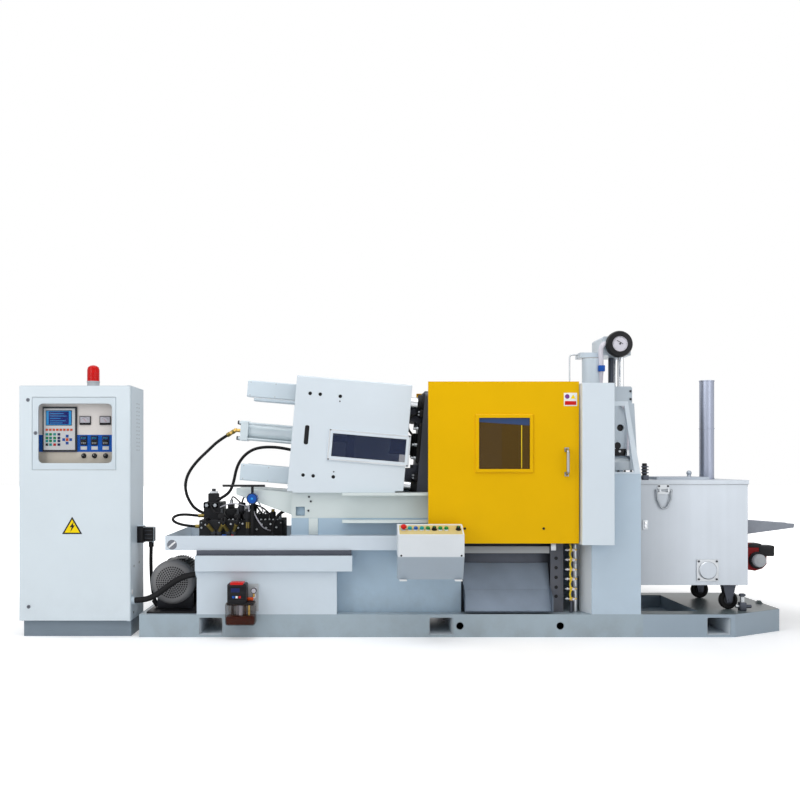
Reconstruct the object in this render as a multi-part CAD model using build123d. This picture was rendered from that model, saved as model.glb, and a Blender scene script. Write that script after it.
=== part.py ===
from build123d import *
import math
import os

# Hot-chamber die casting machine. Millimetres, +Z up, origin at the centre of the base's underside.
# +X runs from the control cabinet to the furnace, -Y is the operator's side. The base's left end keeps
# its place, and a longer base carries a longer deck and furnace at its right end.

# Running and seating clearances
SEAT = 0.3
BORE_CLEARANCE = 0.4
PIN_CLEARANCE = 0.06
MOVING_GAP = 6.0
OVERCUT = 1.0
FAR = 9000.0

# Base
BASE_LEFT_X = -2150.0
BASE_LENGTH = 4300.0
BASE_WIDTH = 1100.0
BASE_HEIGHT = 150.0
CORNER_CUT_SHARE = 0.395
CORNER_CUT_Y = 250.0
DECK_START_X = 1150.0
TROUGH_EDGE = 10.0
TROUGH_RIB = 12.0
TROUGH_SIDE = 140.0
TROUGH_DEPTH = 92.0
DECK_LUG_INSET = 30.0
DECK_LUG_HEIGHT = 20.0
FORK_TUNNEL_WIDTH = 155.0
FORK_TUNNEL_HEIGHT = 112.0
FORK_TUNNEL_FLOOR = 16.0
FORK_TUNNEL_FILLET = 14.0
FORK_TUNNEL_X = [-1680.0, -172.0]
DECK_TUNNEL_SHARE = 0.498
LIFTING_BORE_RADIUS = 24.0
LIFTING_BORE_Z = 74.0
LIFTING_BORE_X = [-49.0, 608.0]
LIFTING_BORE_DEPTH = 140.0

# Oil tank, its rim and the drip tray above it
TANK_LEFT_X = -1773.0
TANK_RIGHT_X = -855.0
TANK_TOP_Z = 434.0
RIM_TOP_Z = 536.0
RIM_PROJECTION = 30.0
RIM_END_X = -754.0
TRAY_LEFT_X = -1980.0
TRAY_RIGHT_X = -440.0
TRAY_GAP = 34.0
TRAY_HEIGHT = 94.0
TRAY_WALL = 6.0
SPACER_WIDTH = 60.0
SPACER_INSET = 40.0

# Bed under the clamping unit
BED_LEFT_X = -1160.0
BED_RIGHT_X = 765.0
BED_TOP_Z = 945.0
BEAM_HEIGHT = 170.0
BEAM_THICKNESS = 110.0
BED_INSET = 110.0
PEDESTAL_RIGHT_X = -29.0
BEAM_POCKET = 60.0
BEAM_POCKET_DEPTH = 30.0
RAIL_HEIGHT = 18.0
RAIL_DROP = 9.1
RAIL_LOWER_Z = 756.0
TAIL_BRACKET_LENGTH = 370.0
TAIL_BRACKET_RISE = 28.0
TAIL_BRACKET_SHEET = 16.0

# Clamping unit, tilted down towards the furnace
TILT = 5.0
CLAMP_X = -324.0
CLAMP_Z = 1264.0
TIE_BAR_RADIUS = 40.0
TIE_BAR_HALF_HEIGHT = 285.0
TIE_BAR_HALF_WIDTH = 250.0
TAIL_PLATEN_U = -790.0
TAIL_PLATEN_THICKNESS = 130.0
MOVING_PLATEN_U = 34.0
MOVING_PLATEN_THICKNESS = 160.0
FIXED_PLATEN_U = 900.0
FIXED_PLATEN_THICKNESS = 170.0
PLATEN_HALF_WIDTH = 322.0
PLATEN_HALF_HEIGHT = 372.0
PLATEN_FOOT_INSET = 12.0
PLATEN_FOOT_HEIGHT = 170.0
PLATEN_CORNER = 40.0
NOZZLE_BORE_RADIUS = 80.0
TAIL_BORE_RADIUS = 60.0
DIE_HOLE_RADIUS = 9.0
DIE_HOLE_DEPTH = 50.0
DIE_HOLE_SPACING_Y = 240.0
DIE_HOLE_SPACING_W = 300.0
LUG_W = 205.0
LUG_V = [-150.0, 0.0, 150.0]
LUG_HALF_THICKNESS = 26.0
LUG_RADIUS = 46.0
LUG_REACH = 90.0
LUG_ROOT = 30.0
TAIL_LUG_REACH = 96.0
ARM_START_U = -440.0
ARM_HALF_WIDTH = 46.0
ARM_HALF_HEIGHT = 34.0
ARM_EYE_RADIUS = 38.0
ARM_V = [-75.0, 75.0]
TOGGLE_PIN_RADIUS = 20.0
TOGGLE_PIN_HALF_LENGTH = 186.0
CROSS_PIN_HALF_LENGTH = 126.0
CROSSHEAD_HALF = 30.0
EJECTOR_LENGTH = 190.0
EJECTOR_RADIUS = 62.0
TIE_NUT_RADIUS = 50.0
TIE_NUT_LENGTH = 42.0
COVER_SIZE = 112.0
COVER_LENGTH = 380.0
CLOSING_CYLINDER_RADIUS = 48.0
CLOSING_CAP_SIZE = 142.0
CLOSING_CAP_THICKNESS = 54.0
CLOSING_CYLINDER_LENGTH = 430.0
CLOSING_ROD_RADIUS = 22.0
CLOSING_ROD_LENGTH = 360.0
CLOSING_TIE_INSET = 16.0
CLOSING_TIE_RADIUS = 9.0
HOSE_ELBOW_LENGTH = 70.0

# Toggle guard over the clamping unit
GUARD_LEFT_U = -831.0
GUARD_RIGHT_U = -66.0
GUARD_TOP_W = 389.0
GUARD_OVERHANG = 50.0
GUARD_SHEET = 6.0
GUARD_LIFT = 10.0
GUARD_FOOT_RIGHT_X = -470.0
GUARD_WINDOW_U = -575.0
GUARD_WINDOW_LENGTH = 515.0
GUARD_WINDOW_W = -50.0
GUARD_WINDOW_HEIGHT = 180.0
GUARD_FRAME = 14.0
GUARD_FRAME_DEPTH = 8.0
GUARD_SLOT_U = -735.0
GUARD_SLOT_LENGTH = 130.0
GUARD_SLOT_WIDTH = 30.0
GUARD_HOLES = [(-735, 275), (-668, 275), (-535, 273), (-735, -267), (-668, -267), (-535, -262)]
GUARD_HOLE_RADIUS = 12.0

# Safety door and its surround
DOOR_LEFT_X = -260.0
DOOR_RIGHT_X = 722.0
DOOR_BOTTOM_Z = 618.0
DOOR_TOP_Z = 1672.0
DOOR_THICKNESS = 22.0
DOOR_STANDOFF = 47.0
DOOR_SHEET = 4.0
HANGER_INSET = 130.0
ROLLER_RADIUS = 26.0
ROLLER_WIDTH = 18.0
DOOR_TRAVEL = 520.0
WINDOW_X = 69.0
WINDOW_Z = 1102.0
WINDOW_WIDTH = 331.0
WINDOW_HEIGHT = 333.0
WINDOW_FRAME = 24.0
WINDOW_FRAME_DEPTH = 12.0
GLASS_THICKNESS = 6.0
HANDLE_X = 640.0
HANDLE_BOTTOM_Z = 1057.0
HANDLE_TOP_Z = 1240.0
HANDLE_REACH = 44.0
HANDLE_RADIUS = 10.0
POST_LEFT_X = 730.0
POST_RIGHT_X = 940.0
POST_BOTTOM_Z = 611.0
POST_TOP_Z = 1659.0
POST_DEPTH = 100.0
HEADER_THICKNESS = 40.0
UPRIGHT_DEPTH = 60.0
STAY_WIDTH = 26.0
STAY_THICKNESS = 20.0
STAY_DROP = 113.0

# Columns and injection unit
COLUMN_LEFT_X = 816.0
COLUMN_RIGHT_X = 1137.0
COLUMN_TOP_Z = 1070.0
COLUMN_DEPTH = 150.0
COLUMN_SPLAY = 50.0
BRIDGE_INSET = 8.0
BRIDGE_THICKNESS = 35.0
SHOT_X = 1110.0
FOOT_THICKNESS = 24.0
FOOT_LENGTH = 250.0
FOOT_HALF_WIDTH = 150.0
HOUSING_RADIUS = 160.0
HOUSING_TOP_Z = 1190.0
PLUNGER_RADIUS = 30.0
PLUNGER_STROKE = 110.0
COUPLING_RADIUS = 52.0
COUPLING_HEIGHT = 64.0
SHOT_ROD_RADIUS = 24.0
INJECTION_BLOCK_BOTTOM_Z = 1555.0
INJECTION_BLOCK_TOP_Z = 1673.0
CHEEK_THICKNESS = 36.0
CHEEK_HALF_GAP = 112.0
CHEEK_HOLE_Z = 1386.0
CHEEK_HOLE_RADIUS = 24.0
INJECTION_CYLINDER_RADIUS = 66.0
INJECTION_COLLAR_RADIUS = 84.0
INJECTION_COLLAR_HEIGHT = 26.0
ACCUMULATOR_X = 890.0
ACCUMULATOR_Y = -216.0
ACCUMULATOR_RADIUS = 62.0
ACCUMULATOR_TOP_Z = 1866.0
GAUGE_X = 1070.0
GAUGE_Z = 1953.0
GAUGE_RADIUS = 91.0
GAUGE_DIAL_RADIUS = 52.0
GAUGE_BACK_Y = -235.0
GAUGE_DEPTH = 62.0
VALVE_BLOCK_LEFT_X = 962.0
VALVE_BLOCK_BACK_Y = 60.0
VALVE_BLOCK_BOTTOM_Z = 1880.0
VALVE_BLOCK_TOP_Z = 2010.0
SHELF_TOP_Z = 1900.0
GUIDE_ROD_RADIUS = 21.0
GUIDE_ROD_Y = [-120.0, 30.0]

# Furnace
FURNACE_LEFT_X = 880.0
FURNACE_END_GAP = 247.0
FURNACE_FRONT_GAP = 10.0
FURNACE_BACK_GAP = 50.0
FURNACE_BOTTOM_Z = 322.0
FURNACE_TOP_Z = 1000.0
LID_THICKNESS = 27.0
COVER_THICKNESS = 18.0
COVER_FRONT_GAP = 160.0
COVER_BACK_GAP = 170.0
COVER_SHARE = 0.45267
KNOB_SHARE = 0.796
CHIMNEY_RADIUS = 50.0
CHIMNEY_WALL = 3.0
CHIMNEY_INSET = 148.0
CHIMNEY_TOP_Z = 1724.0
WHEEL_RADIUS = 62.0
WHEEL_WIDTH = 36.0
WHEEL_GAP = 7.0
AXLE_RADIUS = 8.0
CASTER_SHARES = [0.097752, 0.899316]
CASTER_INSET = 90.0
PORT_SHARE = 0.731183
PORT_Z = 422.0
PORT_SIZE = 146.0
PORT_RADIUS = 60.0
BAIL_SHARE = 0.442815
BAIL_PIN_Z = 958.0
BAIL_STANDOFF = 18.0
BAIL_HALF_WIDTH = 50.0
BAIL_DROP = 120.0
BAIL_WIRE = 6.0
CHUTE_FEED_LENGTH = 474.0
CHUTE_FEED_OFFSET = 70.0

# Control cabinet
CABINET_GAP = 58.0
CABINET_WIDTH = 727.0
CABINET_DEPTH = 420.0
CABINET_BOTTOM_Z = 105.0
CABINET_TOP_Z = 1650.0
CABINET_WALL = 12.0
CABINET_DOOR_THICKNESS = 20.0
PANEL_WINDOW_LEFT_EDGE = 82.0
PANEL_WINDOW_RIGHT_EDGE = 93.0
PANEL_WINDOW_BOTTOM_Z = 1095.0
PANEL_WINDOW_HEIGHT = 479.0
PANEL_WINDOW_THICKNESS = 12.0
PANEL_GAP = 2.0
PANEL_PIN_RADIUS = 3.0
PANEL_PIN_LENGTH = 14.0
PANEL_RECESS = 60.0
PANEL_SHEET = 4.0
DISPLAY_SHARES = (0.0906, 0.5036)
DISPLAY_Z = (1216.0, 1514.0)
METER_SHARES = [0.5996, 0.8397]
METER_SIZE = (74.0, 59.0)
METER_Z = 1422.0
CONTROLLER_SHARES = [0.5806, 0.7092, 0.8433]
CONTROLLER_SIZE = (44.0, 62.0)
CONTROLLER_Z = 1291.0
KNOB_Z = 1189.0
KNOB_RADIUS = 13.0
DOOR_LUG = 4.0
HINGE_PIN_RADIUS = 4.0
HINGE_PIN_LENGTH = 30.0
CONNECTOR_SETBACK = 250.0
CONNECTOR_Z = (600.0, 716.0)
BEACON_SHARE = 0.604
BEACON_SETBACK = 180.0
BEACON_RADIUS = 44.0
BEACON_BASE_HEIGHT = 41.0
DOME_RADIUS = 42.0
DOME_HEIGHT = 108.0

# Casting chute, die space frame and water manifold
CHUTE_LEFT_X = -10.0
CHUTE_RIGHT_X = 560.0
CHUTE_SHEET = 4.0
CHUTE_TOP = (190.0, 470.0)
CHUTE_BEND = (130.0, 300.0)
CHUTE_LIP = (50.0, 165.0)
CHUTE_END = 5.0
FACING_HOLES_Z = [508.0, 445.0, 380.0, 315.0, 255.0]
FACING_RIGHT_X = 650.0
SIDE_PLATE_X = 600.0
MANIFOLD_PIPE_X = 692.0
MANIFOLD_PIPE_SETBACK = 60.0
MANIFOLD_VALVES_Z = [568.0, 503.0, 438.0, 375.0, 310.0, 244.0]
DRAIN_PIPE_X = 724.0
DRAIN_PIPE_SETBACK = 120.0

# Control box
BOX_LEFT_X = -467.0
BOX_RIGHT_X = -52.0
BOX_TOP_Z = 748.0
BOX_BOTTOM_Z = 403.0
BOX_DEPTH = 190.0
BOX_FLAT_DEPTH = 60.0
BOX_FACE_DROP = 58.0
BUTTON_X = [-430.0, -391.0, -353.0, -315.0, -276.0, -232.0, -198.0, -160.0, -84.0]

# Pump motor, hydraulics and lubricator
MOTOR_X = -1954.0
MOTOR_Z = 347.0
MOTOR_RADIUS = 148.0
MOTOR_SETBACK = 100.0
MOTOR_LENGTH = 560.0
COWL_LENGTH = 90.0
FIN_COUNT = 24
HYDRAULICS_LEFT_X = -1797.0
HYDRAULICS_RIGHT_X = -1224.0
HYDRAULICS_SETBACK = 260.0
HYDRAULICS_BACK_Y = 120.0
HYDRAULICS_TOP_Z = 750.0
OUTLET_SETBACK = 70.0
OUTLET_TOP_Z = 650.0
VALVE_TOP_Z = 868.0
ACTUATOR_X = -1418.0
ACTUATOR_Z = 905.0
ACTUATOR_RADIUS = 36.0
ACTUATOR_SETBACK = 100.0
LEVER_Z = 990.0
LUBE_LEFT_X = -1573.0
LUBE_BOTTOM_Z = 95.0
LUBE_WIDTH = 194.0
LUBE_RESERVOIR_HEIGHT = 147.0
LUBE_HEAD_HEIGHT = 135.0
LUBE_DEPTH = 140.0

# Values worked out from the ones above
BASE_FRONT_Y = -BASE_WIDTH / 2
BASE_BACK_Y = BASE_WIDTH / 2
BASE_RIGHT_X = BASE_LEFT_X + BASE_LENGTH
DECK_LENGTH = BASE_RIGHT_X - DECK_START_X
DECK_TUNNEL_X = DECK_START_X + DECK_TUNNEL_SHARE * DECK_LENGTH
DECK_LUG_X = BASE_RIGHT_X - DECK_LUG_INSET
BED_HALF_WIDTH = BASE_WIDTH / 2 - BED_INSET
PLATEN_FOOT_HALF_WIDTH = BED_HALF_WIDTH - PLATEN_FOOT_INSET
GUARD_HALF_WIDTH = BED_HALF_WIDTH + GUARD_OVERHANG
GUARD_BOTTOM_Z = BED_TOP_Z + GUARD_LIFT
TRAY_FLOOR_Z = RIM_TOP_Z + TRAY_GAP
TRAY_TOP_Z = TRAY_FLOOR_Z + TRAY_HEIGHT
BEAM_BOTTOM_Z = BED_TOP_Z - BEAM_HEIGHT
BEAM_INNER_Y = BED_HALF_WIDTH - BEAM_THICKNESS
CABINET_RIGHT_X = BASE_LEFT_X - CABINET_GAP
CABINET_LEFT_X = CABINET_RIGHT_X - CABINET_WIDTH
CABINET_FRONT_Y = BASE_FRONT_Y
CABINET_BACK_Y = CABINET_FRONT_Y + CABINET_DEPTH
DOOR_FRONT_Y = BASE_FRONT_Y - DOOR_STANDOFF
DOOR_BACK_Y = DOOR_FRONT_Y + DOOR_THICKNESS
POST_FRONT_Y = BASE_FRONT_Y - POST_DEPTH
BOX_BACK_Y = POST_FRONT_Y
RAIL_UPPER_Z = BED_TOP_Z - RAIL_DROP
RAIL_LEFT_X = DOOR_LEFT_X - DOOR_TRAVEL - 40
RAIL_FRONT_Y = DOOR_BACK_Y + 40
UPRIGHT_LEFT_X = COLUMN_LEFT_X - 16
STAY_TOP_Z = POST_TOP_Z - STAY_DROP
MOVING_PIN_U = MOVING_PLATEN_U - LUG_REACH + LUG_RADIUS
INJECTION_CYLINDER_BOTTOM_Z = HOUSING_TOP_Z + COUPLING_HEIGHT + PLUNGER_STROKE + MOVING_GAP
FURNACE_RIGHT_X = BASE_RIGHT_X - FURNACE_END_GAP
FURNACE_LENGTH = FURNACE_RIGHT_X - FURNACE_LEFT_X
FURNACE_FRONT_Y = BASE_FRONT_Y + COLUMN_DEPTH + FURNACE_FRONT_GAP
FURNACE_BACK_Y = BASE_BACK_Y - COLUMN_DEPTH - FURNACE_BACK_GAP
FURNACE_MIDDLE_Y = (FURNACE_FRONT_Y + FURNACE_BACK_Y) / 2
CHIMNEY_X = FURNACE_RIGHT_X - CHIMNEY_INSET
COVER_RIGHT_X = CHIMNEY_X - CHIMNEY_RADIUS - 1
COVER_LENGTH_X = COVER_SHARE * (COVER_RIGHT_X - FURNACE_LEFT_X)
PORT_X = FURNACE_LEFT_X + PORT_SHARE * FURNACE_LENGTH
BAIL_X = FURNACE_LEFT_X + BAIL_SHARE * FURNACE_LENGTH
BAIL_PIN_Y = FURNACE_FRONT_Y - BAIL_STANDOFF
CASTER_X = [FURNACE_LEFT_X + share * FURNACE_LENGTH for share in CASTER_SHARES]
CASTER_Y = [FURNACE_FRONT_Y + CASTER_INSET, FURNACE_BACK_Y - CASTER_INSET]
WHEEL_Z = BASE_HEIGHT + SEAT + WHEEL_RADIUS
MOTOR_FRONT_Y = BASE_FRONT_Y + MOTOR_SETBACK
HYDRAULICS_FRONT_Y = BASE_FRONT_Y + HYDRAULICS_SETBACK
OUTLET_FRONT_Y = BASE_FRONT_Y + OUTLET_SETBACK
ACTUATOR_Y = BASE_FRONT_Y + ACTUATOR_SETBACK
CONNECTOR_Y = CABINET_FRONT_Y + CONNECTOR_SETBACK
PANEL_WINDOW_LEFT_X = CABINET_LEFT_X + PANEL_WINDOW_LEFT_EDGE
PANEL_WINDOW_WIDTH = CABINET_WIDTH - PANEL_WINDOW_LEFT_EDGE - PANEL_WINDOW_RIGHT_EDGE
PANEL_WINDOW_TOP_Z = PANEL_WINDOW_BOTTOM_Z + PANEL_WINDOW_HEIGHT
PANEL_HINGE_X = PANEL_WINDOW_LEFT_X + PANEL_WINDOW_WIDTH - PANEL_GAP - PANEL_WINDOW_THICKNESS / 2
PANEL_HINGE_Y = CABINET_FRONT_Y + 3 + PANEL_WINDOW_THICKNESS / 2
HINGE_RADIUS = CABINET_DOOR_THICKNESS / 2
HINGE_X = CABINET_RIGHT_X - HINGE_RADIUS
HINGE_Y = CABINET_FRONT_Y + HINGE_RADIUS
CLAMP = Location((CLAMP_X, 0, CLAMP_Z), (0, TILT, 0))


def block(x0, x1, y0, y1, z0, z1):
    """Solid block between two opposite corners."""
    middle = Pos((x0 + x1) / 2, (y0 + y1) / 2, (z0 + z1) / 2)
    return middle * Box(x1 - x0, y1 - y0, z1 - z0)


def rod_x(x0, x1, y, z, radius):
    """Round bar along X."""
    return Pos((x0 + x1) / 2, y, z) * Rot(0, 90, 0) * Cylinder(radius, x1 - x0)


def rod_y(x, y0, y1, z, radius):
    """Round bar along Y."""
    return Pos(x, (y0 + y1) / 2, z) * Rot(90, 0, 0) * Cylinder(radius, y1 - y0)


def rod_z(x, y, z0, z1, radius):
    """Round bar along Z."""
    return Pos(x, y, (z0 + z1) / 2) * Cylinder(radius, z1 - z0)


def plate_y(points, y0, y1):
    """Flat profile in X and Z, carried from y0 to y1."""
    outline = Polyline(*[(x, y0, z) for x, z in points], close=True)
    return extrude(make_face(outline), amount=y1 - y0, dir=(0, 1, 0))


def mirror_y(shape):
    """The same piece on the machine's rear side."""
    return mirror(shape, about=Plane.XZ)


def rounded_plate_y(x0, x1, z0, z1, y0, y1, radius):
    """Upright plate with round corners."""
    plate = block(x0, x1, y0, y1, z0, z1)
    return fillet(plate.edges().filter_by(Axis.Y), radius)


NODES = {}


def node(name, *shapes):
    """Keep the solids of one sub-part under its name."""
    solids = []
    for shape in shapes:
        solids.extend(shape.solids())
    NODES[name] = solids[0] if len(solids) == 1 else Compound(children=solids)


def rod_between(start, end, radius):
    """Round bar from one point to another."""
    axis = Vector(*end) - Vector(*start)
    return extrude(Plane(origin=start, z_dir=axis) * Circle(radius), amount=axis.length)


def hose_radii(points):
    """Largest even arc at each inner point of a hose's route."""
    route = [Vector(*point) for point in points]
    radii = []
    for before, here, after in zip(route, route[1:], route[2:]):
        turn = math.radians((here - before).get_angle(after - here))
        shorter = min((here - before).length, (after - here).length)
        radii.append(0.45 * shorter / math.tan(turn / 2))
    return radii


def hose(name, points, radius):
    """Hose of straight runs joined by tangent arcs."""
    radii = hose_radii(points)
    print(name, "bend radii", [round(value) for value in radii])
    path = FilletPolyline(*points, radius=radii)
    tube = sweep(Plane(path @ 0, z_dir=path % 0) * Circle(radius), path=path)
    print(name, "length", round(path.length))
    node(name, tube)


def hose_end(points, length, radius):
    """Fitting that takes the first end of a hose's route, in line with it."""
    start = Vector(*points[0])
    back = (start - Vector(*points[1])).normalized()
    return rod_between(start, start + back * length, radius)


# Routes of the hoses and cables

HOSE_RADIUS = 10.5
CLOSING_HOSE = [
    (-1640, 0, 1337), (-1704, -3, 1298), (-1775, -8, 1229), (-1850, -15, 1157), (-1908, -22, 1080),
    (-1934, -28, 1003), (-1928, -34, 930), (-1900, -40, 868), (-1860, -44, 815), (-1806, -46, 790),
]
TAIL_HOSE = [
    (-1150, -100, 1226), (-1215, -100, 1241), (-1290, -100, 1252), (-1370, -100, 1253), (-1440, -100, 1240),
    (-1500, -100, 1203), (-1545, -100, 1147), (-1568, -100, 1085), (-1580, -100, 1020), (-1600, -100, 955),
    (-1635, -100, 915), (-1676, -100, 893),
]
BED_HOSE_Y = 95 - BED_HALF_WIDTH
BED_HOSE = [
    (x, BED_HOSE_Y, z)
    for x, z in [(-1176, 829), (-1215, 818), (-1250, 793), (-1276, 755), (-1290, 712), (-1293, 672)]
]
CABLE_RADIUS = 12.0
CABINET_CABLE = [
    (x, CONNECTOR_Y - lean, z)
    for x, lean, z in [(-2120, 0, 586), (-2123, 0, 500), (-2121, 2, 415), (-2117, 4, 335),
                       (-2106, 6, 262), (-2092, 8, 196)]
]
CONDUIT_RADIUS = 19.0
CONDUIT_Y = BASE_FRONT_Y + 55
MOTOR_CONDUIT = [
    (x, CONDUIT_Y - bow, z)
    for x, bow, z in [(-2190, 0, 235), (-2120, 2, 238), (-2050, 5, 268), (-1985, 7, 318),
                      (-1915, 5, 368), (-1850, 2, 398), (-1786, 0, 408)]
]


# Base


def fork_tunnel(x):
    """Cutter for one forklift tunnel through the base, round at its upper corners."""
    top = FORK_TUNNEL_FLOOR + FORK_TUNNEL_HEIGHT
    half = FORK_TUNNEL_WIDTH / 2
    cutter = block(x - half, x + half, BASE_FRONT_Y - 1, BASE_BACK_Y + 1, FORK_TUNNEL_FLOOR, top)
    upper = cutter.edges().filter_by(Axis.Y).group_by(Axis.Z)[-1]
    return fillet(upper, FORK_TUNNEL_FILLET)


def base_frame():
    """Welded base under the tank, bed and columns."""
    frame = block(BASE_LEFT_X, DECK_START_X, BASE_FRONT_Y, BASE_BACK_Y, 0, BASE_HEIGHT)
    for x in FORK_TUNNEL_X:
        frame -= fork_tunnel(x)
    for x in LIFTING_BORE_X:
        front_end = BASE_FRONT_Y + LIFTING_BORE_DEPTH
        back_end = BASE_BACK_Y - LIFTING_BORE_DEPTH
        frame -= rod_y(x, BASE_FRONT_Y - 1, front_end, LIFTING_BORE_Z, LIFTING_BORE_RADIUS)
        frame -= rod_y(x, back_end, BASE_BACK_Y + 1, LIFTING_BORE_Z, LIFTING_BORE_RADIUS)
    return frame


def furnace_deck():
    """Right end of the base, with the trough under the furnace and one cut corner."""
    outline = [
        (DECK_START_X, BASE_FRONT_Y),
        (BASE_RIGHT_X - CORNER_CUT_SHARE * DECK_LENGTH, BASE_FRONT_Y),
        (BASE_RIGHT_X, BASE_FRONT_Y + CORNER_CUT_Y),
        (BASE_RIGHT_X, BASE_BACK_Y),
        (DECK_START_X, BASE_BACK_Y),
    ]
    deck = extrude(make_face(Polyline(*outline, close=True)), amount=BASE_HEIGHT)
    trough_end = DECK_TUNNEL_X - FORK_TUNNEL_WIDTH / 2 - TROUGH_RIB
    trough_y = (BASE_WIDTH - 2 * TROUGH_SIDE) / 2
    deck -= block(DECK_START_X + TROUGH_EDGE, trough_end, -trough_y, trough_y,
                  BASE_HEIGHT - TROUGH_DEPTH, BASE_HEIGHT + OVERCUT)
    deck -= fork_tunnel(DECK_TUNNEL_X)
    lug_top = BASE_HEIGHT + DECK_LUG_HEIGHT
    lug = plate_y([(DECK_LUG_X - 24, BASE_HEIGHT), (DECK_LUG_X + 24, BASE_HEIGHT),
                   (DECK_LUG_X + 10, lug_top), (DECK_LUG_X - 10, lug_top)], -40, -20)
    return deck + lug


node("base_frame", base_frame())
node("furnace_deck", furnace_deck())


# Oil tank, rim and drip tray


def tank_rim():
    """Rim frame round the tank's top, with the two bars that carry the tray."""
    rim = block(TANK_LEFT_X - 8, RIM_END_X, BASE_FRONT_Y - RIM_PROJECTION, -BED_HALF_WIDTH - SEAT,
                TANK_TOP_Z, RIM_TOP_Z)
    rear = mirror_y(rim)
    middle = block(TANK_LEFT_X - 8, TANK_RIGHT_X - 1, -BED_HALF_WIDTH - SEAT, BED_HALF_WIDTH + SEAT,
                   TANK_TOP_Z, RIM_TOP_Z)
    frame = rim + rear + middle
    for side in (-1, 1):
        y = side * (BASE_WIDTH / 2 - SPACER_WIDTH)
        frame += block(TANK_LEFT_X + SPACER_INSET, TANK_RIGHT_X, y - SPACER_WIDTH / 2, y + SPACER_WIDTH / 2,
                       RIM_TOP_Z, TRAY_FLOOR_Z)
    return frame


def tray_outline(inset):
    """Plan of the tray, a U that passes either side of the bed, drawn in by the wall."""
    left = TRAY_LEFT_X + inset
    right = TRAY_RIGHT_X - inset
    outer = BASE_WIDTH / 2 - inset
    inner = BED_HALF_WIDTH + SEAT + inset
    notch = BED_LEFT_X - SEAT - inset
    points = [(left, -outer), (right, -outer), (right, -inner), (notch, -inner),
              (notch, inner), (right, inner), (right, outer), (left, outer)]
    return make_face(Polyline(*points, close=True))


def drip_tray():
    """Folded sheet tray with an open top."""
    pan = Pos(0, 0, TRAY_FLOOR_Z) * extrude(tray_outline(0), amount=TRAY_HEIGHT)
    inside = Pos(0, 0, TRAY_FLOOR_Z + TRAY_WALL) * extrude(tray_outline(TRAY_WALL), amount=TRAY_HEIGHT)
    return pan - inside


def oil_tank():
    """Closed tank with its rim."""
    tank = block(TANK_LEFT_X, TANK_RIGHT_X, BASE_FRONT_Y, BASE_BACK_Y, BASE_HEIGHT, TANK_TOP_Z)
    return tank + tank_rim() + hose_end(MOTOR_CONDUIT[::-1], 16, CONDUIT_RADIUS + 6)


node("oil_tank", oil_tank())
node("drip_tray", drip_tray())


# Bed


def bed_pedestal():
    """Deep box under the bed, stepped over the tank."""
    profile = [
        (PEDESTAL_RIGHT_X, BASE_HEIGHT),
        (PEDESTAL_RIGHT_X, BEAM_BOTTOM_Z),
        (BED_LEFT_X, BEAM_BOTTOM_Z),
        (BED_LEFT_X, RIM_TOP_Z),
        (TANK_RIGHT_X, RIM_TOP_Z),
        (TANK_RIGHT_X, BASE_HEIGHT),
    ]
    return plate_y(profile, -BED_HALF_WIDTH, BED_HALF_WIDTH)


def bed_beam():
    """Front beam of the bed, with a square pocket near its left end."""
    beam = block(BED_LEFT_X, BED_RIGHT_X, -BED_HALF_WIDTH, -BEAM_INNER_Y, BEAM_BOTTOM_Z, BED_TOP_Z)
    pocket_x = BED_LEFT_X + BEAM_POCKET / 2
    pocket_z = BEAM_BOTTOM_Z + BEAM_POCKET / 4
    pocket = block(pocket_x, pocket_x + BEAM_POCKET, -BED_HALF_WIDTH - 1,
                   -BED_HALF_WIDTH + BEAM_POCKET_DEPTH,
                   pocket_z, pocket_z + BEAM_POCKET)
    return beam - pocket


def door_rail(z):
    """Flat guide rail standing off the front beam."""
    return block(RAIL_LEFT_X, BED_RIGHT_X - 100, RAIL_FRONT_Y, -BED_HALF_WIDTH,
                 z - RAIL_HEIGHT / 2, z + RAIL_HEIGHT / 2)


def tail_bracket():
    """Gusset that carries the end of the clamping unit beyond the bed."""
    end_x = BED_LEFT_X - TAIL_BRACKET_LENGTH
    end_z = BED_TOP_Z + TAIL_BRACKET_RISE
    outer = BED_HALF_WIDTH - 30
    gusset = plate_y([(BED_LEFT_X, BEAM_BOTTOM_Z + 20), (BED_LEFT_X, BED_TOP_Z), (end_x, end_z),
                      (end_x, end_z - 42)], -outer, -outer + 40)
    shelf = plate_y([(BED_LEFT_X, BED_TOP_Z - TAIL_BRACKET_SHEET), (BED_LEFT_X, BED_TOP_Z),
                     (end_x, end_z), (end_x, end_z - TAIL_BRACKET_SHEET)], -outer, outer)
    return gusset + mirror_y(gusset) + shelf


def bed_beams():
    """Both beams with the door's rails and the tail bracket welded on."""
    beams = bed_beam() + mirror_y(bed_beam()) + tail_bracket() + hose_end(BED_HOSE, 24, HOSE_RADIUS + 4)
    return beams + door_rail(RAIL_UPPER_Z) + door_rail(RAIL_LOWER_Z)


node("bed_pedestal", bed_pedestal())
node("bed_beams", bed_beams())


# Clamping unit, drawn along its own axis: u towards the furnace, v across, w up


def clamp_block(u0, u1, v0, v1, w0, w1):
    """Block in the tilted frame."""
    return CLAMP * block(u0, u1, v0, v1, w0, w1)


def clamp_rod(u0, u1, v, w, radius):
    """Round bar along the clamping axis."""
    return CLAMP * rod_x(u0, u1, v, w, radius)


def tie_bar_places():
    """The four corners where the tie bars run."""
    return [(v, w) for v in (-TIE_BAR_HALF_WIDTH, TIE_BAR_HALF_WIDTH)
            for w in (-TIE_BAR_HALF_HEIGHT, TIE_BAR_HALF_HEIGHT)]


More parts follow.
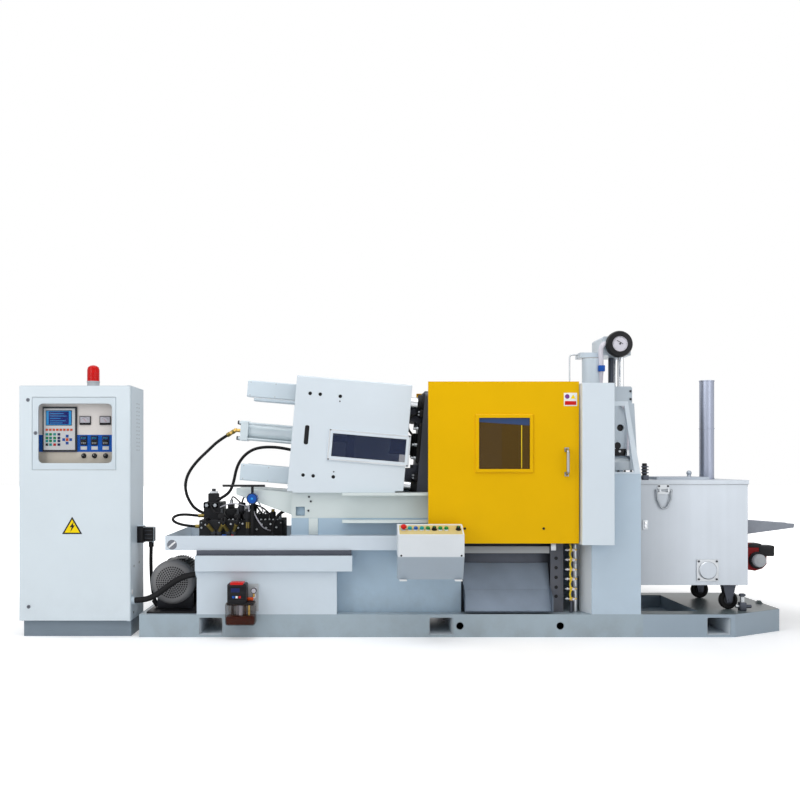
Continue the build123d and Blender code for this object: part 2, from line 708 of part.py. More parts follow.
def platen_plate(u, thickness):
    """Platen with round corners, relieved at the middle of each side."""
    plate = block(u, u + thickness, -PLATEN_HALF_WIDTH, PLATEN_HALF_WIDTH,
                  -PLATEN_HALF_HEIGHT, PLATEN_HALF_HEIGHT)
    plate = fillet(plate.edges().filter_by(Axis.X), PLATEN_CORNER)
    for v, w in tie_bar_places():
        plate -= rod_x(u - 1, u + thickness + 1, v, w, TIE_BAR_RADIUS + BORE_CLEARANCE)
    return plate


def on_bed(shape):
    """The piece, cut level where it stands on the bed beams."""
    below = block(-FAR, FAR, -FAR, -BEAM_INNER_Y + MOVING_GAP, 0, BED_TOP_Z + SEAT / 3)
    return shape - below - mirror_y(below)


def standing_platen(u, thickness, bore_radius):
    """Platen with feet that stand on the bed beams, and a bore on its axis."""
    plate = platen_plate(u, thickness)
    foot = block(u, u + thickness, -PLATEN_FOOT_HALF_WIDTH, PLATEN_FOOT_HALF_WIDTH,
                 -PLATEN_HALF_HEIGHT, -PLATEN_HALF_HEIGHT + 2 * PLATEN_FOOT_HEIGHT)
    for v, w in tie_bar_places():
        foot -= rod_x(u - 1, u + thickness + 1, v, w, TIE_BAR_RADIUS + BORE_CLEARANCE)
    plate += foot
    plate -= rod_x(u - 1, u + thickness + 1, 0, 0, bore_radius)
    return on_bed(CLAMP * plate)


def toggle_lug(root_u, tip_u, v, w):
    """Lug with a round pin eye at its tip and a wider root on the platen."""
    away = 1 if tip_u > root_u else -1
    outward = 1 if w > 0 else -1
    eye_u = tip_u - away * LUG_RADIUS
    v0 = v - LUG_HALF_THICKNESS
    v1 = v + LUG_HALF_THICKNESS
    neck = block(min(eye_u, root_u), max(eye_u, root_u), v0, v1, w - LUG_RADIUS, w + LUG_RADIUS)
    root_end = root_u + away * LUG_ROOT
    middle = w - 5 * outward
    root = block(min(root_end, root_u), max(root_end, root_u), v0, v1, middle - 65, middle + 65)
    return neck + rod_y(eye_u, v0, v1, w, LUG_RADIUS) + root


def lug_rows():
    """Places of the six lugs on a platen."""
    return [(v, w) for w in (-LUG_W, LUG_W) for v in LUG_V]


def toggle_bore(u, w):
    """Cutter for a pin bore across the lugs or links."""
    return rod_y(u, -PLATEN_HALF_WIDTH, PLATEN_HALF_WIDTH, w, TOGGLE_PIN_RADIUS + PIN_CLEARANCE)


def moving_platen():
    """Platen that carries the moving die half, with the bored toggle lugs on its back."""
    plate = platen_plate(MOVING_PLATEN_U, MOVING_PLATEN_THICKNESS)
    for v, w in lug_rows():
        plate += toggle_lug(MOVING_PLATEN_U, MOVING_PLATEN_U - LUG_REACH, v, w)
    for w in (-LUG_W, LUG_W):
        plate -= toggle_bore(MOVING_PIN_U, w)
    plate -= rod_x(MOVING_PLATEN_U - OVERCUT, MOVING_PLATEN_U + 60, 0, 0, 90)
    return CLAMP * plate


def toggle_arm(v, w):
    """Straight link with a bored eye at each end."""
    v0 = v - ARM_HALF_WIDTH
    v1 = v + ARM_HALF_WIDTH
    bar = block(ARM_START_U, MOVING_PIN_U, v0, v1, w - ARM_HALF_HEIGHT, w + ARM_HALF_HEIGHT)
    for u in (ARM_START_U, MOVING_PIN_U):
        bar += rod_y(u, v0, v1, w, ARM_EYE_RADIUS)
    for u in (ARM_START_U, MOVING_PIN_U):
        bar -= toggle_bore(u, w)
    return CLAMP * bar


def toggle_pin(w):
    """Pin through the moving platen's lugs and the links."""
    return CLAMP * rod_y(MOVING_PIN_U, -TOGGLE_PIN_HALF_LENGTH, TOGGLE_PIN_HALF_LENGTH, w, TOGGLE_PIN_RADIUS)


def crosshead():
    """Crosshead block with its rod into the closing cylinder and the cross pins of the links."""
    left = ARM_START_U - CROSSHEAD_HALF
    right = ARM_START_U + CROSSHEAD_HALF
    head = block(left, right, -2 * CROSSHEAD_HALF, 2 * CROSSHEAD_HALF, 60 - LUG_W, LUG_W - 60)
    for w in (-LUG_W, LUG_W):
        head += rod_y(ARM_START_U, -CROSS_PIN_HALF_LENGTH, CROSS_PIN_HALF_LENGTH, w, TOGGLE_PIN_RADIUS)
        neck_w = w * (1 - 80 / LUG_W)
        head += block(ARM_START_U - 18, ARM_START_U + 18, -26, 26, min(neck_w, w), max(neck_w, w))
    head += rod_x(TAIL_PLATEN_U - CLOSING_ROD_LENGTH, left + 10, 0, 0, CLOSING_ROD_RADIUS)
    return CLAMP * head


def ejector_unit():
    """Ejector cylinder block on the back of the moving platen."""
    rear = MOVING_PLATEN_U - EJECTOR_LENGTH
    base_u = MOVING_PLATEN_U - 40
    unit = block(base_u, MOVING_PLATEN_U - SEAT / 3, -105, 105, -85, 85)
    unit += rod_x(rear + 20, base_u, 0, 0, EJECTOR_RADIUS)
    unit += block(rear, rear + 20, -75, 75, -72, 72)
    for v in (-EJECTOR_RADIUS, EJECTOR_RADIUS):
        for w in (-60, 60):
            unit += rod_x(rear - 8, base_u, v, w, CLOSING_TIE_RADIUS)
    return CLAMP * unit


def tail_lugs():
    """Lugs of the tail platen, behind the knees."""
    face = TAIL_PLATEN_U + TAIL_PLATEN_THICKNESS
    return [CLAMP * toggle_lug(face, face + TAIL_LUG_REACH, v, w) for v, w in lug_rows()]


def fixed_platen():
    """Platen that carries the fixed die half, with a nozzle bore and die clamping holes."""
    shape = standing_platen(FIXED_PLATEN_U, FIXED_PLATEN_THICKNESS, NOZZLE_BORE_RADIUS)
    for v in (-DIE_HOLE_SPACING_Y / 2, DIE_HOLE_SPACING_Y / 2):
        for w in (-DIE_HOLE_SPACING_W / 2, DIE_HOLE_SPACING_W / 2):
            shape -= clamp_rod(FIXED_PLATEN_U - OVERCUT, FIXED_PLATEN_U + DIE_HOLE_DEPTH, v, w, DIE_HOLE_RADIUS)
    return shape


def tie_bar(v, w):
    """Tie bar with a nut at each end, turned as one piece."""
    start = TAIL_PLATEN_U - TIE_NUT_LENGTH - SEAT
    end = FIXED_PLATEN_U + FIXED_PLATEN_THICKNESS + SEAT
    bar = rod_x(start - 60, end + TIE_NUT_LENGTH + 8, v, w, TIE_BAR_RADIUS)
    bar += rod_x(start, start + TIE_NUT_LENGTH, v, w, TIE_NUT_RADIUS)
    bar += rod_x(end, end + TIE_NUT_LENGTH, v, w, TIE_NUT_RADIUS)
    return CLAMP * bar


def tie_bar_cover(v, w):
    """Folded sheet box over one tie bar's rear end, open towards the platen."""
    half = COVER_SIZE / 2
    far = TAIL_PLATEN_U - SEAT
    outer = block(far - COVER_LENGTH, far, v - half, v + half, w - half, w + half)
    outer = fillet(outer.edges().filter_by(Axis.X), 8)
    wall = 4.0
    inner = block(far - COVER_LENGTH + wall, far + 1, v - half + wall, v + half - wall,
                  w - half + wall, w + half - wall)
    return CLAMP * (outer - inner)


def closing_cylinder():
    """Cylinder between square caps held by four tie rods, hollow for its rod."""
    front = TAIL_PLATEN_U - SEAT / 3
    rear = front - CLOSING_CYLINDER_LENGTH
    half = CLOSING_CAP_SIZE / 2
    cap = block(rear, rear + CLOSING_CAP_THICKNESS, -half, half, -half, half)
    cap = fillet(cap.edges().filter_by(Axis.X), 6)
    flange = block(front - 26, front, -half, half, -half, half)
    body = rod_x(rear, front, 0, 0, CLOSING_CYLINDER_RADIUS)
    shape = cap + body + flange
    rod_place = half - CLOSING_TIE_INSET
    for v in (-rod_place, rod_place):
        for w in (-rod_place, rod_place):
            shape += rod_x(rear - 14, front, v, w, CLOSING_TIE_RADIUS)
    shape -= rod_x(rear + 40, front + 1, 0, 0, CLOSING_ROD_RADIUS + 12)
    cylinder = CLAMP * shape
    nipple = Vector(*CLOSING_HOSE[0])
    back = (nipple - Vector(*CLOSING_HOSE[1])).normalized()
    elbow = nipple + back * HOSE_ELBOW_LENGTH
    cap_face = (CLAMP * Pos(rear + 1, 0, 0)).position
    cylinder += hose_end(CLOSING_HOSE, HOSE_ELBOW_LENGTH, HOSE_RADIUS + 3)
    cylinder += rod_between(tuple(cap_face), tuple(elbow), HOSE_RADIUS + 1)
    return cylinder + Pos(*elbow) * Sphere(HOSE_RADIUS + 4)


def toggle_guard():
    """Sheet cover over the toggles: front, top and back, level along its foot."""
    outer = block(GUARD_LEFT_U, GUARD_RIGHT_U, -GUARD_HALF_WIDTH, GUARD_HALF_WIDTH, -BED_TOP_Z, GUARD_TOP_W)
    outer = fillet(outer.edges().filter_by(Axis.X).group_by(Axis.Z)[-1], 10)
    inner_half = GUARD_HALF_WIDTH - GUARD_SHEET
    inner = block(GUARD_LEFT_U - OVERCUT, GUARD_RIGHT_U + OVERCUT, -inner_half, inner_half,
                  -BED_TOP_Z - OVERCUT, GUARD_TOP_W - GUARD_SHEET)
    sheet = outer - inner
    through = 2 * GUARD_HALF_WIDTH
    window = block(GUARD_WINDOW_U, GUARD_WINDOW_U + GUARD_WINDOW_LENGTH, -through, 0,
                   GUARD_WINDOW_W - GUARD_WINDOW_HEIGHT / 2, GUARD_WINDOW_W + GUARD_WINDOW_HEIGHT / 2)
    sheet -= window
    slot = block(GUARD_SLOT_U - GUARD_SLOT_WIDTH / 2, GUARD_SLOT_U + GUARD_SLOT_WIDTH / 2, -through, 0,
                 -GUARD_SLOT_LENGTH / 2, GUARD_SLOT_LENGTH / 2)
    sheet -= fillet(slot.edges().filter_by(Axis.Y), GUARD_SLOT_WIDTH / 2 - 0.1)
    for u, w in GUARD_HOLES:
        sheet -= rod_y(u, -through, 0, w, GUARD_HOLE_RADIUS)
    sheet = CLAMP * sheet
    sheet -= block(-FAR, FAR, -FAR, FAR, -FAR, GUARD_BOTTOM_Z)
    foot = block(BED_LEFT_X + 10, GUARD_FOOT_RIGHT_X, -GUARD_HALF_WIDTH, -PLATEN_FOOT_HALF_WIDTH - 2,
                 BED_TOP_Z + SEAT / 3, GUARD_BOTTOM_Z)
    return sheet + foot + mirror_y(foot)


def guard_window():
    """Framed pane of the toggle guard."""
    front = -GUARD_HALF_WIDTH - GUARD_FRAME_DEPTH
    u0 = GUARD_WINDOW_U - GUARD_FRAME
    u1 = GUARD_WINDOW_U + GUARD_WINDOW_LENGTH + GUARD_FRAME
    w0 = GUARD_WINDOW_W - GUARD_WINDOW_HEIGHT / 2 - GUARD_FRAME
    w1 = GUARD_WINDOW_W + GUARD_WINDOW_HEIGHT / 2 + GUARD_FRAME
    width = 2 * GUARD_FRAME
    ring = block(u0, u1, front, -GUARD_HALF_WIDTH, w0, w1)
    ring -= block(u0 + width, u1 - width, front - OVERCUT, 0, w0 + width, w1 - width)
    return CLAMP * ring


def guard_pane():
    """Clear pane behind the frame, inside the opening of the guard sheet."""
    gap = 1.0
    return clamp_block(GUARD_WINDOW_U + gap, GUARD_WINDOW_U + GUARD_WINDOW_LENGTH - gap,
                       -GUARD_HALF_WIDTH + SEAT / 3, -GUARD_HALF_WIDTH + GUARD_SHEET - 1,
                       GUARD_WINDOW_W - GUARD_WINDOW_HEIGHT / 2 + gap,
                       GUARD_WINDOW_W + GUARD_WINDOW_HEIGHT / 2 - gap)


def tail_platen():
    """Platen at the closing cylinder's end, with lugs towards the toggles and a hose fitting."""
    shape = standing_platen(TAIL_PLATEN_U, TAIL_PLATEN_THICKNESS, TAIL_BORE_RADIUS)
    for lug in tail_lugs():
        shape += lug
    return shape + hose_end(TAIL_HOSE, 60, HOSE_RADIUS + 4)


node("tail_platen", tail_platen())
node("fixed_platen", fixed_platen())
node("tie_bars", *[tie_bar(v, w) for v, w in tie_bar_places()])
node("tie_bar_covers", *[tie_bar_cover(v, w) for v, w in tie_bar_places()])
node("closing_cylinder", closing_cylinder())
node("toggle_guard", toggle_guard() + guard_window())
node("moving_platen", moving_platen())
node("toggle_linkage", *[toggle_arm(v, w) for w in (-LUG_W, LUG_W) for v in ARM_V],
     *[toggle_pin(w) for w in (-LUG_W, LUG_W)], crosshead())
node("ejector_unit", ejector_unit())


# Safety door, rear guard and post box


def framed_sheet(x0, x1, y0, y1, z0, z1, wall):
    """Sheet panel folded back along its four edges."""
    panel = block(x0, x1, y0, y1, z0, z1)
    panel = fillet(panel.edges().filter_by(Axis.Z).group_by(Axis.Y)[0], 4)
    return panel - block(x0 + wall, x1 - wall, y0 + wall, y1 + 1, z0 + wall, z1 - wall)


def door_panel():
    """Folded door sheet with a window opening in a raised frame."""
    door = framed_sheet(DOOR_LEFT_X, DOOR_RIGHT_X, DOOR_FRONT_Y, DOOR_BACK_Y, DOOR_BOTTOM_Z, DOOR_TOP_Z,
                        DOOR_SHEET)
    x1 = WINDOW_X + WINDOW_WIDTH
    z1 = WINDOW_Z + WINDOW_HEIGHT
    raised = block(WINDOW_X - WINDOW_FRAME, x1 + WINDOW_FRAME, DOOR_FRONT_Y - WINDOW_FRAME_DEPTH,
                   DOOR_FRONT_Y + DOOR_SHEET, WINDOW_Z - WINDOW_FRAME, z1 + WINDOW_FRAME)
    raised = chamfer(raised.faces().sort_by(Axis.Y)[0].edges(), 6)
    door += raised
    return door - block(WINDOW_X, x1, DOOR_FRONT_Y - 50, DOOR_BACK_Y + 1, WINDOW_Z, z1)


def door_window():
    """Pane in the door's opening."""
    gap = SEAT / 3
    return block(WINDOW_X + gap, WINDOW_X + WINDOW_WIDTH - gap, DOOR_FRONT_Y - 2,
                 DOOR_FRONT_Y - 2 + GLASS_THICKNESS, WINDOW_Z + gap, WINDOW_Z + WINDOW_HEIGHT - gap)


def door_handle():
    """Bow handle on two feet."""
    front = DOOR_FRONT_Y - SEAT / 3
    path = FilletPolyline(
        (HANDLE_X, front, HANDLE_BOTTOM_Z + 10),
        (HANDLE_X, front - HANDLE_REACH, HANDLE_BOTTOM_Z + 24),
        (HANDLE_X, front - HANDLE_REACH, HANDLE_TOP_Z - 24),
        (HANDLE_X, front, HANDLE_TOP_Z - 10),
        radius=18)
    bow = sweep(Plane(path @ 0, z_dir=path % 0) * Circle(HANDLE_RADIUS), path=path)
    bow -= block(HANDLE_X - 60, HANDLE_X + 60, front, front + 60, HANDLE_BOTTOM_Z - 60, HANDLE_TOP_Z + 60)
    for z in (HANDLE_BOTTOM_Z + 12, HANDLE_TOP_Z - 12):
        bow += block(HANDLE_X - 14, HANDLE_X + 14, front - 6, front, z - 14, z + 14)
    return bow


def door_hangers():
    """Brackets on the door's back, each with a grooved roller on a rail."""
    shapes = []
    root_y = DOOR_FRONT_Y + DOOR_SHEET - 1
    wheel_y = RAIL_FRONT_Y - 2
    for x in (DOOR_LEFT_X + HANGER_INSET, DOOR_RIGHT_X - HANGER_INSET):
        for rail_z in (RAIL_UPPER_Z, RAIL_LOWER_Z):
            wheel_z = rail_z + RAIL_HEIGHT / 2 + SEAT + ROLLER_RADIUS
            wheel = rod_y(x, wheel_y, wheel_y + ROLLER_WIDTH, wheel_z, ROLLER_RADIUS)
            axle = rod_y(x, root_y, wheel_y, wheel_z, 9)
            plate = block(x - 34, x + 34, root_y, DOOR_BACK_Y, wheel_z - 34, wheel_z + 34)
            shapes.append(wheel + axle + plate)
    return shapes


def safety_door():
    """Sliding door with its four rollers."""
    door = door_panel()
    for hanger in door_hangers():
        door += hanger
    return door


def rear_guard():
    """Fixed guard on the rear side, held by brackets on the rear beam."""
    guard = mirror_y(door_panel())
    for x in (DOOR_LEFT_X + HANGER_INSET, DOOR_RIGHT_X - HANGER_INSET):
        for z in (RAIL_UPPER_Z, RAIL_LOWER_Z):
            guard += block(x - 30, x + 30, BED_HALF_WIDTH + SEAT / 3, -DOOR_FRONT_Y - 3, z - 9, z + 9)
    return guard


def post_box():
    """Boxed cover that the door shuts against."""
    box = block(POST_LEFT_X, POST_RIGHT_X, POST_FRONT_Y, BASE_FRONT_Y, POST_BOTTOM_Z, POST_TOP_Z)
    return fillet(box.edges().filter_by(Axis.Z).group_by(Axis.Y)[0], 5)


def guard_header():
    """Bar over the die space that ties both post boxes."""
    z1 = POST_TOP_Z - 40
    z0 = z1 - HEADER_THICKNESS
    return block(POST_LEFT_X + 20, UPRIGHT_LEFT_X + 12, BASE_FRONT_Y + 1, BASE_BACK_Y - 1, z0, z1)


def post_upright():
    """Upright behind the post box that carries it above the column."""
    return block(UPRIGHT_LEFT_X, POST_RIGHT_X, BASE_FRONT_Y, BASE_FRONT_Y + UPRIGHT_DEPTH,
                 COLUMN_TOP_Z + SEAT / 3, POST_TOP_Z)


def side_stay():
    """Slanted stay from the column top, tied back to the upright at its head."""
    foot_x = COLUMN_RIGHT_X
    y0 = BASE_FRONT_Y + 8
    top_x = foot_x - 84
    base_z = COLUMN_TOP_Z + SEAT / 3
    bar = plate_y([(foot_x, base_z), (foot_x - STAY_WIDTH - 14, base_z),
                   (top_x - STAY_WIDTH, STAY_TOP_Z), (top_x, STAY_TOP_Z)], y0, y0 + STAY_THICKNESS)
    tie = block(POST_RIGHT_X - 20, top_x - 6, y0, y0 + STAY_THICKNESS, STAY_TOP_Z - 30, STAY_TOP_Z)
    sole = block(POST_RIGHT_X - 20, foot_x, y0, y0 + UPRIGHT_DEPTH, base_z, base_z + 12)
    return bar + tie + sole


def door_posts():
    """Post boxes, uprights and side stays, joined over the die space."""
    side = post_box() + post_upright() + side_stay()
    return side + mirror_y(side) + guard_header()


node("safety_door", safety_door())
node("door_window", door_window())
node("door_handle", door_handle())
node("rear_guard", rear_guard())
node("guard_panes", guard_pane(), mirror_y(door_window()))
node("door_posts", door_posts())


# Columns


def column():
    """Front column, splayed on its inner side towards the floor of the machine."""
    y0 = BASE_FRONT_Y
    y1 = BASE_FRONT_Y + COLUMN_DEPTH
    outline = [(COLUMN_LEFT_X, y0), (COLUMN_RIGHT_X, y0), (COLUMN_RIGHT_X, y1),
               (COLUMN_LEFT_X - COLUMN_SPLAY, y1)]
    body = Pos(0, 0, BASE_HEIGHT) * extrude(make_face(Polyline(*outline, close=True)),
                                            amount=COLUMN_TOP_Z - BASE_HEIGHT)
    return body


def column_bridge():
    """Thick plate that joins the column tops and carries the injection unit."""
    inner = BASE_WIDTH / 2 - COLUMN_DEPTH + 1
    return block(COLUMN_LEFT_X - COLUMN_SPLAY, COLUMN_RIGHT_X - BRIDGE_INSET, -inner, inner,
                 COLUMN_TOP_Z - BRIDGE_THICKNESS, COLUMN_TOP_Z)


node("columns", column() + mirror_y(column()) + column_bridge())


# Injection unit


def pot_housing():
    """Round casting that guides the plunger, on a square foot."""
    foot = block(SHOT_X - FOOT_LENGTH, COLUMN_RIGHT_X - BRIDGE_INSET, -FOOT_HALF_WIDTH, FOOT_HALF_WIDTH,
                 COLUMN_TOP_Z, COLUMN_TOP_Z + FOOT_THICKNESS)
    profile = Polyline(
        (PLUNGER_RADIUS + PIN_CLEARANCE, 0, COLUMN_TOP_Z + 20),
        (HOUSING_RADIUS, 0, COLUMN_TOP_Z + 20),
        (HOUSING_RADIUS, 0, HOUSING_TOP_Z - 40),
        (HOUSING_RADIUS - 30, 0, HOUSING_TOP_Z - SEAT),
        (PLUNGER_RADIUS + PIN_CLEARANCE, 0, HOUSING_TOP_Z - SEAT),
        close=True)
    body = Pos(SHOT_X, 0, 0) * revolve(make_face(profile), Axis.Z)
    shape = foot + body
    return shape - rod_z(SHOT_X, 0, COLUMN_TOP_Z - 1, HOUSING_TOP_Z, PLUNGER_RADIUS + PIN_CLEARANCE)


def plunger():
    """Shot plunger under its coupling, and the cylinder rod above it."""
    top = HOUSING_TOP_Z + COUPLING_HEIGHT
    shape = rod_z(SHOT_X, 0, COLUMN_TOP_Z + 4, HOUSING_TOP_Z + 2, PLUNGER_RADIUS)
    shape += rod_z(SHOT_X, 0, HOUSING_TOP_Z + 1, top, COUPLING_RADIUS)
    shape += rod_z(SHOT_X, 0, top - 2, INJECTION_CYLINDER_BOTTOM_Z + 30, SHOT_ROD_RADIUS)
    return shape


def injection_cylinder():
    """Cylinder that drives the plunger, hung from the top block."""
    bottom = INJECTION_CYLINDER_BOTTOM_Z
    shape = rod_z(SHOT_X, 0, bottom, INJECTION_BLOCK_BOTTOM_Z - SEAT / 3, INJECTION_CYLINDER_RADIUS)
    shape += rod_z(SHOT_X, 0, bottom, bottom + INJECTION_COLLAR_HEIGHT, INJECTION_COLLAR_RADIUS)
    return shape - rod_z(SHOT_X, 0, bottom - OVERCUT, INJECTION_BLOCK_BOTTOM_Z - 20,
                         SHOT_ROD_RADIUS + MOVING_GAP)


def injection_cheek():
    """Tapered side plate of the injection frame."""
    inner = CHEEK_HALF_GAP
    profile = [
        (SHOT_X - FOOT_LENGTH, COLUMN_TOP_Z + FOOT_THICKNESS),
        (SHOT_X + 120, COLUMN_TOP_Z + FOOT_THICKNESS),
        (SHOT_X + 96, INJECTION_BLOCK_BOTTOM_Z),
        (SHOT_X - 96, INJECTION_BLOCK_BOTTOM_Z),
        (SHOT_X - FOOT_LENGTH, COLUMN_TOP_Z + 260),
    ]
    cheek = plate_y(profile, -inner - CHEEK_THICKNESS, -inner)
    cheek -= rod_y(SHOT_X, -inner - CHEEK_THICKNESS - OVERCUT, -inner + OVERCUT, CHEEK_HOLE_Z,
                   CHEEK_HOLE_RADIUS)
    return cheek


def injection_frame():
    """Two cheeks under the top block."""
    half = CHEEK_HALF_GAP + CHEEK_THICKNESS
    cheek = injection_cheek() - Pos(SHOT_X, 0, 0) * Cylinder(HOUSING_RADIUS + 2, 2 * HOUSING_TOP_Z)
    top = block(SHOT_X - 90, SHOT_X + 82, -half, half, INJECTION_BLOCK_BOTTOM_Z, INJECTION_BLOCK_TOP_Z)
    top = chamfer(top.edges().filter_by(Axis.Y).group_by(Axis.Z)[-1], 10)
    return cheek + mirror_y(cheek) + top


def valve_block():
    """Manifold on top of the guide rods, with a shelf over the accumulator."""
    main = block(VALVE_BLOCK_LEFT_X, SHOT_X + 48, GAUGE_BACK_Y + SEAT, VALVE_BLOCK_BACK_Y,
                 VALVE_BLOCK_BOTTOM_Z, VALVE_BLOCK_TOP_Z)
    main = chamfer(main.edges().filter_by(Axis.Y).group_by(Axis.Z)[-1], 12)
    shelf = block(ACCUMULATOR_X - 80, VALVE_BLOCK_LEFT_X + 10, ACCUMULATOR_Y - 18, ACCUMULATOR_Y + 130,
                  ACCUMULATOR_TOP_Z - OVERCUT, SHELF_TOP_Z)
    return main + shelf


def accumulator():
    """Gas bottle standing beside the injection frame."""
    body = rod_z(ACCUMULATOR_X, ACCUMULATOR_Y, COLUMN_TOP_Z, ACCUMULATOR_TOP_Z, ACCUMULATOR_RADIUS)
    body = chamfer(body.edges().filter_by(GeomType.CIRCLE), 12)
    return body + valve_block()


def guide_rods():
    """Bright rods from the injection head to the valve block."""
    return [rod_z(SHOT_X + 10, y, INJECTION_BLOCK_TOP_Z, VALVE_BLOCK_BOTTOM_Z, GUIDE_ROD_RADIUS)
            for y in GUIDE_ROD_Y]


def pressure_gauge():
    """Round gauge in a thick rim, facing the operator."""
    rim = rod_y(GAUGE_X, GAUGE_BACK_Y - GAUGE_DEPTH, GAUGE_BACK_Y, GAUGE_Z, GAUGE_RADIUS)
    rim = chamfer(rim.edges().filter_by(GeomType.CIRCLE), 14)
    face = GAUGE_BACK_Y - GAUGE_DEPTH
    return rim - rod_y(GAUGE_X, face - OVERCUT, face + 8, GAUGE_Z, GAUGE_DIAL_RADIUS)


node("pot_housing", pot_housing())
node("plunger", plunger())
node("injection_cylinder", injection_cylinder())
node("injection_frame", injection_frame())
node("accumulator", accumulator())
node("guide_rods", *guide_rods())
node("pressure_gauge", pressure_gauge())


# Furnace


def furnace_shell():
    """Insulated furnace box with a melting well under its lid."""
    shell = block(FURNACE_LEFT_X, FURNACE_RIGHT_X, FURNACE_FRONT_Y, FURNACE_BACK_Y,
                  FURNACE_BOTTOM_Z, FURNACE_TOP_Z)
    shell = fillet(shell.edges().filter_by(Axis.Z), 8)
    flue = rod_z(CHIMNEY_X, FURNACE_MIDDLE_Y, FURNACE_TOP_Z - 60, FURNACE_TOP_Z + OVERCUT,
                 CHIMNEY_RADIUS - 2 * CHIMNEY_WALL)
    return shell - flue


def furnace_top():
    """Top plate with its raised, lift-off cover over the ladling well."""
    plate = block(FURNACE_LEFT_X + 4, FURNACE_RIGHT_X + 4, FURNACE_FRONT_Y - 4, FURNACE_BACK_Y + 4,
                  FURNACE_TOP_Z, FURNACE_TOP_Z + LID_THICKNESS)
    return plate - rod_z(CHIMNEY_X, FURNACE_MIDDLE_Y, FURNACE_TOP_Z - OVERCUT, FURNACE_TOP_Z + 60,
                         CHIMNEY_RADIUS + SEAT)


def furnace_lid():
    """Flat cover with a knob."""
    z = FURNACE_TOP_Z + LID_THICKNESS
    top = z + COVER_THICKNESS
    front = FURNACE_FRONT_Y + COVER_FRONT_GAP
    back = FURNACE_BACK_Y - COVER_BACK_GAP
    left = COVER_RIGHT_X - COVER_LENGTH_X
    cover = fillet(block(left, COVER_RIGHT_X, front, back, z, top).edges().filter_by(Axis.Z), 14)
    knob_x = left + KNOB_SHARE * COVER_LENGTH_X
    knob_y = (front + back) / 2
    return cover + rod_z(knob_x, knob_y, top, top + 22, 14) + Pos(knob_x, knob_y, top + 26) * Sphere(18)


def chimney():
    """Open flue pipe."""
    outer = rod_z(CHIMNEY_X, FURNACE_MIDDLE_Y, FURNACE_TOP_Z, CHIMNEY_TOP_Z, CHIMNEY_RADIUS)
    return outer - rod_z(CHIMNEY_X, FURNACE_MIDDLE_Y, FURNACE_TOP_Z - OVERCUT, CHIMNEY_TOP_Z + OVERCUT,
                         CHIMNEY_RADIUS - CHIMNEY_WALL)


def furnace_port():
    """Square flange with a round cover plate."""
    front = FURNACE_FRONT_Y - SEAT / 3
    half = PORT_SIZE / 2
    flange = rounded_plate_y(PORT_X - half, PORT_X + half, PORT_Z - half, PORT_Z + half, front - 10, front, 6)
    disc = rod_y(PORT_X, front - 22, front - 9, PORT_Z, PORT_RADIUS)
    disc = chamfer(disc.edges().filter_by(GeomType.CIRCLE).group_by(Axis.Y)[0], 4)
    return flange + disc


def bail_plate():
    """Hinge plate of the lifting bail, with two ears."""
    front = FURNACE_FRONT_Y - SEAT / 3
    plate = rounded_plate_y(BAIL_X - 40, BAIL_X + 40, BAIL_PIN_Z - 26, BAIL_PIN_Z + 38, front - 5, front, 4)
    for x in (-34, 22):
        ear = block(BAIL_X + x, BAIL_X + x + 12, BAIL_PIN_Y - 10, front, BAIL_PIN_Z - 11, BAIL_PIN_Z + 11)
        ear -= rod_x(BAIL_X - 60, BAIL_X + 60, BAIL_PIN_Y, BAIL_PIN_Z, BAIL_WIRE + PIN_CLEARANCE)
        plate += ear
    return plate


def furnace_bail():
    """Bent wire bail on its pin."""
    pin = rod_x(BAIL_X - BAIL_HALF_WIDTH, BAIL_X + BAIL_HALF_WIDTH, BAIL_PIN_Y, BAIL_PIN_Z, BAIL_WIRE)
    path = FilletPolyline(
        (BAIL_X - BAIL_HALF_WIDTH, BAIL_PIN_Y, BAIL_PIN_Z),
        (BAIL_X - BAIL_HALF_WIDTH + 4, BAIL_PIN_Y, BAIL_PIN_Z - 60),
        (BAIL_X - 18, BAIL_PIN_Y, BAIL_PIN_Z - BAIL_DROP),
        (BAIL_X + 18, BAIL_PIN_Y, BAIL_PIN_Z - BAIL_DROP),
        (BAIL_X + BAIL_HALF_WIDTH - 4, BAIL_PIN_Y, BAIL_PIN_Z - 60),
        (BAIL_X + BAIL_HALF_WIDTH, BAIL_PIN_Y, BAIL_PIN_Z),
        radius=15)
    wire = sweep(Plane(path @ 0, z_dir=path % 0) * Circle(BAIL_WIRE), path=path)
    ends = [Pos(BAIL_X + s * BAIL_HALF_WIDTH, BAIL_PIN_Y, BAIL_PIN_Z) * Sphere(BAIL_WIRE + 1) for s in (-1, 1)]
    return wire + pin + ends[0] + ends[1]


def caster_fork(x, y):
    """Fixed fork under the furnace, with its axle."""
    plate = block(x - 52, x + 52, y - 48, y + 48, FURNACE_BOTTOM_Z - 8, FURNACE_BOTTOM_Z - SEAT / 3)
    inner = WHEEL_WIDTH / 2 + WHEEL_GAP
    fork = plate
    for side in (-1, 1):
        y0 = y + side * inner
        y1 = y + side * (inner + 6)
        cheek = plate_y([(x - 44, FURNACE_BOTTOM_Z - 4), (x + 44, FURNACE_BOTTOM_Z - 4),
                         (x + 16, WHEEL_Z - 16), (x - 16, WHEEL_Z - 16)], min(y0, y1), max(y0, y1))
        fork += cheek
    return fork + rod_y(x, y - inner - 10, y + inner + 10, WHEEL_Z, AXLE_RADIUS)


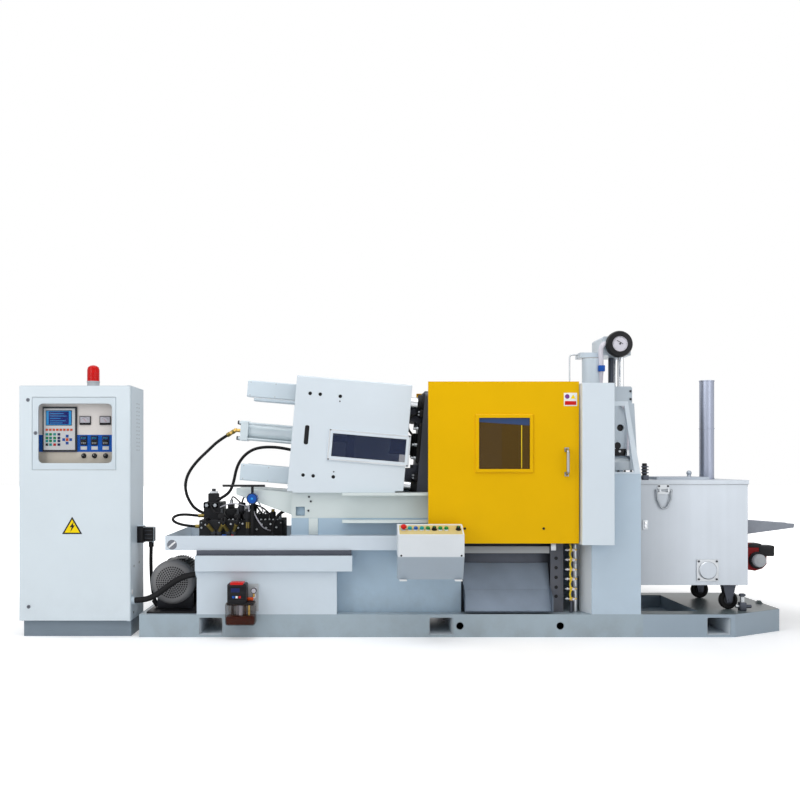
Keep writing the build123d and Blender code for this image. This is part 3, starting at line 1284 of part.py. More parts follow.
def caster_wheel(x, y):
    """Wheel with a bored hub and a bevelled tyre."""
    half = WHEEL_WIDTH / 2
    wheel = chamfer(rod_y(x, y - half, y + half, WHEEL_Z, WHEEL_RADIUS).edges().filter_by(GeomType.CIRCLE), 7)
    hub = rod_y(x, y - half - 1, y + half + 1, WHEEL_Z, 18)
    for side in (-1, 1):
        face = y + side * half
        recess = rod_y(x, min(face, face - side * 7), max(face, face - side * 7), WHEEL_Z, WHEEL_RADIUS - 18)
        wheel -= recess
    return wheel + hub - rod_y(x, y - WHEEL_WIDTH, y + WHEEL_WIDTH, WHEEL_Z, AXLE_RADIUS + PIN_CLEARANCE)


def burner():
    """Burner with its fan housing, on the furnace's right end."""
    x0 = FURNACE_RIGHT_X + SEAT / 3
    y0 = FURNACE_FRONT_Y + 140
    flange = block(x0, x0 + 14, y0, y0 + 160, 410, 570)
    profile = [(x0 + 10, 420), (x0 + 110, 400), (x0 + 190, 440), (x0 + 190, 560), (x0 + 60, 596),
               (x0 + 10, 580)]
    housing = plate_y(profile, y0 + 10, y0 + 140)
    housing = fillet(housing.edges().filter_by(Axis.Y), 12)
    motor = rod_y(x0 + 120, y0 - 50, y0 + 12, 475, 44)
    control = block(x0 + 150, x0 + 240, y0 + 25, y0 + 120, 500, 572)
    return flange + housing + motor + control


def feed_chute():
    """Tapered stainless trough for ingots, open on top."""
    x0 = FURNACE_RIGHT_X + SEAT / 3
    x1 = x0 + CHUTE_FEED_LENGTH
    y = FURNACE_MIDDLE_Y + CHUTE_FEED_OFFSET

    def section(x, half, z0, z1):
        return Plane(origin=(x, y, 0), x_dir=(0, 1, 0), z_dir=(1, 0, 0)) * make_face(
            Polyline((-half, z1), (-half * 0.8, z0), (half * 0.8, z0), (half, z1), close=True))

    outer = loft([section(x0, 120, 623, 746), section(x1, 70, 682, 712)])
    inner = loft([section(x0 - OVERCUT, 117, 627, 760), section(x1 + OVERCUT, 67, 686, 726)])
    return outer - inner


node("furnace_shell", furnace_shell() + furnace_top())
node("furnace_lid", furnace_lid())
node("chimney", chimney())
node("furnace_fittings", furnace_port(), bail_plate())
node("furnace_bail", furnace_bail())
node("caster_forks", *[caster_fork(x, y) for x in CASTER_X for y in CASTER_Y])
for number, (wheel_x, wheel_y) in enumerate([(x, y) for x in CASTER_X for y in CASTER_Y], start=1):
    node(f"caster_wheel_{number}", caster_wheel(wheel_x, wheel_y))
node("burner", burner())
node("feed_chute", feed_chute())


# Casting chute, water manifold and control box


def front_point(setback, z):
    """Point of a side profile, set back from the base's front."""
    return (BASE_FRONT_Y + setback, z)


def casting_chute():
    """Stainless chute under the die space, with a turned-out lip and side plates."""
    sheet = CHUTE_SHEET
    lip_z = CHUTE_LIP[1]
    corners = [CHUTE_TOP, CHUTE_BEND, CHUTE_LIP, (CHUTE_END, lip_z)]
    upper = [front_point(*corner) for corner in corners]
    lower = [(y + sheet, z - sheet) for y, z in upper]
    lower[0] = (upper[0][0] + sheet, upper[0][1])
    floor = make_face(Polyline(*upper, *lower[::-1], close=True))
    slope = extrude(Plane.YZ.offset(CHUTE_LEFT_X) * floor, amount=CHUTE_RIGHT_X - CHUTE_LEFT_X)
    edge = [front_point(CHUTE_BEND[0], CHUTE_BEND[1] + 30), front_point(CHUTE_END, lip_z + 95)]
    wall = make_face(Polyline(upper[0], *edge, *upper[:0:-1], close=True))
    left_wall = extrude(Plane.YZ.offset(CHUTE_LEFT_X - sheet) * wall, amount=sheet)
    right_wall = extrude(Plane.YZ.offset(CHUTE_RIGHT_X) * wall, amount=sheet)
    return slope + left_wall + right_wall


def die_space_bars():
    """Cross bars under the die space between pedestal and columns."""
    front = -BED_HALF_WIDTH
    bar = block(PEDESTAL_RIGHT_X + SEAT / 3, SIDE_PLATE_X, front, front + 30, 539, 588)
    side = block(SIDE_PLATE_X, SIDE_PLATE_X + 6, front, BED_HALF_WIDTH, BASE_HEIGHT, BEAM_BOTTOM_Z)
    facing = block(CHUTE_RIGHT_X + CHUTE_SHEET, FACING_RIGHT_X, front - 8, front + 1, BASE_HEIGHT, 612)
    for z in FACING_HOLES_Z:
        facing -= rod_y(SIDE_PLATE_X + 2, front - 20, front + 30, z, 12)
    return bar + mirror_y(bar) + side + facing


def water_manifold():
    """Upright cooling water manifold with six valves."""
    x = MANIFOLD_PIPE_X
    y = BASE_FRONT_Y + MANIFOLD_PIPE_SETBACK
    shape = rod_z(x, y, BASE_HEIGHT, MANIFOLD_VALVES_Z[0] + 38, 13)
    for z in MANIFOLD_VALVES_Z:
        shape += rod_x(x - 40, x + 40, y, z, 9)
        shape += rod_y(x, y - 34, y, z, 8)
        shape += block(x - 14, x + 14, y - 14, y + 14, z - 14, z + 14)
    return shape


def water_pipe():
    """Wide upright pipe beside the manifold."""
    return rod_z(DRAIN_PIPE_X, BASE_FRONT_Y + DRAIN_PIPE_SETBACK, BASE_HEIGHT, 600, 17)


def control_box():
    """Operator's control box with a sloping button face."""
    profile = [
        (BOX_BACK_Y, BOX_TOP_Z),
        (BOX_BACK_Y - BOX_FLAT_DEPTH, BOX_TOP_Z),
        (BOX_BACK_Y - BOX_DEPTH, BOX_TOP_Z - BOX_FACE_DROP),
        (BOX_BACK_Y - BOX_DEPTH, BOX_BOTTOM_Z + 150),
        (BOX_BACK_Y - BOX_DEPTH + 80, BOX_BOTTOM_Z),
        (BOX_BACK_Y, BOX_BOTTOM_Z),
    ]
    face = Plane.YZ.offset(BOX_LEFT_X) * make_face(Polyline(*profile, close=True))
    return extrude(face, amount=BOX_RIGHT_X - BOX_LEFT_X)


def box_arm():
    """Arm that carries the control box, passing under the door to a plate on the pedestal."""
    plate_y1 = -BED_HALF_WIDTH - SEAT / 3
    arm = block(BOX_RIGHT_X - 120, BOX_RIGHT_X - 60, BOX_BACK_Y - 1, plate_y1, 470, 530)
    return arm + block(BOX_RIGHT_X - 150, BOX_RIGHT_X - 30, plate_y1 - 12, plate_y1, 440, 560)


def control_buttons():
    """Row of push buttons and selectors standing on the sloping face."""
    run = BOX_DEPTH - BOX_FLAT_DEPTH
    slope = math.degrees(math.atan2(BOX_FACE_DROP, run))
    face_y = BOX_BACK_Y - BOX_FLAT_DEPTH - run / 2
    face_z = BOX_TOP_Z - BOX_FACE_DROP / 2
    shapes = []
    for index, x in enumerate(BUTTON_X):
        radius = 17.0 if index == 0 else 11.0
        height = 26.0 if index == 0 else 14.0
        collar = Pos(0, 0, SEAT + 3) * Cylinder(14, 6)
        cap = Pos(0, 0, SEAT + 3 + height / 2) * Cylinder(radius, height)
        shapes.append(Location((x, face_y, face_z), (slope, 0, 0)) * (collar + cap))
    return shapes


node("casting_chute", casting_chute())
node("die_space_frame", die_space_bars())
node("water_manifold", water_manifold(), water_pipe())
node("control_box", control_box() + box_arm())
node("control_buttons", *control_buttons())


# Pump motor, hydraulics and lubricator


def pump_motor():
    """Flanged motor with cooling fins and a fan cover."""
    body_y0 = MOTOR_FRONT_Y + COWL_LENGTH
    body_y1 = MOTOR_FRONT_Y + MOTOR_LENGTH
    cowl = rod_y(MOTOR_X, MOTOR_FRONT_Y, body_y0, MOTOR_Z, MOTOR_RADIUS)
    cowl = chamfer(cowl.edges().filter_by(GeomType.CIRCLE).group_by(Axis.Y)[0], 20)
    shape = cowl + rod_y(MOTOR_X, body_y0, body_y1, MOTOR_Z, MOTOR_RADIUS - 26)
    upright_fin = block(-3, 3, body_y0, body_y1 - 60, MOTOR_RADIUS - 40, MOTOR_RADIUS - 6)
    for index in range(FIN_COUNT):
        shape += Pos(MOTOR_X, 0, MOTOR_Z) * Rot(0, 360 / FIN_COUNT * index, 0) * upright_fin
    for y in (body_y0 + 60, body_y1 - 120):
        shape += block(MOTOR_X - 120, MOTOR_X + 120, y - 30, y + 30, BASE_HEIGHT + 11, MOTOR_Z - 90)
    return shape + hose_end(CABINET_CABLE[::-1], 40, CABLE_RADIUS + 6)


def motor_plate():
    """Black plate under the motor."""
    return block(BASE_LEFT_X + 40, TANK_LEFT_X - 10, BASE_FRONT_Y + 40, MOTOR_FRONT_Y + MOTOR_LENGTH + 130,
                 BASE_HEIGHT, BASE_HEIGHT + 12)


def valve_stack():
    """Directional valve with its solenoid, and the pressure valves beside it."""
    top = HYDRAULICS_TOP_Z
    stack = block(-1785, -1655, -150, 60, top - OVERCUT, VALVE_TOP_Z)
    stack += block(-1760, -1690, -110, -40, VALVE_TOP_Z - OVERCUT, VALVE_TOP_Z + 60)
    stack += rod_z(-1520, -140, top - OVERCUT, top + 56, 30)
    stack += rod_z(-1520, -140, top + 50, top + 116, 24)
    return stack + block(-1450, -1330, -210, 20, top - OVERCUT, top + 36)


def lever_valve():
    """Upright actuator with its cross lever, on the outlet block."""
    valve = rod_y(ACTUATOR_X, ACTUATOR_Y - 34, ACTUATOR_Y + 26, ACTUATOR_Z, ACTUATOR_RADIUS)
    valve += rod_z(ACTUATOR_X, ACTUATOR_Y, OUTLET_TOP_Z - 10, ACTUATOR_Z, 11)
    valve += rod_z(ACTUATOR_X, ACTUATOR_Y, ACTUATOR_Z + 25, LEVER_Z + 6, 9)
    return valve + rod_x(ACTUATOR_X - 197, ACTUATOR_X + 83, ACTUATOR_Y, LEVER_Z, 7)


def hydraulic_manifold():
    """Manifold block on the tray's floor with its valves, solenoid and hose fittings."""
    floor_z = TRAY_FLOOR_Z + TRAY_WALL
    body = block(HYDRAULICS_LEFT_X, HYDRAULICS_RIGHT_X, HYDRAULICS_FRONT_Y, HYDRAULICS_BACK_Y,
                 floor_z, HYDRAULICS_TOP_Z)
    shape = chamfer(body.edges().filter_by(Axis.Z), 6)
    shape += block(-1480, -1240, OUTLET_FRONT_Y, HYDRAULICS_FRONT_Y + OVERCUT, floor_z, OUTLET_TOP_Z)
    shape += valve_stack()
    shape += lever_valve()
    shape += hose_end(CLOSING_HOSE[::-1], 40, HOSE_RADIUS + 3)
    shape += hose_end(TAIL_HOSE[::-1], 34, HOSE_RADIUS + 3)
    return shape + hose_end(BED_HOSE[::-1], 26, HOSE_RADIUS + 3)


def lube_pump():
    """Lubricator: reservoir below its pump head, on a bracket."""
    back = BASE_FRONT_Y - SEAT / 3
    x0 = LUBE_LEFT_X
    middle_z = LUBE_BOTTOM_Z + LUBE_RESERVOIR_HEIGHT
    reservoir = block(x0, x0 + LUBE_WIDTH, back - LUBE_DEPTH + 10, back - 10, LUBE_BOTTOM_Z, middle_z)
    reservoir = fillet(reservoir.edges().filter_by(Axis.Z), 16)
    head = block(x0 + 15, x0 + 140, back - LUBE_DEPTH, back - 20, middle_z, middle_z + LUBE_HEAD_HEIGHT)
    head = chamfer(head.edges().filter_by(Axis.X).group_by(Axis.Z)[-1], 12)
    bracket = block(x0 + 6, x0 + LUBE_WIDTH + 12, back - 12, back, middle_z - 70, middle_z + 110)
    return reservoir + head + bracket


node("pump_motor", pump_motor() + motor_plate())
node("hydraulic_manifold", hydraulic_manifold())
node("lube_pump", lube_pump())


# Control cabinet


def hinge_lug(z0, z1, pin_z):
    """Lug above or below the door's end, with its pin."""
    lug = block(HINGE_X - 14, CABINET_RIGHT_X, CABINET_FRONT_Y,
                CABINET_FRONT_Y + CABINET_DOOR_THICKNESS + 2, z0, z1)
    return lug + rod_z(HINGE_X, HINGE_Y, min(z0, pin_z), max(z1, pin_z), HINGE_PIN_RADIUS)


def cabinet_body():
    """Sheet cabinet, open at the front, on a recessed plinth."""
    front = CABINET_FRONT_Y + CABINET_DOOR_THICKNESS + 1
    shell = block(CABINET_LEFT_X, CABINET_RIGHT_X, front, CABINET_BACK_Y, CABINET_BOTTOM_Z, CABINET_TOP_Z)
    wall = CABINET_WALL
    shell -= block(CABINET_LEFT_X + wall, CABINET_RIGHT_X - wall, front - 1, CABINET_BACK_Y - wall,
                   CABINET_BOTTOM_Z + wall, CABINET_TOP_Z - wall)
    upper_lug_z = CABINET_TOP_Z - DOOR_LUG
    lower_lug_z = CABINET_BOTTOM_Z + DOOR_LUG
    shell += hinge_lug(upper_lug_z, CABINET_TOP_Z, upper_lug_z - HINGE_PIN_LENGTH)
    shell += hinge_lug(CABINET_BOTTOM_Z, lower_lug_z, lower_lug_z + HINGE_PIN_LENGTH)
    low, high = CONNECTOR_Z
    connector = block(CABINET_RIGHT_X - 1, CABINET_RIGHT_X + 40, CONNECTOR_Y - 40, CONNECTOR_Y + 40, low, high)
    connector += block(CABINET_RIGHT_X + 30, CABINET_RIGHT_X + 112, CONNECTOR_Y - 32, CONNECTOR_Y + 32,
                       low + 10, high - 10)
    shell += connector + hose_end(CABINET_CABLE, 26, CABLE_RADIUS + 5)
    shell += hose_end(MOTOR_CONDUIT, 19, CONDUIT_RADIUS + 6)
    plinth = block(CABINET_LEFT_X + 16, CABINET_RIGHT_X - 4, front + 24, CABINET_BACK_Y - 10, 0, CABINET_BOTTOM_Z)
    return shell + plinth


def round_ended_panel(x0, hinge_x, hinge_y, thickness, z0, z1):
    """Upright panel whose hinged edge is a full round about the hinge axis."""
    panel = block(x0, hinge_x, hinge_y - thickness / 2, hinge_y + thickness / 2, z0, z1)
    return panel + rod_z(hinge_x, hinge_y, z0, z1, thickness / 2)


def cabinet_door():
    """Full front door with a framed opening for the operator window."""
    z0 = CABINET_BOTTOM_Z + DOOR_LUG + SEAT
    z1 = CABINET_TOP_Z - DOOR_LUG - SEAT
    door = round_ended_panel(CABINET_LEFT_X, HINGE_X, HINGE_Y, CABINET_DOOR_THICKNESS, z0, z1)
    opening = block(PANEL_WINDOW_LEFT_X, PANEL_WINDOW_LEFT_X + PANEL_WINDOW_WIDTH, CABINET_FRONT_Y - 1,
                    CABINET_FRONT_Y + CABINET_DOOR_THICKNESS + 1, PANEL_WINDOW_BOTTOM_Z, PANEL_WINDOW_TOP_Z)
    door -= opening
    reach = HINGE_PIN_LENGTH + 1
    for low, high in ((z0 - 1, z0 + reach), (z1 - reach, z1 + 1)):
        door -= rod_z(HINGE_X, HINGE_Y, low, high, HINGE_PIN_RADIUS + PIN_CLEARANCE)
    bore = PANEL_PIN_LENGTH + 1
    door -= rod_z(PANEL_HINGE_X, PANEL_HINGE_Y, PANEL_WINDOW_BOTTOM_Z - bore, PANEL_WINDOW_TOP_Z + bore,
                  PANEL_PIN_RADIUS + PIN_CLEARANCE)
    return door


def window_opening(margin, y0, y1):
    """Round-cornered opening of the operator window, drawn in by a margin."""
    x0 = PANEL_WINDOW_LEFT_X + 41 + margin
    x1 = PANEL_WINDOW_LEFT_X + PANEL_WINDOW_WIDTH - 28 - margin
    return rounded_plate_y(x0, x1, PANEL_WINDOW_BOTTOM_Z + 46 + margin, PANEL_WINDOW_TOP_Z - 43 - margin,
                           y0, y1, 30)


def operator_window():
    """Hinged frame over the operator panel, with a pin at each end of its hinged edge."""
    z0 = PANEL_WINDOW_BOTTOM_Z + PANEL_GAP
    z1 = PANEL_WINDOW_TOP_Z - PANEL_GAP
    frame = round_ended_panel(PANEL_WINDOW_LEFT_X + PANEL_GAP, PANEL_HINGE_X, PANEL_HINGE_Y,
                              PANEL_WINDOW_THICKNESS, z0, z1)
    frame -= window_opening(0, CABINET_FRONT_Y - 1, CABINET_FRONT_Y + CABINET_DOOR_THICKNESS)
    frame += rod_z(PANEL_HINGE_X, PANEL_HINGE_Y, z0 - PANEL_PIN_LENGTH, z0 + 1, PANEL_PIN_RADIUS)
    return frame + rod_z(PANEL_HINGE_X, PANEL_HINGE_Y, z1 - 1, z1 + PANEL_PIN_LENGTH, PANEL_PIN_RADIUS)


def operator_glass():
    """Pane in the operator window."""
    return window_opening(SEAT / 3, PANEL_HINGE_Y - 2, PANEL_HINGE_Y + 2)


def operator_panel():
    """Tray behind the window with display, meters, controllers and knobs."""
    x0 = PANEL_WINDOW_LEFT_X - PANEL_SHEET
    x1 = PANEL_WINDOW_LEFT_X + PANEL_WINDOW_WIDTH + PANEL_SHEET
    front = CABINET_FRONT_Y + CABINET_DOOR_THICKNESS
    back = front + PANEL_RECESS
    z0 = PANEL_WINDOW_BOTTOM_Z - PANEL_SHEET
    z1 = PANEL_WINDOW_TOP_Z + PANEL_SHEET
    tray = block(x0, x1, front, back, z0, z1)
    tray -= block(x0 + PANEL_SHEET, x1 - PANEL_SHEET, front - 1, back - PANEL_SHEET,
                  z0 + PANEL_SHEET, z1 - PANEL_SHEET)
    face = back - PANEL_SHEET + 1

    def across(share):
        return PANEL_WINDOW_LEFT_X + share * PANEL_WINDOW_WIDTH

    def device(share, z, size, depth):
        half_width, half_height = size[0] / 2, size[1] / 2
        x = across(share)
        return block(x - half_width, x + half_width, face - depth, face, z - half_height, z + half_height)

    display = block(across(DISPLAY_SHARES[0]), across(DISPLAY_SHARES[1]), face - 16, face, *DISPLAY_Z)
    tray += chamfer(display.edges().filter_by(Axis.Z).group_by(Axis.Y)[0], 3)
    for share in METER_SHARES:
        tray += device(share, METER_Z, METER_SIZE, 12)
    for share in CONTROLLER_SHARES:
        tray += device(share, CONTROLLER_Z, CONTROLLER_SIZE, 10)
        tray += rod_y(across(share), face - 24, face, KNOB_Z, KNOB_RADIUS)
    return tray


def beacon():
    """Signal lamp on the cabinet's roof: base below, dome above."""
    x = CABINET_LEFT_X + BEACON_SHARE * CABINET_WIDTH
    y = CABINET_FRONT_Y + BEACON_SETBACK
    dome_z = CABINET_TOP_Z + BEACON_BASE_HEIGHT
    base = rod_z(x, y, CABINET_TOP_Z, dome_z, BEACON_RADIUS)
    top = DOME_HEIGHT
    profile = Polyline((0, 0, 0), (DOME_RADIUS, 0, 0), (DOME_RADIUS, 0, top - 30),
                       (DOME_RADIUS - 8, 0, top - 10), (16, 0, top), (0, 0, top), close=True)
    return base + Pos(x, y, dome_z) * revolve(make_face(profile), Axis.Z)


node("cabinet_body", cabinet_body())
node("cabinet_door", cabinet_door())
node("operator_window", operator_window())
node("operator_glass", operator_glass())
node("operator_panel", operator_panel())
node("beacon", beacon())

hose("closing_hose", CLOSING_HOSE, HOSE_RADIUS)
hose("tail_hose", TAIL_HOSE, HOSE_RADIUS)
hose("bed_hose", BED_HOSE, HOSE_RADIUS)
hose("cabinet_cable", CABINET_CABLE, CABLE_RADIUS)
hose("motor_conduit", MOTOR_CONDUIT, CONDUIT_RADIUS)


os.makedirs("parts", exist_ok=True)
for name, shape in NODES.items():
    export_step(shape, f"parts/{name}.step")
print(len(NODES), "nodes written")
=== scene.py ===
"""Die casting machine: finishes, fittings and hoses over the CAD frame."""
import logging
import math
from dataclasses import dataclass, field
from enum import Enum
from itertools import product
from typing import Iterable, Sequence

import bmesh
import bpy
from mathutils import Matrix, Vector


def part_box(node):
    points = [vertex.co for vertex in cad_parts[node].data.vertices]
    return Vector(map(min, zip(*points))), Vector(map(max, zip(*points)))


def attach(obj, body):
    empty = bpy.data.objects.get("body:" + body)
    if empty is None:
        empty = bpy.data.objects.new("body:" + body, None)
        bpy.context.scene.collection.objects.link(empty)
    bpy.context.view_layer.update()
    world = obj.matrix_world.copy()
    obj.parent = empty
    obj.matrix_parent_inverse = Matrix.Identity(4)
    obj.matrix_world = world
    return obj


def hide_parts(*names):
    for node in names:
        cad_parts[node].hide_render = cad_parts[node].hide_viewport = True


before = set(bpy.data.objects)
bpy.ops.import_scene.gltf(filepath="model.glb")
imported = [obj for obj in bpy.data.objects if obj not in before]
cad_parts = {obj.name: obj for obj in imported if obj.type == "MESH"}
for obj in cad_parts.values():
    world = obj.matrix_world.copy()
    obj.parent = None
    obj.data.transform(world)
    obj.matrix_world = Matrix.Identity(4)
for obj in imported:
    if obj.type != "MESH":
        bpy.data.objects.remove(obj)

MM = 0.001
TILT = math.radians(5.0)
log = logging.getLogger("die_casting_machine")

Colour = tuple[float, float, float]
Point = tuple[float, float, float]
Node = bpy.types.Node
Tree = bpy.types.NodeTree
Socket = bpy.types.NodeSocket
Thing = bpy.types.Object
Feed = float | Sequence[float] | Socket

FRONT: Point = (0.0, -1.0, 0.0)
BACK: Point = (0.0, 1.0, 0.0)
RIGHT: Point = (1.0, 0.0, 0.0)
UP: Point = (0.0, 0.0, 1.0)
CLAMP_BACK: Point = (-math.cos(TILT), 0.0, math.sin(TILT))
CLAMP_ORIGIN = (-324.0, 1264.0)
COAT_ROUGHNESS = 0.22
POINT_RADIUS = 0.01
BEVEL_SHARE = 0.3
NODE_SPACING = (190, 160)
FULL_WHITE = (1.0, 1.0, 1.0, 1.0)
SMOOTH_ANGLE = math.radians(35)


def srgb(red: int, green: int, blue: int) -> Colour:
    """Linear colour of an 8-bit display colour.

    Args:
        red, green, blue: Its channels, 0 to 255.

    Returns:
        The linear colour.
    """
    def channel(value: int) -> float:
        """Linear value of one channel."""
        share = value / 255
        return share / 12.92 if share <= 0.04045 else ((share + 0.055) / 1.055) ** 2.4
    return channel(red), channel(green), channel(blue)


def opaque(colour: Colour) -> tuple[float, float, float, float]:
    """The colour with full alpha."""
    return (*colour, 1.0)


class Slot(Enum):
    """Material slots of the record."""

    BASE = "base_paint"
    WHITE = "machine_white"
    BED = "bed_paint"
    CABINET = "cabinet_paint"
    YELLOW = "safety_yellow"
    STEEL = "machined_steel"
    CASTING = "dark_casting"
    STAINLESS = "stainless"
    RUBBER = "black_rubber"
    GLASS = "clear_glass"
    RED = "signal_red"
    PLASTIC = "black_plastic"
    BURNER = "burner_red"


class Axis(Enum):
    """Directions that round shapes are turned about."""

    X = (1.0, 0.0, 0.0)
    Y = (0.0, 1.0, 0.0)
    Z = (0.0, 0.0, 1.0)


class Graph:
    """Small writer for node trees, shader or geometry."""

    def __init__(self, tree: Tree) -> None:
        """Args: tree: the node tree that is written to."""
        self.tree = tree
        self.column = 0

    def add(self, kind: str, inputs: dict | None = None, **settings: object) -> Node:
        """Adds one node.

        Args:
            kind: Blender's node type name.
            inputs: Input name or index to a constant or to a socket that feeds it.
            settings: Attributes set on the node itself.

        Returns:
            The new node.
        """
        node = self.tree.nodes.new(kind)
        across, down = NODE_SPACING
        node.location = (self.column * across, -(self.column % 4) * down)
        self.column += 1
        for name, value in settings.items():
            setattr(node, name, value)
        self.feed(node, inputs or {})
        return node

    def feed(self, node: Node, inputs: dict) -> None:
        """Gives a node's inputs their constants, or the sockets that feed them.

        Args:
            node: The node.
            inputs: Input name or index to a constant or a socket.
        """
        for name, value in inputs.items():
            if isinstance(value, Socket):
                self.tree.links.new(value, node.inputs[name])
            else:
                node.inputs[name].default_value = value

    def group(self, tree: Tree, inputs: dict | None = None) -> Node:
        """Adds a shared shader group with its inputs."""
        return self.add("ShaderNodeGroup", inputs, node_tree=tree)

    def place(self) -> Socket:
        """Object coordinates."""
        return self.add("ShaderNodeTexCoord").outputs["Object"]

    def seen(self) -> Socket:
        """One for rays that show a surface, straight, mirrored or through glass, and zero for the others.

        Returns:
            The mask.
        """
        path = self.add("ShaderNodeLightPath").outputs
        return self.math("MAXIMUM", path["Is Camera Ray"],
                         self.math("MAXIMUM", path["Is Glossy Ray"], path["Is Transmission Ray"]))

    def math(self, operation: str, *values: Feed, clamp: bool = False) -> Socket:
        """Result of one arithmetic step on constants or sockets."""
        kind = "ShaderNodeMath"
        return self.add(kind, dict(enumerate(values)), operation=operation, use_clamp=clamp).outputs[0]

    def mix(self, factor: Feed, first: Feed, second: Feed) -> Socket:
        """Colour mix of two colours or sockets."""
        node = self.add("ShaderNodeMix", {0: factor, 6: first, 7: second}, data_type="RGBA")
        return node.outputs[2]

    def span(self, value: Feed, low: float, high: float, to_low: float, to_high: float) -> Socket:
        """Value carried from one range to another, held at its ends."""
        node = self.add("ShaderNodeMapRange", {0: value, 1: low, 2: high, 3: to_low, 4: to_high})
        return node.outputs[0]


def new_group(name: str, inputs: Sequence[tuple[str, str, object]],
              outputs: Sequence[tuple[str, str]]) -> tuple[Tree, Graph, Node, Node]:
    """Starts a shader group.

    Args:
        name: Name of the group.
        inputs: Socket name, socket type and default of each input.
        outputs: Socket name and socket type of each output.

    Returns:
        The group, its writer, its input node and its output node.
    """
    group = bpy.data.node_groups.new(name, "ShaderNodeTree")
    for label, kind, default in inputs:
        socket = group.interface.new_socket(label, in_out="INPUT", socket_type=kind)
        if default is not None:
            socket.default_value = default
    for label, kind in outputs:
        group.interface.new_socket(label, in_out="OUTPUT", socket_type=kind)
    graph = Graph(group)
    return group, graph, graph.add("NodeGroupInput"), graph.add("NodeGroupOutput")


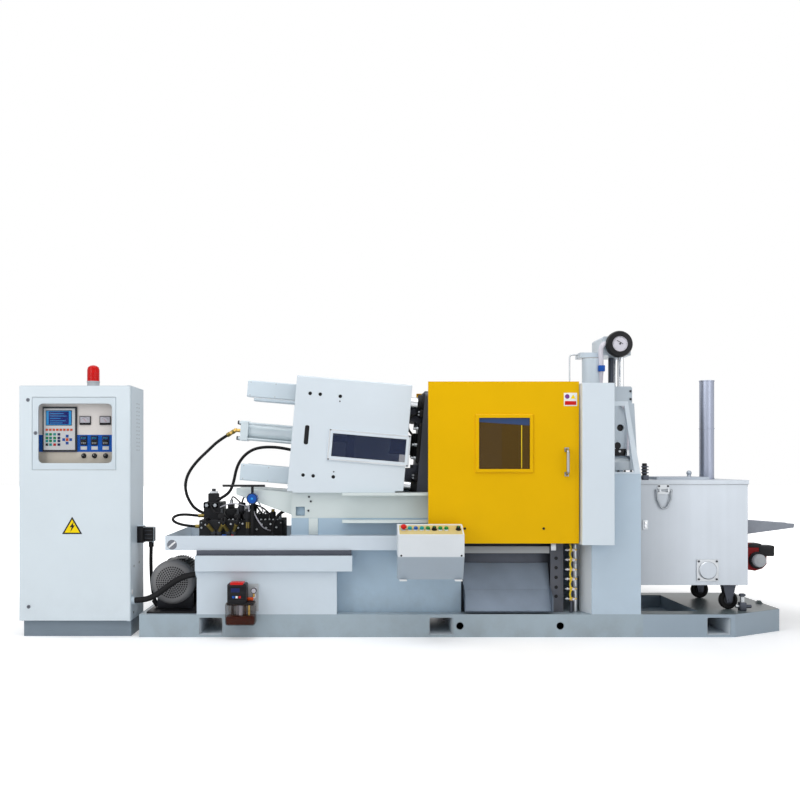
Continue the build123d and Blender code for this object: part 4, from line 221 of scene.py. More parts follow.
class Effects:
    """Shader groups that the finishes share."""

    def __init__(self) -> None:
        """Builds the groups once."""
        self.paint = self._paint()
        self.edges = self._edges()
        self.grain = self._grain()
        self.dust = self._dust()

    @staticmethod
    def _paint() -> Tree:
        """Sprayed paint: cloudy colour and a fine orange peel.

        Returns:
            The group.
        """
        group, graph, given, made = new_group(
            "Sprayed paint",
            [("Colour", "NodeSocketColor", (0.8, 0.8, 0.8, 1)), ("Variation", "NodeSocketFloat", 0.04),
             ("Gloss", "NodeSocketFloat", 0.4)],
            [("Colour", "NodeSocketColor"), ("Roughness", "NodeSocketFloat"), ("Height", "NodeSocketFloat")])
        place = graph.place()
        cloud = graph.add("ShaderNodeTexNoise", {"Vector": place, "Scale": 2.3, "Detail": 4.0, "Roughness": 0.6})
        peel = graph.add("ShaderNodeTexNoise", {"Vector": place, "Scale": 620.0, "Detail": 2.0})
        shade = graph.span(cloud.outputs[0], 0.3, 0.7, -1.0, 1.0)
        factor = graph.math("MULTIPLY_ADD", shade, given.outputs["Variation"], 1.0)
        tinted = graph.add("ShaderNodeVectorMath", {0: given.outputs["Colour"], "Scale": factor}, operation="SCALE")
        rough = graph.math("MULTIPLY_ADD", cloud.outputs[0], 0.12, given.outputs["Gloss"])
        graph.feed(made, {"Colour": tinted.outputs[0], "Roughness": rough, "Height": peel.outputs[0]})
        return group

    @staticmethod
    def _edges() -> Tree:
        """Softened edges: a rounded normal and a mask along worn corners.

        Returns:
            The group.
        """
        group, graph, given, made = new_group(
            "Soft edges",
            [("Radius", "NodeSocketFloat", 0.002), ("Wear", "NodeSocketFloat", 0.3)],
            [("Normal", "NodeSocketVector"), ("Mask", "NodeSocketFloat")])
        rounded = graph.add("ShaderNodeBevel", {"Radius": given.outputs["Radius"]}, samples=4)
        flat = graph.add("ShaderNodeNewGeometry").outputs["Normal"]
        same = graph.add("ShaderNodeVectorMath", {0: rounded.outputs[0], 1: flat}, operation="DOT_PRODUCT")
        place = graph.place()
        chips = graph.add("ShaderNodeTexNoise", {"Vector": place, "Scale": 38.0, "Detail": 5.0, "Roughness": 0.7})
        corner = graph.span(same.outputs["Value"], 0.995, 0.9, 0.0, 1.0)
        torn = graph.span(chips.outputs[0], 0.5, 0.62, 0.0, 1.0)
        mask = graph.math("MULTIPLY", graph.math("MULTIPLY", corner, torn), given.outputs["Wear"], clamp=True)
        graph.feed(made, {"Normal": rounded.outputs[0], "Mask": mask})
        return group

    @staticmethod
    def _grain() -> Tree:
        """Ground or brushed metal: streaks along a chosen direction and stains, with broad bands that paint reflection
        and shade.

        Returns:
            The group.
        """
        group, graph, given, made = new_group(
            "Brushed grain and painted light bands",
            [("Stretch", "NodeSocketVector", (1.0, 1.0, 0.03)), ("Scale", "NodeSocketFloat", 420.0),
             ("Roughness", "NodeSocketFloat", 0.35), ("Stain", "NodeSocketFloat", 0.1),
             ("Painted Light Bands", "NodeSocketFloat", 0.0)],
            [("Roughness", "NodeSocketFloat"), ("Height", "NodeSocketFloat"), ("Shade", "NodeSocketFloat")])
        place = graph.place()
        drawn = graph.add("ShaderNodeVectorMath", {0: place, 1: given.outputs["Stretch"]}, operation="MULTIPLY")
        streaks = graph.add("ShaderNodeTexNoise", {"Vector": drawn.outputs[0], "Scale": given.outputs["Scale"],
                                                   "Detail": 3.0})
        stains = graph.add("ShaderNodeTexNoise", {"Vector": place, "Scale": 5.0, "Detail": 5.0})
        rough = graph.math("MULTIPLY_ADD", streaks.outputs[0], 0.16, given.outputs["Roughness"])
        # Broad bands: painted reflection and shade, light and dark streaks.
        bands = graph.add("ShaderNodeTexNoise", {"Vector": drawn.outputs[0], "Scale": 26.0, "Detail": 2.0})
        stained = graph.math("MULTIPLY_ADD", graph.span(stains.outputs[0], 0.3, 0.7, -1.0, 0.6),
                             given.outputs["Stain"], 1.0)
        shade = graph.math("MULTIPLY_ADD", graph.span(bands.outputs[0], 0.3, 0.7, -1.0, 1.0),
                           given.outputs["Painted Light Bands"], stained)
        graph.feed(made, {"Roughness": rough, "Height": streaks.outputs[0], "Shade": shade})
        return group

    @staticmethod
    def _dust() -> Tree:
        """Dust and oil film: gathers on upward faces and low down.

        Returns:
            The group.
        """
        group, graph, given, made = new_group(
            "Workshop dust",
            [("Amount", "NodeSocketFloat", 0.2), ("Low", "NodeSocketFloat", 0.0),
             ("High", "NodeSocketFloat", 0.5)],
            [("Mask", "NodeSocketFloat")])
        place = graph.place()
        patches = graph.add("ShaderNodeTexNoise", {"Vector": place, "Scale": 7.0, "Detail": 6.0, "Roughness": 0.68})
        normal = graph.add("ShaderNodeNewGeometry").outputs["Normal"]
        upward = graph.span(graph.add("ShaderNodeSeparateXYZ", {0: normal}).outputs["Z"], 0.4, 0.95, 0.0, 1.0)
        height = graph.add("ShaderNodeSeparateXYZ", {0: place}).outputs["Z"]
        fall = graph.add("ShaderNodeMapRange", {0: height, 1: given.outputs["High"], 2: given.outputs["Low"],
                                                3: 0.0, 4: 1.0}).outputs[0]
        where = graph.math("MAXIMUM", graph.math("MULTIPLY", upward, 0.7), fall)
        cloud = graph.span(patches.outputs[0], 0.42, 0.66, 0.15, 1.0)
        mask = graph.math("MULTIPLY", graph.math("MULTIPLY", where, cloud), given.outputs["Amount"], clamp=True)
        graph.feed(made, {"Mask": mask})
        return group


class Finish:
    """A finish that can write its own material."""

    name: str

    def write(self, graph: Graph, surface: Node, effects: Effects) -> None:
        """Wires the finish into a material's Principled node.

        Args:
            graph: Writer of the material's tree.
            surface: Its Principled node.
            effects: The shared groups.
        """
        raise NotImplementedError


@dataclass(frozen=True)
class Paint(Finish):
    """Sprayed paint over steel, a little worn on its corners."""

    name: str
    colour: Colour
    gloss: float = 0.34
    variation: float = 0.035
    coat: float = 0.15
    wear: float = 0.25
    worn: Colour = (0.32, 0.33, 0.34)
    dirt: float = 0.12
    dirt_colour: Colour = (0.16, 0.15, 0.14)
    reach: float = 0.35
    soft_edge: float = 0.0025
    shine: float = 0.4

    def write(self, graph: Graph, surface: Node, effects: Effects) -> None:
        """Wires colour, wear and dust into the Principled node.

        Args:
            graph, surface, effects: As for every finish.
        """
        paint = graph.group(effects.paint, {"Colour": opaque(self.colour), "Variation": self.variation,
                                            "Gloss": self.gloss})
        edges = graph.group(effects.edges, {"Radius": self.soft_edge, "Wear": self.wear})
        dust = graph.group(effects.dust, {"Amount": self.dirt, "High": self.reach})
        worn = graph.mix(edges.outputs["Mask"], paint.outputs["Colour"], opaque(self.worn))
        dusty = graph.mix(dust.outputs["Mask"], worn, opaque(self.dirt_colour))
        bump = graph.add("ShaderNodeBump", {"Height": paint.outputs["Height"], "Normal": edges.outputs["Normal"],
                                            "Strength": 0.05, "Distance": 0.001})
        graph.feed(surface, {"Base Color": dusty, "Roughness": paint.outputs["Roughness"], "Normal": bump.outputs[0],
                             "Specular IOR Level": self.shine, "Coat Weight": self.coat,
                             "Coat Roughness": COAT_ROUGHNESS})


@dataclass(frozen=True)
class Metal(Finish):
    """Bare metal, ground, brushed, cast or polished.

    Its painted_shade_sweep darkens it along X, painted shade as where the column shades the furnace sheet: where that
    starts and ends, in metres, and its shade at the start.
    """

    name: str
    colour: Colour
    roughness: float = 0.35
    stretch: Point = (1.0, 1.0, 0.03)
    scale: float = 420.0
    relief: float = 0.12
    metallic: float = 1.0
    soft_edge: float = 0.0015
    dirt: float = 0.1
    stain: float = 0.12
    # Strength of the broad bands, which are painted reflection and shade.
    band: float = 0.0
    shine: float = 0.5
    painted_shade_sweep: tuple[float, float, float] = (0.0, 1.0, 1.0)

    def write(self, graph: Graph, surface: Node, effects: Effects) -> None:
        """Wires grain, stains, dust, painted light bands and painted shade along X into the Principled node.

        Args:
            graph, surface, effects: As for every finish.
        """
        grain = graph.group(effects.grain, {"Stretch": self.stretch, "Scale": self.scale, "Painted Light Bands": self.band,
                                            "Roughness": self.roughness, "Stain": self.stain})
        edges = graph.group(effects.edges, {"Radius": self.soft_edge})
        dust = graph.group(effects.dust, {"Amount": self.dirt})
        # Painted shade: the colour is darkened along X from start to end.
        start, end, shade = self.painted_shade_sweep
        across = graph.add("ShaderNodeSeparateXYZ", {0: graph.place()}).outputs["X"]
        scale = graph.math("MULTIPLY", grain.outputs["Shade"], graph.span(across, start, end, shade, 1.0))
        shaded = graph.add("ShaderNodeVectorMath", {0: self.colour, "Scale": scale}, operation="SCALE")
        dusty = graph.mix(dust.outputs["Mask"], shaded.outputs[0], (0.07, 0.065, 0.06, 1.0))
        bump = graph.add("ShaderNodeBump", {"Height": grain.outputs["Height"], "Normal": edges.outputs["Normal"],
                                            "Strength": self.relief, "Distance": 0.0006})
        graph.feed(surface, {"Base Color": dusty, "Roughness": grain.outputs["Roughness"], "Normal": bump.outputs[0],
                             "Metallic": self.metallic, "Specular IOR Level": self.shine})


@dataclass(frozen=True)
class Plastic(Finish):
    """Moulded plastic or rubber with a fine grain."""

    name: str
    colour: Colour
    roughness: float = 0.4
    relief: float = 0.1
    glow: float = 0.0
    shine: float = 0.18
    soft_edge: float = 0.001

    def write(self, graph: Graph, surface: Node, effects: Effects) -> None:
        """Wires the moulded grain into the Principled node.

        Args:
            graph, surface, effects: As for every finish.
        """
        place = graph.place()
        grain = graph.add("ShaderNodeTexNoise", {"Vector": place, "Scale": 900.0, "Detail": 2.0})
        edges = graph.group(effects.edges, {"Radius": self.soft_edge})
        bump = graph.add("ShaderNodeBump", {"Height": grain.outputs[0], "Normal": edges.outputs["Normal"],
                                            "Strength": self.relief, "Distance": 0.0005})
        rough = graph.math("MULTIPLY_ADD", grain.outputs[0], 0.1, self.roughness - 0.05)
        graph.feed(surface, {"Base Color": opaque(self.colour), "Roughness": rough, "Normal": bump.outputs[0],
                             "Specular IOR Level": self.shine})
        # Glow: light of screens and the beacon, and painted light on the operator panel's grey plate.
        if self.glow:
            graph.feed(surface, {"Emission Color": opaque(self.colour), "Emission Strength": self.glow})


@dataclass(frozen=True)
class Glass(Finish):
    """Thin tinted pane: mostly see-through, glossy, darker edge on."""

    name: str
    tint: Colour
    body: float = 0.5
    shine: float = 0.25

    def write(self, graph: Graph, surface: Node, effects: Effects) -> None:
        """Wires smears and see-through into the Principled node.

        Args:
            graph, surface: As for every finish. effects: Not used.
        """
        place = graph.place()
        smear = graph.add("ShaderNodeTexNoise", {"Vector": place, "Scale": 6.0, "Detail": 5.0})
        rough = graph.span(smear.outputs[0], 0.4, 0.7, 0.04, 0.16)
        facing = graph.add("ShaderNodeLayerWeight", {"Blend": 0.3}).outputs["Facing"]
        alpha = graph.math("MULTIPLY_ADD", facing, 0.4, self.body, clamp=True)
        graph.feed(surface, {"Base Color": opaque(self.tint), "Roughness": rough, "Alpha": alpha,
                             "Specular IOR Level": self.shine})


@dataclass(frozen=True)
class Banded(Finish):
    """Paint of two colours that meet at a height. On the cabinet's recessed plinth and on the furnace deck's top, the
    darker colour is painted shade.
    """

    name: str
    low: Colour
    high: Colour
    height: float
    blend: float = 0.004
    roughness: float = 0.4

    def write(self, graph: Graph, surface: Node, effects: Effects) -> None:
        """Wires the two bands into the Principled node.

        Args:
            graph, surface, effects: As for every finish.
        """
        level = graph.add("ShaderNodeSeparateXYZ", {0: graph.place()}).outputs["Z"]
        factor = graph.span(level, self.height - self.blend, self.height + self.blend, 0.0, 1.0)
        paint = graph.group(effects.paint, {"Colour": graph.mix(factor, opaque(self.low), opaque(self.high)),
                                            "Gloss": self.roughness})
        graph.feed(surface, {"Base Color": paint.outputs["Colour"], "Roughness": paint.outputs["Roughness"],
                             "Normal": graph.group(effects.edges).outputs["Normal"]})


class Palette:
    """Writes each finish once and hands out its material."""

    def __init__(self) -> None:
        """Builds the shared effects."""
        self.effects = Effects()
        self.made: dict[str, bpy.types.Material] = {}

    def material(self, finish: Finish) -> bpy.types.Material:
        """The material of a finish.

        Args:
            finish: The finish.

        Returns:
            Its material.
        """
        if finish.name not in self.made:
            material = bpy.data.materials.new(finish.name)
            material.use_nodes = True
            surface = material.node_tree.nodes["Principled BSDF"]
            finish.write(Graph(material.node_tree), surface, self.effects)
            self.made[finish.name] = material
        return self.made[finish.name]


PALETTE = Palette()

BASE_GREY = Paint("Base paint", srgb(158, 174, 184), dirt=0.3, reach=0.22, wear=0.5)
TANK_GREY = Paint("Tank paint", srgb(202, 214, 224), dirt=0.15, reach=0.3)
TRAY_GREY = Paint("Tray paint", srgb(206, 217, 227), dirt=0.25, reach=0.3)
PEDESTAL_GREY = Paint("Pedestal paint", srgb(170, 193, 211), dirt=0.3, reach=0.5)
BED_GREY = Paint("Bed paint", srgb(212, 222, 222), dirt=0.2, reach=0.5)
COLUMN_GREY = Paint("Column paint", srgb(184, 202, 217), dirt=0.2, reach=0.3)
WHITE = Paint("Machine white", srgb(215, 223, 230), dirt=0.1)
GUARD_WHITE = Paint("Guard white", srgb(212, 222, 230), variation=0.02, dirt=0.08)
CABINET_BLUE = Paint("Cabinet paint", srgb(214, 225, 232), variation=0.02, dirt=0.1, reach=0.4)
YELLOW = Paint("Safety yellow", srgb(230, 180, 0), gloss=0.32, coat=0.0, shine=0.1, variation=0.03, wear=0.15,
               dirt=0.06)
BURNER_RED = Paint("Burner red", srgb(128, 14, 18), gloss=0.3, coat=0.0, shine=0.15)
STEEL = Metal("Machined steel", srgb(150, 155, 160), roughness=0.34)
DARK_STEEL = Metal("Dark steel", srgb(76, 80, 90), roughness=0.42, metallic=0.7)
CHROME = Metal("Hard chrome", srgb(205, 208, 212), roughness=0.12, relief=0.03, dirt=0.02)
CASTING = Metal("Black casting", srgb(34, 35, 38), roughness=0.55, stretch=(1, 1, 1), scale=160, metallic=0.0,
                shine=0.2)
# Furnace sheet: painted shade darkens its left part, which the column shades; faint broad bands add painted reflection
# and shade.
SHEET = Metal("Furnace sheet", srgb(190, 197, 205), roughness=0.34, stretch=(1, 1, 0.02), relief=0.04, metallic=0.6,
              dirt=0.02, stain=0.025, band=0.015, painted_shade_sweep=(0.88, 1.55, 0.5))
CHUTE_STEEL = Metal("Chute steel", srgb(112, 124, 139), roughness=0.36, stretch=(0.02, 1, 1), metallic=0.6)
# Flue: its broad bands are painted reflection, light and dark vertical streaks round the tube.
FLUE_STEEL = Metal("Flue steel", srgb(146, 152, 168), roughness=0.3, metallic=0.9, stain=0.03, band=0.3)
BRASS = Metal("Brass", srgb(206, 170, 96), roughness=0.28)
LID_STEEL = Metal("Lid steel", srgb(176, 184, 194), roughness=0.4, stretch=(0.02, 1, 1), metallic=0.6)
OLD_BRASS = Metal("Old brass", srgb(136, 120, 66), roughness=0.4)
ZINC = Metal("Zinc plate", srgb(186, 190, 194), roughness=0.3, stretch=(1, 1, 1))
FACING_GREY = Paint("Facing plate paint", srgb(74, 78, 88), gloss=0.5, dirt=0.3, reach=0.6)
MOTOR_GREY = Paint("Motor paint", srgb(118, 118, 120), gloss=0.5, dirt=0.3, reach=0.5)
FIN_GREY = Metal("Motor fins", srgb(126, 126, 128), roughness=0.5, metallic=0.3)
LOCK_STEEL = Metal("Lock steel", srgb(104, 108, 116), roughness=0.3, stretch=(1, 1, 1))
BOLT_STEEL = Metal("Black bolts", srgb(64, 66, 70), roughness=0.38, stretch=(1, 1, 1), metallic=0.8)
RUBBER = Plastic("Black rubber", srgb(22, 22, 24), roughness=0.62, relief=0.25)
BLACK = Plastic("Black plastic", srgb(24, 24, 27), roughness=0.36)
DARK_GREY = Plastic("Dark grey plastic", srgb(58, 60, 66), roughness=0.42)
LIGHT_GREY = Plastic("Light grey plastic", srgb(176, 180, 184))
PURE_WHITE = Plastic("White plastic", srgb(232, 234, 236), roughness=0.38)
BONE = Plastic("Dial white", srgb(212, 210, 220), roughness=0.5)
RED = Plastic("Signal red", srgb(190, 14, 12), roughness=0.22, glow=0.12)
RED_CAP = Plastic("Red button", srgb(200, 24, 20), roughness=0.26)
ORANGE = Plastic("Orange button", srgb(224, 84, 30), roughness=0.3)
GREEN = Plastic("Green button", srgb(20, 132, 66), roughness=0.28)
TEAL = Plastic("Teal button", srgb(22, 150, 150), roughness=0.3)
BLUE = Plastic("Blue plastic", srgb(24, 82, 170), roughness=0.3)
NAVY = Plastic("Navy plastic", srgb(24, 34, 84), roughness=0.34)
BAND_BLUE = Plastic("Window band", srgb(52, 72, 112), roughness=0.25)
PANEL_BLUE = Plastic("Panel blue", srgb(10, 98, 204))
# The panel's grey plate glows a little: painted light, to look lit.
PANEL_GREY = Plastic("Panel grey with painted glow", srgb(246, 240, 236), glow=0.1)
PANEL_TAN = Plastic("Panel tan", srgb(226, 218, 204), roughness=0.45)
PURPLE = Plastic("Sign purple", srgb(120, 60, 140))
SIGN_YELLOW = Plastic("Sign yellow", srgb(248, 216, 0))
TUBE_YELLOW = Plastic("Yellow tube", srgb(226, 196, 44), roughness=0.35)
CYAN = Plastic("Screen cyan", srgb(40, 130, 190), roughness=0.3, glow=0.5)
SCREEN_BLACK = Plastic("Display black", srgb(16, 17, 22), roughness=0.16)
SCREEN = Plastic("Screen navy", srgb(20, 30, 96), roughness=0.2, glow=0.5)
OIL = Plastic("Dark oil", srgb(66, 14, 8), roughness=0.2)
DARK_GLASS = Glass("Guard glass", srgb(40, 52, 84), body=0.5)
SMOKED = Glass("Brown glass", srgb(82, 60, 14), body=0.84, shine=0.15)
CLEAR = Glass("Panel glass", srgb(60, 66, 72), body=0.04, shine=0.12)
BEAKER = Glass("Reservoir plastic", srgb(70, 46, 26), body=0.22, shine=0.12)


def clamp_point(u: float, v: float, w: float) -> Point:
    """Machine place, in mm, of a point of the tilted clamping frame."""
    x, z = CLAMP_ORIGIN
    return x + u * math.cos(TILT) + w * math.sin(TILT), v, z - u * math.sin(TILT) + w * math.cos(TILT)


def grid(across: Iterable[float], deep: Iterable[float], high: Iterable[float]) -> list[Point]:
    """Every place of a grid, in mm, from its places on each axis."""
    return list(product(across, deep, high))


def clamp_grid(along: Iterable[float], deep: Iterable[float], high: Iterable[float]) -> list[Point]:
    """Machine places, in mm, of a grid of the tilted clamping frame."""
    return [clamp_point(*place) for place in grid(along, deep, high)]


class Shape:
    """Mesh under construction. All lengths are in mm of the machine's frame."""

    def __init__(self) -> None:
        """Starts an empty mesh."""
        self.mesh = bmesh.new()
        self.finishes: list[Finish] = []

    def _index(self, finish: Finish) -> int:
        """Material index of a finish on this mesh.

        Args:
            finish: The finish.

        Returns:
            Its index.
        """
        if finish not in self.finishes:
            self.finishes.append(finish)
        return self.finishes.index(finish)

    def _close(self, finish: Finish) -> None:
        """Gives new faces, which still have index 0, their material's index plus one.

        Args:
            finish: Finish of the new faces.
        """
        index = self._index(finish) + 1
        for face in self.mesh.faces:
            if face.material_index == 0:
                face.material_index = index

    def box(self, low: Point, high: Point, finish: Finish, bevel: float = 1.5, turn: Matrix | None = None) -> "Shape":
        """Adds a box with rounded edges.

        Args:
            low: Its lower corner.
            high: Its upper corner.
            finish: Its finish.
            bevel: Width of its rounded edges.
            turn: Optional turn about its middle.

        Returns:
            This shape.
        """
        size = [abs(b - a) for a, b in zip(low, high)]
        middle = Vector([(a + b) / 2 for a, b in zip(low, high)])
        place = Matrix.Translation(middle) @ (turn or Matrix.Identity(4))
        made = bmesh.ops.create_cube(self.mesh, size=1.0, matrix=place @ Matrix.Diagonal((*size, 1.0)))
        edges = list({edge for vert in made["verts"] for edge in vert.link_edges})
        width = min(bevel, BEVEL_SHARE * min(size))
        bmesh.ops.bevel(self.mesh, geom=edges, offset=width, segments=2, affect="EDGES", profile=0.5)
        self._close(finish)
        return self

    def tilted(self, low: Point, high: Point, finish: Finish, bevel: float = 1.5) -> "Shape":
        """Box between two corners of the tilted clamping frame.

        Args:
            low, high: Its corners.
            finish, bevel: As for a box.

        Returns:
            This shape.
        """
        middle = clamp_point(*[(a + b) / 2 for a, b in zip(low, high)])
        half = [abs(b - a) / 2 for a, b in zip(low, high)]
        turn = Matrix.Rotation(TILT, 4, "Y")
        first = tuple(m - h for m, h in zip(middle, half))
        last = tuple(m + h for m, h in zip(middle, half))
        return self.box(first, last, finish, bevel, turn)

    def lathe(self, base: Point, direction: Point, profile: Sequence[tuple[float, float]], finish: Finish,
              sides: int = 32) -> "Shape":
        """Adds a turned solid.

        Args:
            base: Point on the axis where distances start.
            direction: Direction of the axis.
            profile: Distance along the axis and radius, from one end to the other.
            finish: Its finish.
            sides: Number of sides.

        Returns:
            This shape.
        """
        axis = Vector(direction).normalized()
        turn = axis.to_track_quat("Z", "Y").to_matrix()
        rings = []
        for along, radius in profile:
            centre = Vector(base) + axis * along
            if radius < POINT_RADIUS:
                rings.append([self.mesh.verts.new(centre)])
                continue
            ring = []
            for index in range(sides):
                angle = 2 * math.pi * index / sides
                spoke = Vector((math.cos(angle) * radius, math.sin(angle) * radius, 0.0))
                ring.append(self.mesh.verts.new(centre + turn @ spoke))
            rings.append(ring)
        for first, second in zip(rings, rings[1:]):
            for index in range(sides):
                after = (index + 1) % sides
                corners = [first[index % len(first)], first[after % len(first)],
                           second[after % len(second)], second[index % len(second)]]
                unique = list(dict.fromkeys(corners))
                if len(unique) > 2:
                    self.mesh.faces.new(unique)
        for ring in (rings[0], rings[-1]):
            if len(ring) > 2:
                self.mesh.faces.new(ring)
        self._close(finish)
        return self

    def rod(self, start: Point, end: Point, radius: float, finish: Finish, sides: int = 20,
            bevel: float = 1.0) -> "Shape":
        """Adds a round bar with bevelled ends.

        Args:
            start, end: Middles of its ends.
            radius, finish, sides: As for a turned solid.
            bevel: Width of its bevelled ends.

        Returns:
            This shape.
        """
        run = Vector(end) - Vector(start)
        edge = min(bevel, 0.4 * radius, BEVEL_SHARE * run.length)
        profile = [(0.0, radius - edge), (edge, radius), (run.length - edge, radius), (run.length, radius - edge)]
        return self.lathe(start, tuple(run), profile, finish, sides)

    def disc(self, base: Point, direction: Point, radius: float, height: float, finish: Finish,
             sides: int = 24) -> "Shape":
        """Adds a flat disc with sharp edges."""
        return self.lathe(base, direction, [(0, radius), (height, radius), (height, 0)], finish, sides)

    def tube(self, points: Sequence[Point], radius: float, finish: Finish, sides: int = 12,
             steps: int = 6) -> "Shape":
        """Adds a bent tube through smooth points.

        Args:
            points: Points that it passes through.
            radius, finish, sides: As for a bar.
            steps: Stretches between two points.

        Returns:
            This shape.
        """
        route = [Vector(point) for point in points]
        line = []
        for index in range(len(route) - 1):
            before = route[max(index - 1, 0)]
            here, there = route[index], route[index + 1]
            after = route[min(index + 2, len(route) - 1)]
            for step in range(steps):
                share = step / steps
                line.append(0.5 * ((2 * here) + (there - before) * share
                                   + (2 * before - 5 * here + 4 * there - after) * share ** 2
                                   + (3 * here - before - 3 * there + after) * share ** 3))
        line.append(route[-1])
        rings = []
        side = Vector((0.0, 1.0, 0.0))
        for index, point in enumerate(line):
            along = (line[min(index + 1, len(line) - 1)] - line[max(index - 1, 0)]).normalized()
            side = side - along * side.dot(along)
            if side.length < 0.05:
                side = along.orthogonal()
            side.normalize()
            other = along.cross(side)
            rings.append([self.mesh.verts.new(point + radius * (math.cos(a) * side + math.sin(a) * other))
                          for a in (2 * math.pi * k / sides for k in range(sides))])
        for first, second in zip(rings, rings[1:]):
            for index in range(sides):
                after = (index + 1) % sides
                self.mesh.faces.new([first[index], first[after], second[after], second[index]])
        self.mesh.faces.new(rings[0])
        self.mesh.faces.new(rings[-1])
        self._close(finish)
        return self

    def prism(self, outline: Sequence[tuple[float, float]], low: float, high: float, finish: Finish,
              axis: Axis = Axis.Y, bevel: float = 1.0) -> "Shape":
        """Adds a flat outline carried along an axis.

        Args:
            outline: Points in X and Z for the Y axis, in Y and Z for the X axis, in X and Y for the Z axis.
            low: Where it starts on the axis.
            high: Where it ends.
            finish: Its finish.
            axis: The axis it is carried along.
            bevel: Width of its rounded edges.

        Returns:
            This shape.
        """

        def point(pair: tuple[float, float], depth: float) -> Point:
            """Place of an outline point at a depth.

            Args:
                pair: The outline point.
                depth: Its place on the axis.

            Returns:
                The place.
            """
            if axis is Axis.Y:
                return pair[0], depth, pair[1]
            if axis is Axis.X:
                return depth, pair[0], pair[1]
            return pair[0], pair[1], depth

        rings = [[self.mesh.verts.new(point(pair, depth)) for pair in outline] for depth in (low, high)]
        count = len(outline)
        for index in range(count):
            after = (index + 1) % count
            self.mesh.faces.new([rings[0][index], rings[0][after], rings[1][after], rings[1][index]])
        caps = [self.mesh.faces.new(ring) for ring in rings]
        if bevel > 0:
            edges = list({edge for cap in caps for edge in cap.edges})
            bmesh.ops.bevel(self.mesh, geom=edges, offset=bevel, segments=1, affect="EDGES")
        self._close(finish)
        return self

    def ball(self, centre: Point, radius: float, finish: Finish, flat: float = 1.0) -> "Shape":
        """Adds a ball, flattened along Z by a share.

        Args:
            centre, radius, finish: Its middle, radius and finish.
            flat: Its height as a share of its width.

        Returns:
            This shape.
        """
        place = Matrix.Translation(Vector(centre)) @ Matrix.Diagonal((radius, radius, radius * flat, 1.0))
        bmesh.ops.create_uvsphere(self.mesh, u_segments=18, v_segments=10, radius=1.0, matrix=place)
        self._close(finish)
        return self

    def piece(self, name: str, body: str, slot: Slot, replaces: Iterable[str] = ()) -> Thing:
        """Turns the mesh into a piece of the object.

        Args:
            name: Name of the piece.
            body: CAD body that it moves with.
            slot: Not used.
            replaces: CAD nodes that it stands for.

        Returns:
            The piece.
        """
        for face in self.mesh.faces:
            face.material_index -= 1
        bmesh.ops.recalc_face_normals(self.mesh, faces=self.mesh.faces)
        bmesh.ops.scale(self.mesh, vec=(MM, MM, MM), verts=self.mesh.verts)
        data = bpy.data.meshes.new(name)
        self.mesh.to_mesh(data)
        self.mesh.free()
        for finish in self.finishes:
            data.materials.append(PALETTE.material(finish))
        data.shade_smooth()
        data.set_sharp_from_angle(angle=SMOOTH_ANGLE)
        return enlist(bpy.data.objects.new(name, data), body, replaces)


def enlist(thing: Thing, body: str, replaces: Iterable[str] = ()) -> Thing:
    """Adds an object to the scene as a piece of a body and reports it.

    Args:
        thing: The object.
        body: CAD body that it moves with.
        replaces: CAD nodes that it stands for.

    Returns:
        The object.
    """
    if thing.name not in bpy.context.scene.collection.objects:
        bpy.context.scene.collection.objects.link(thing)
    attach(thing, body)
    if replaces:
        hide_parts(*replaces)
    log.info("piece %s on %s", thing.name, body)
    return thing


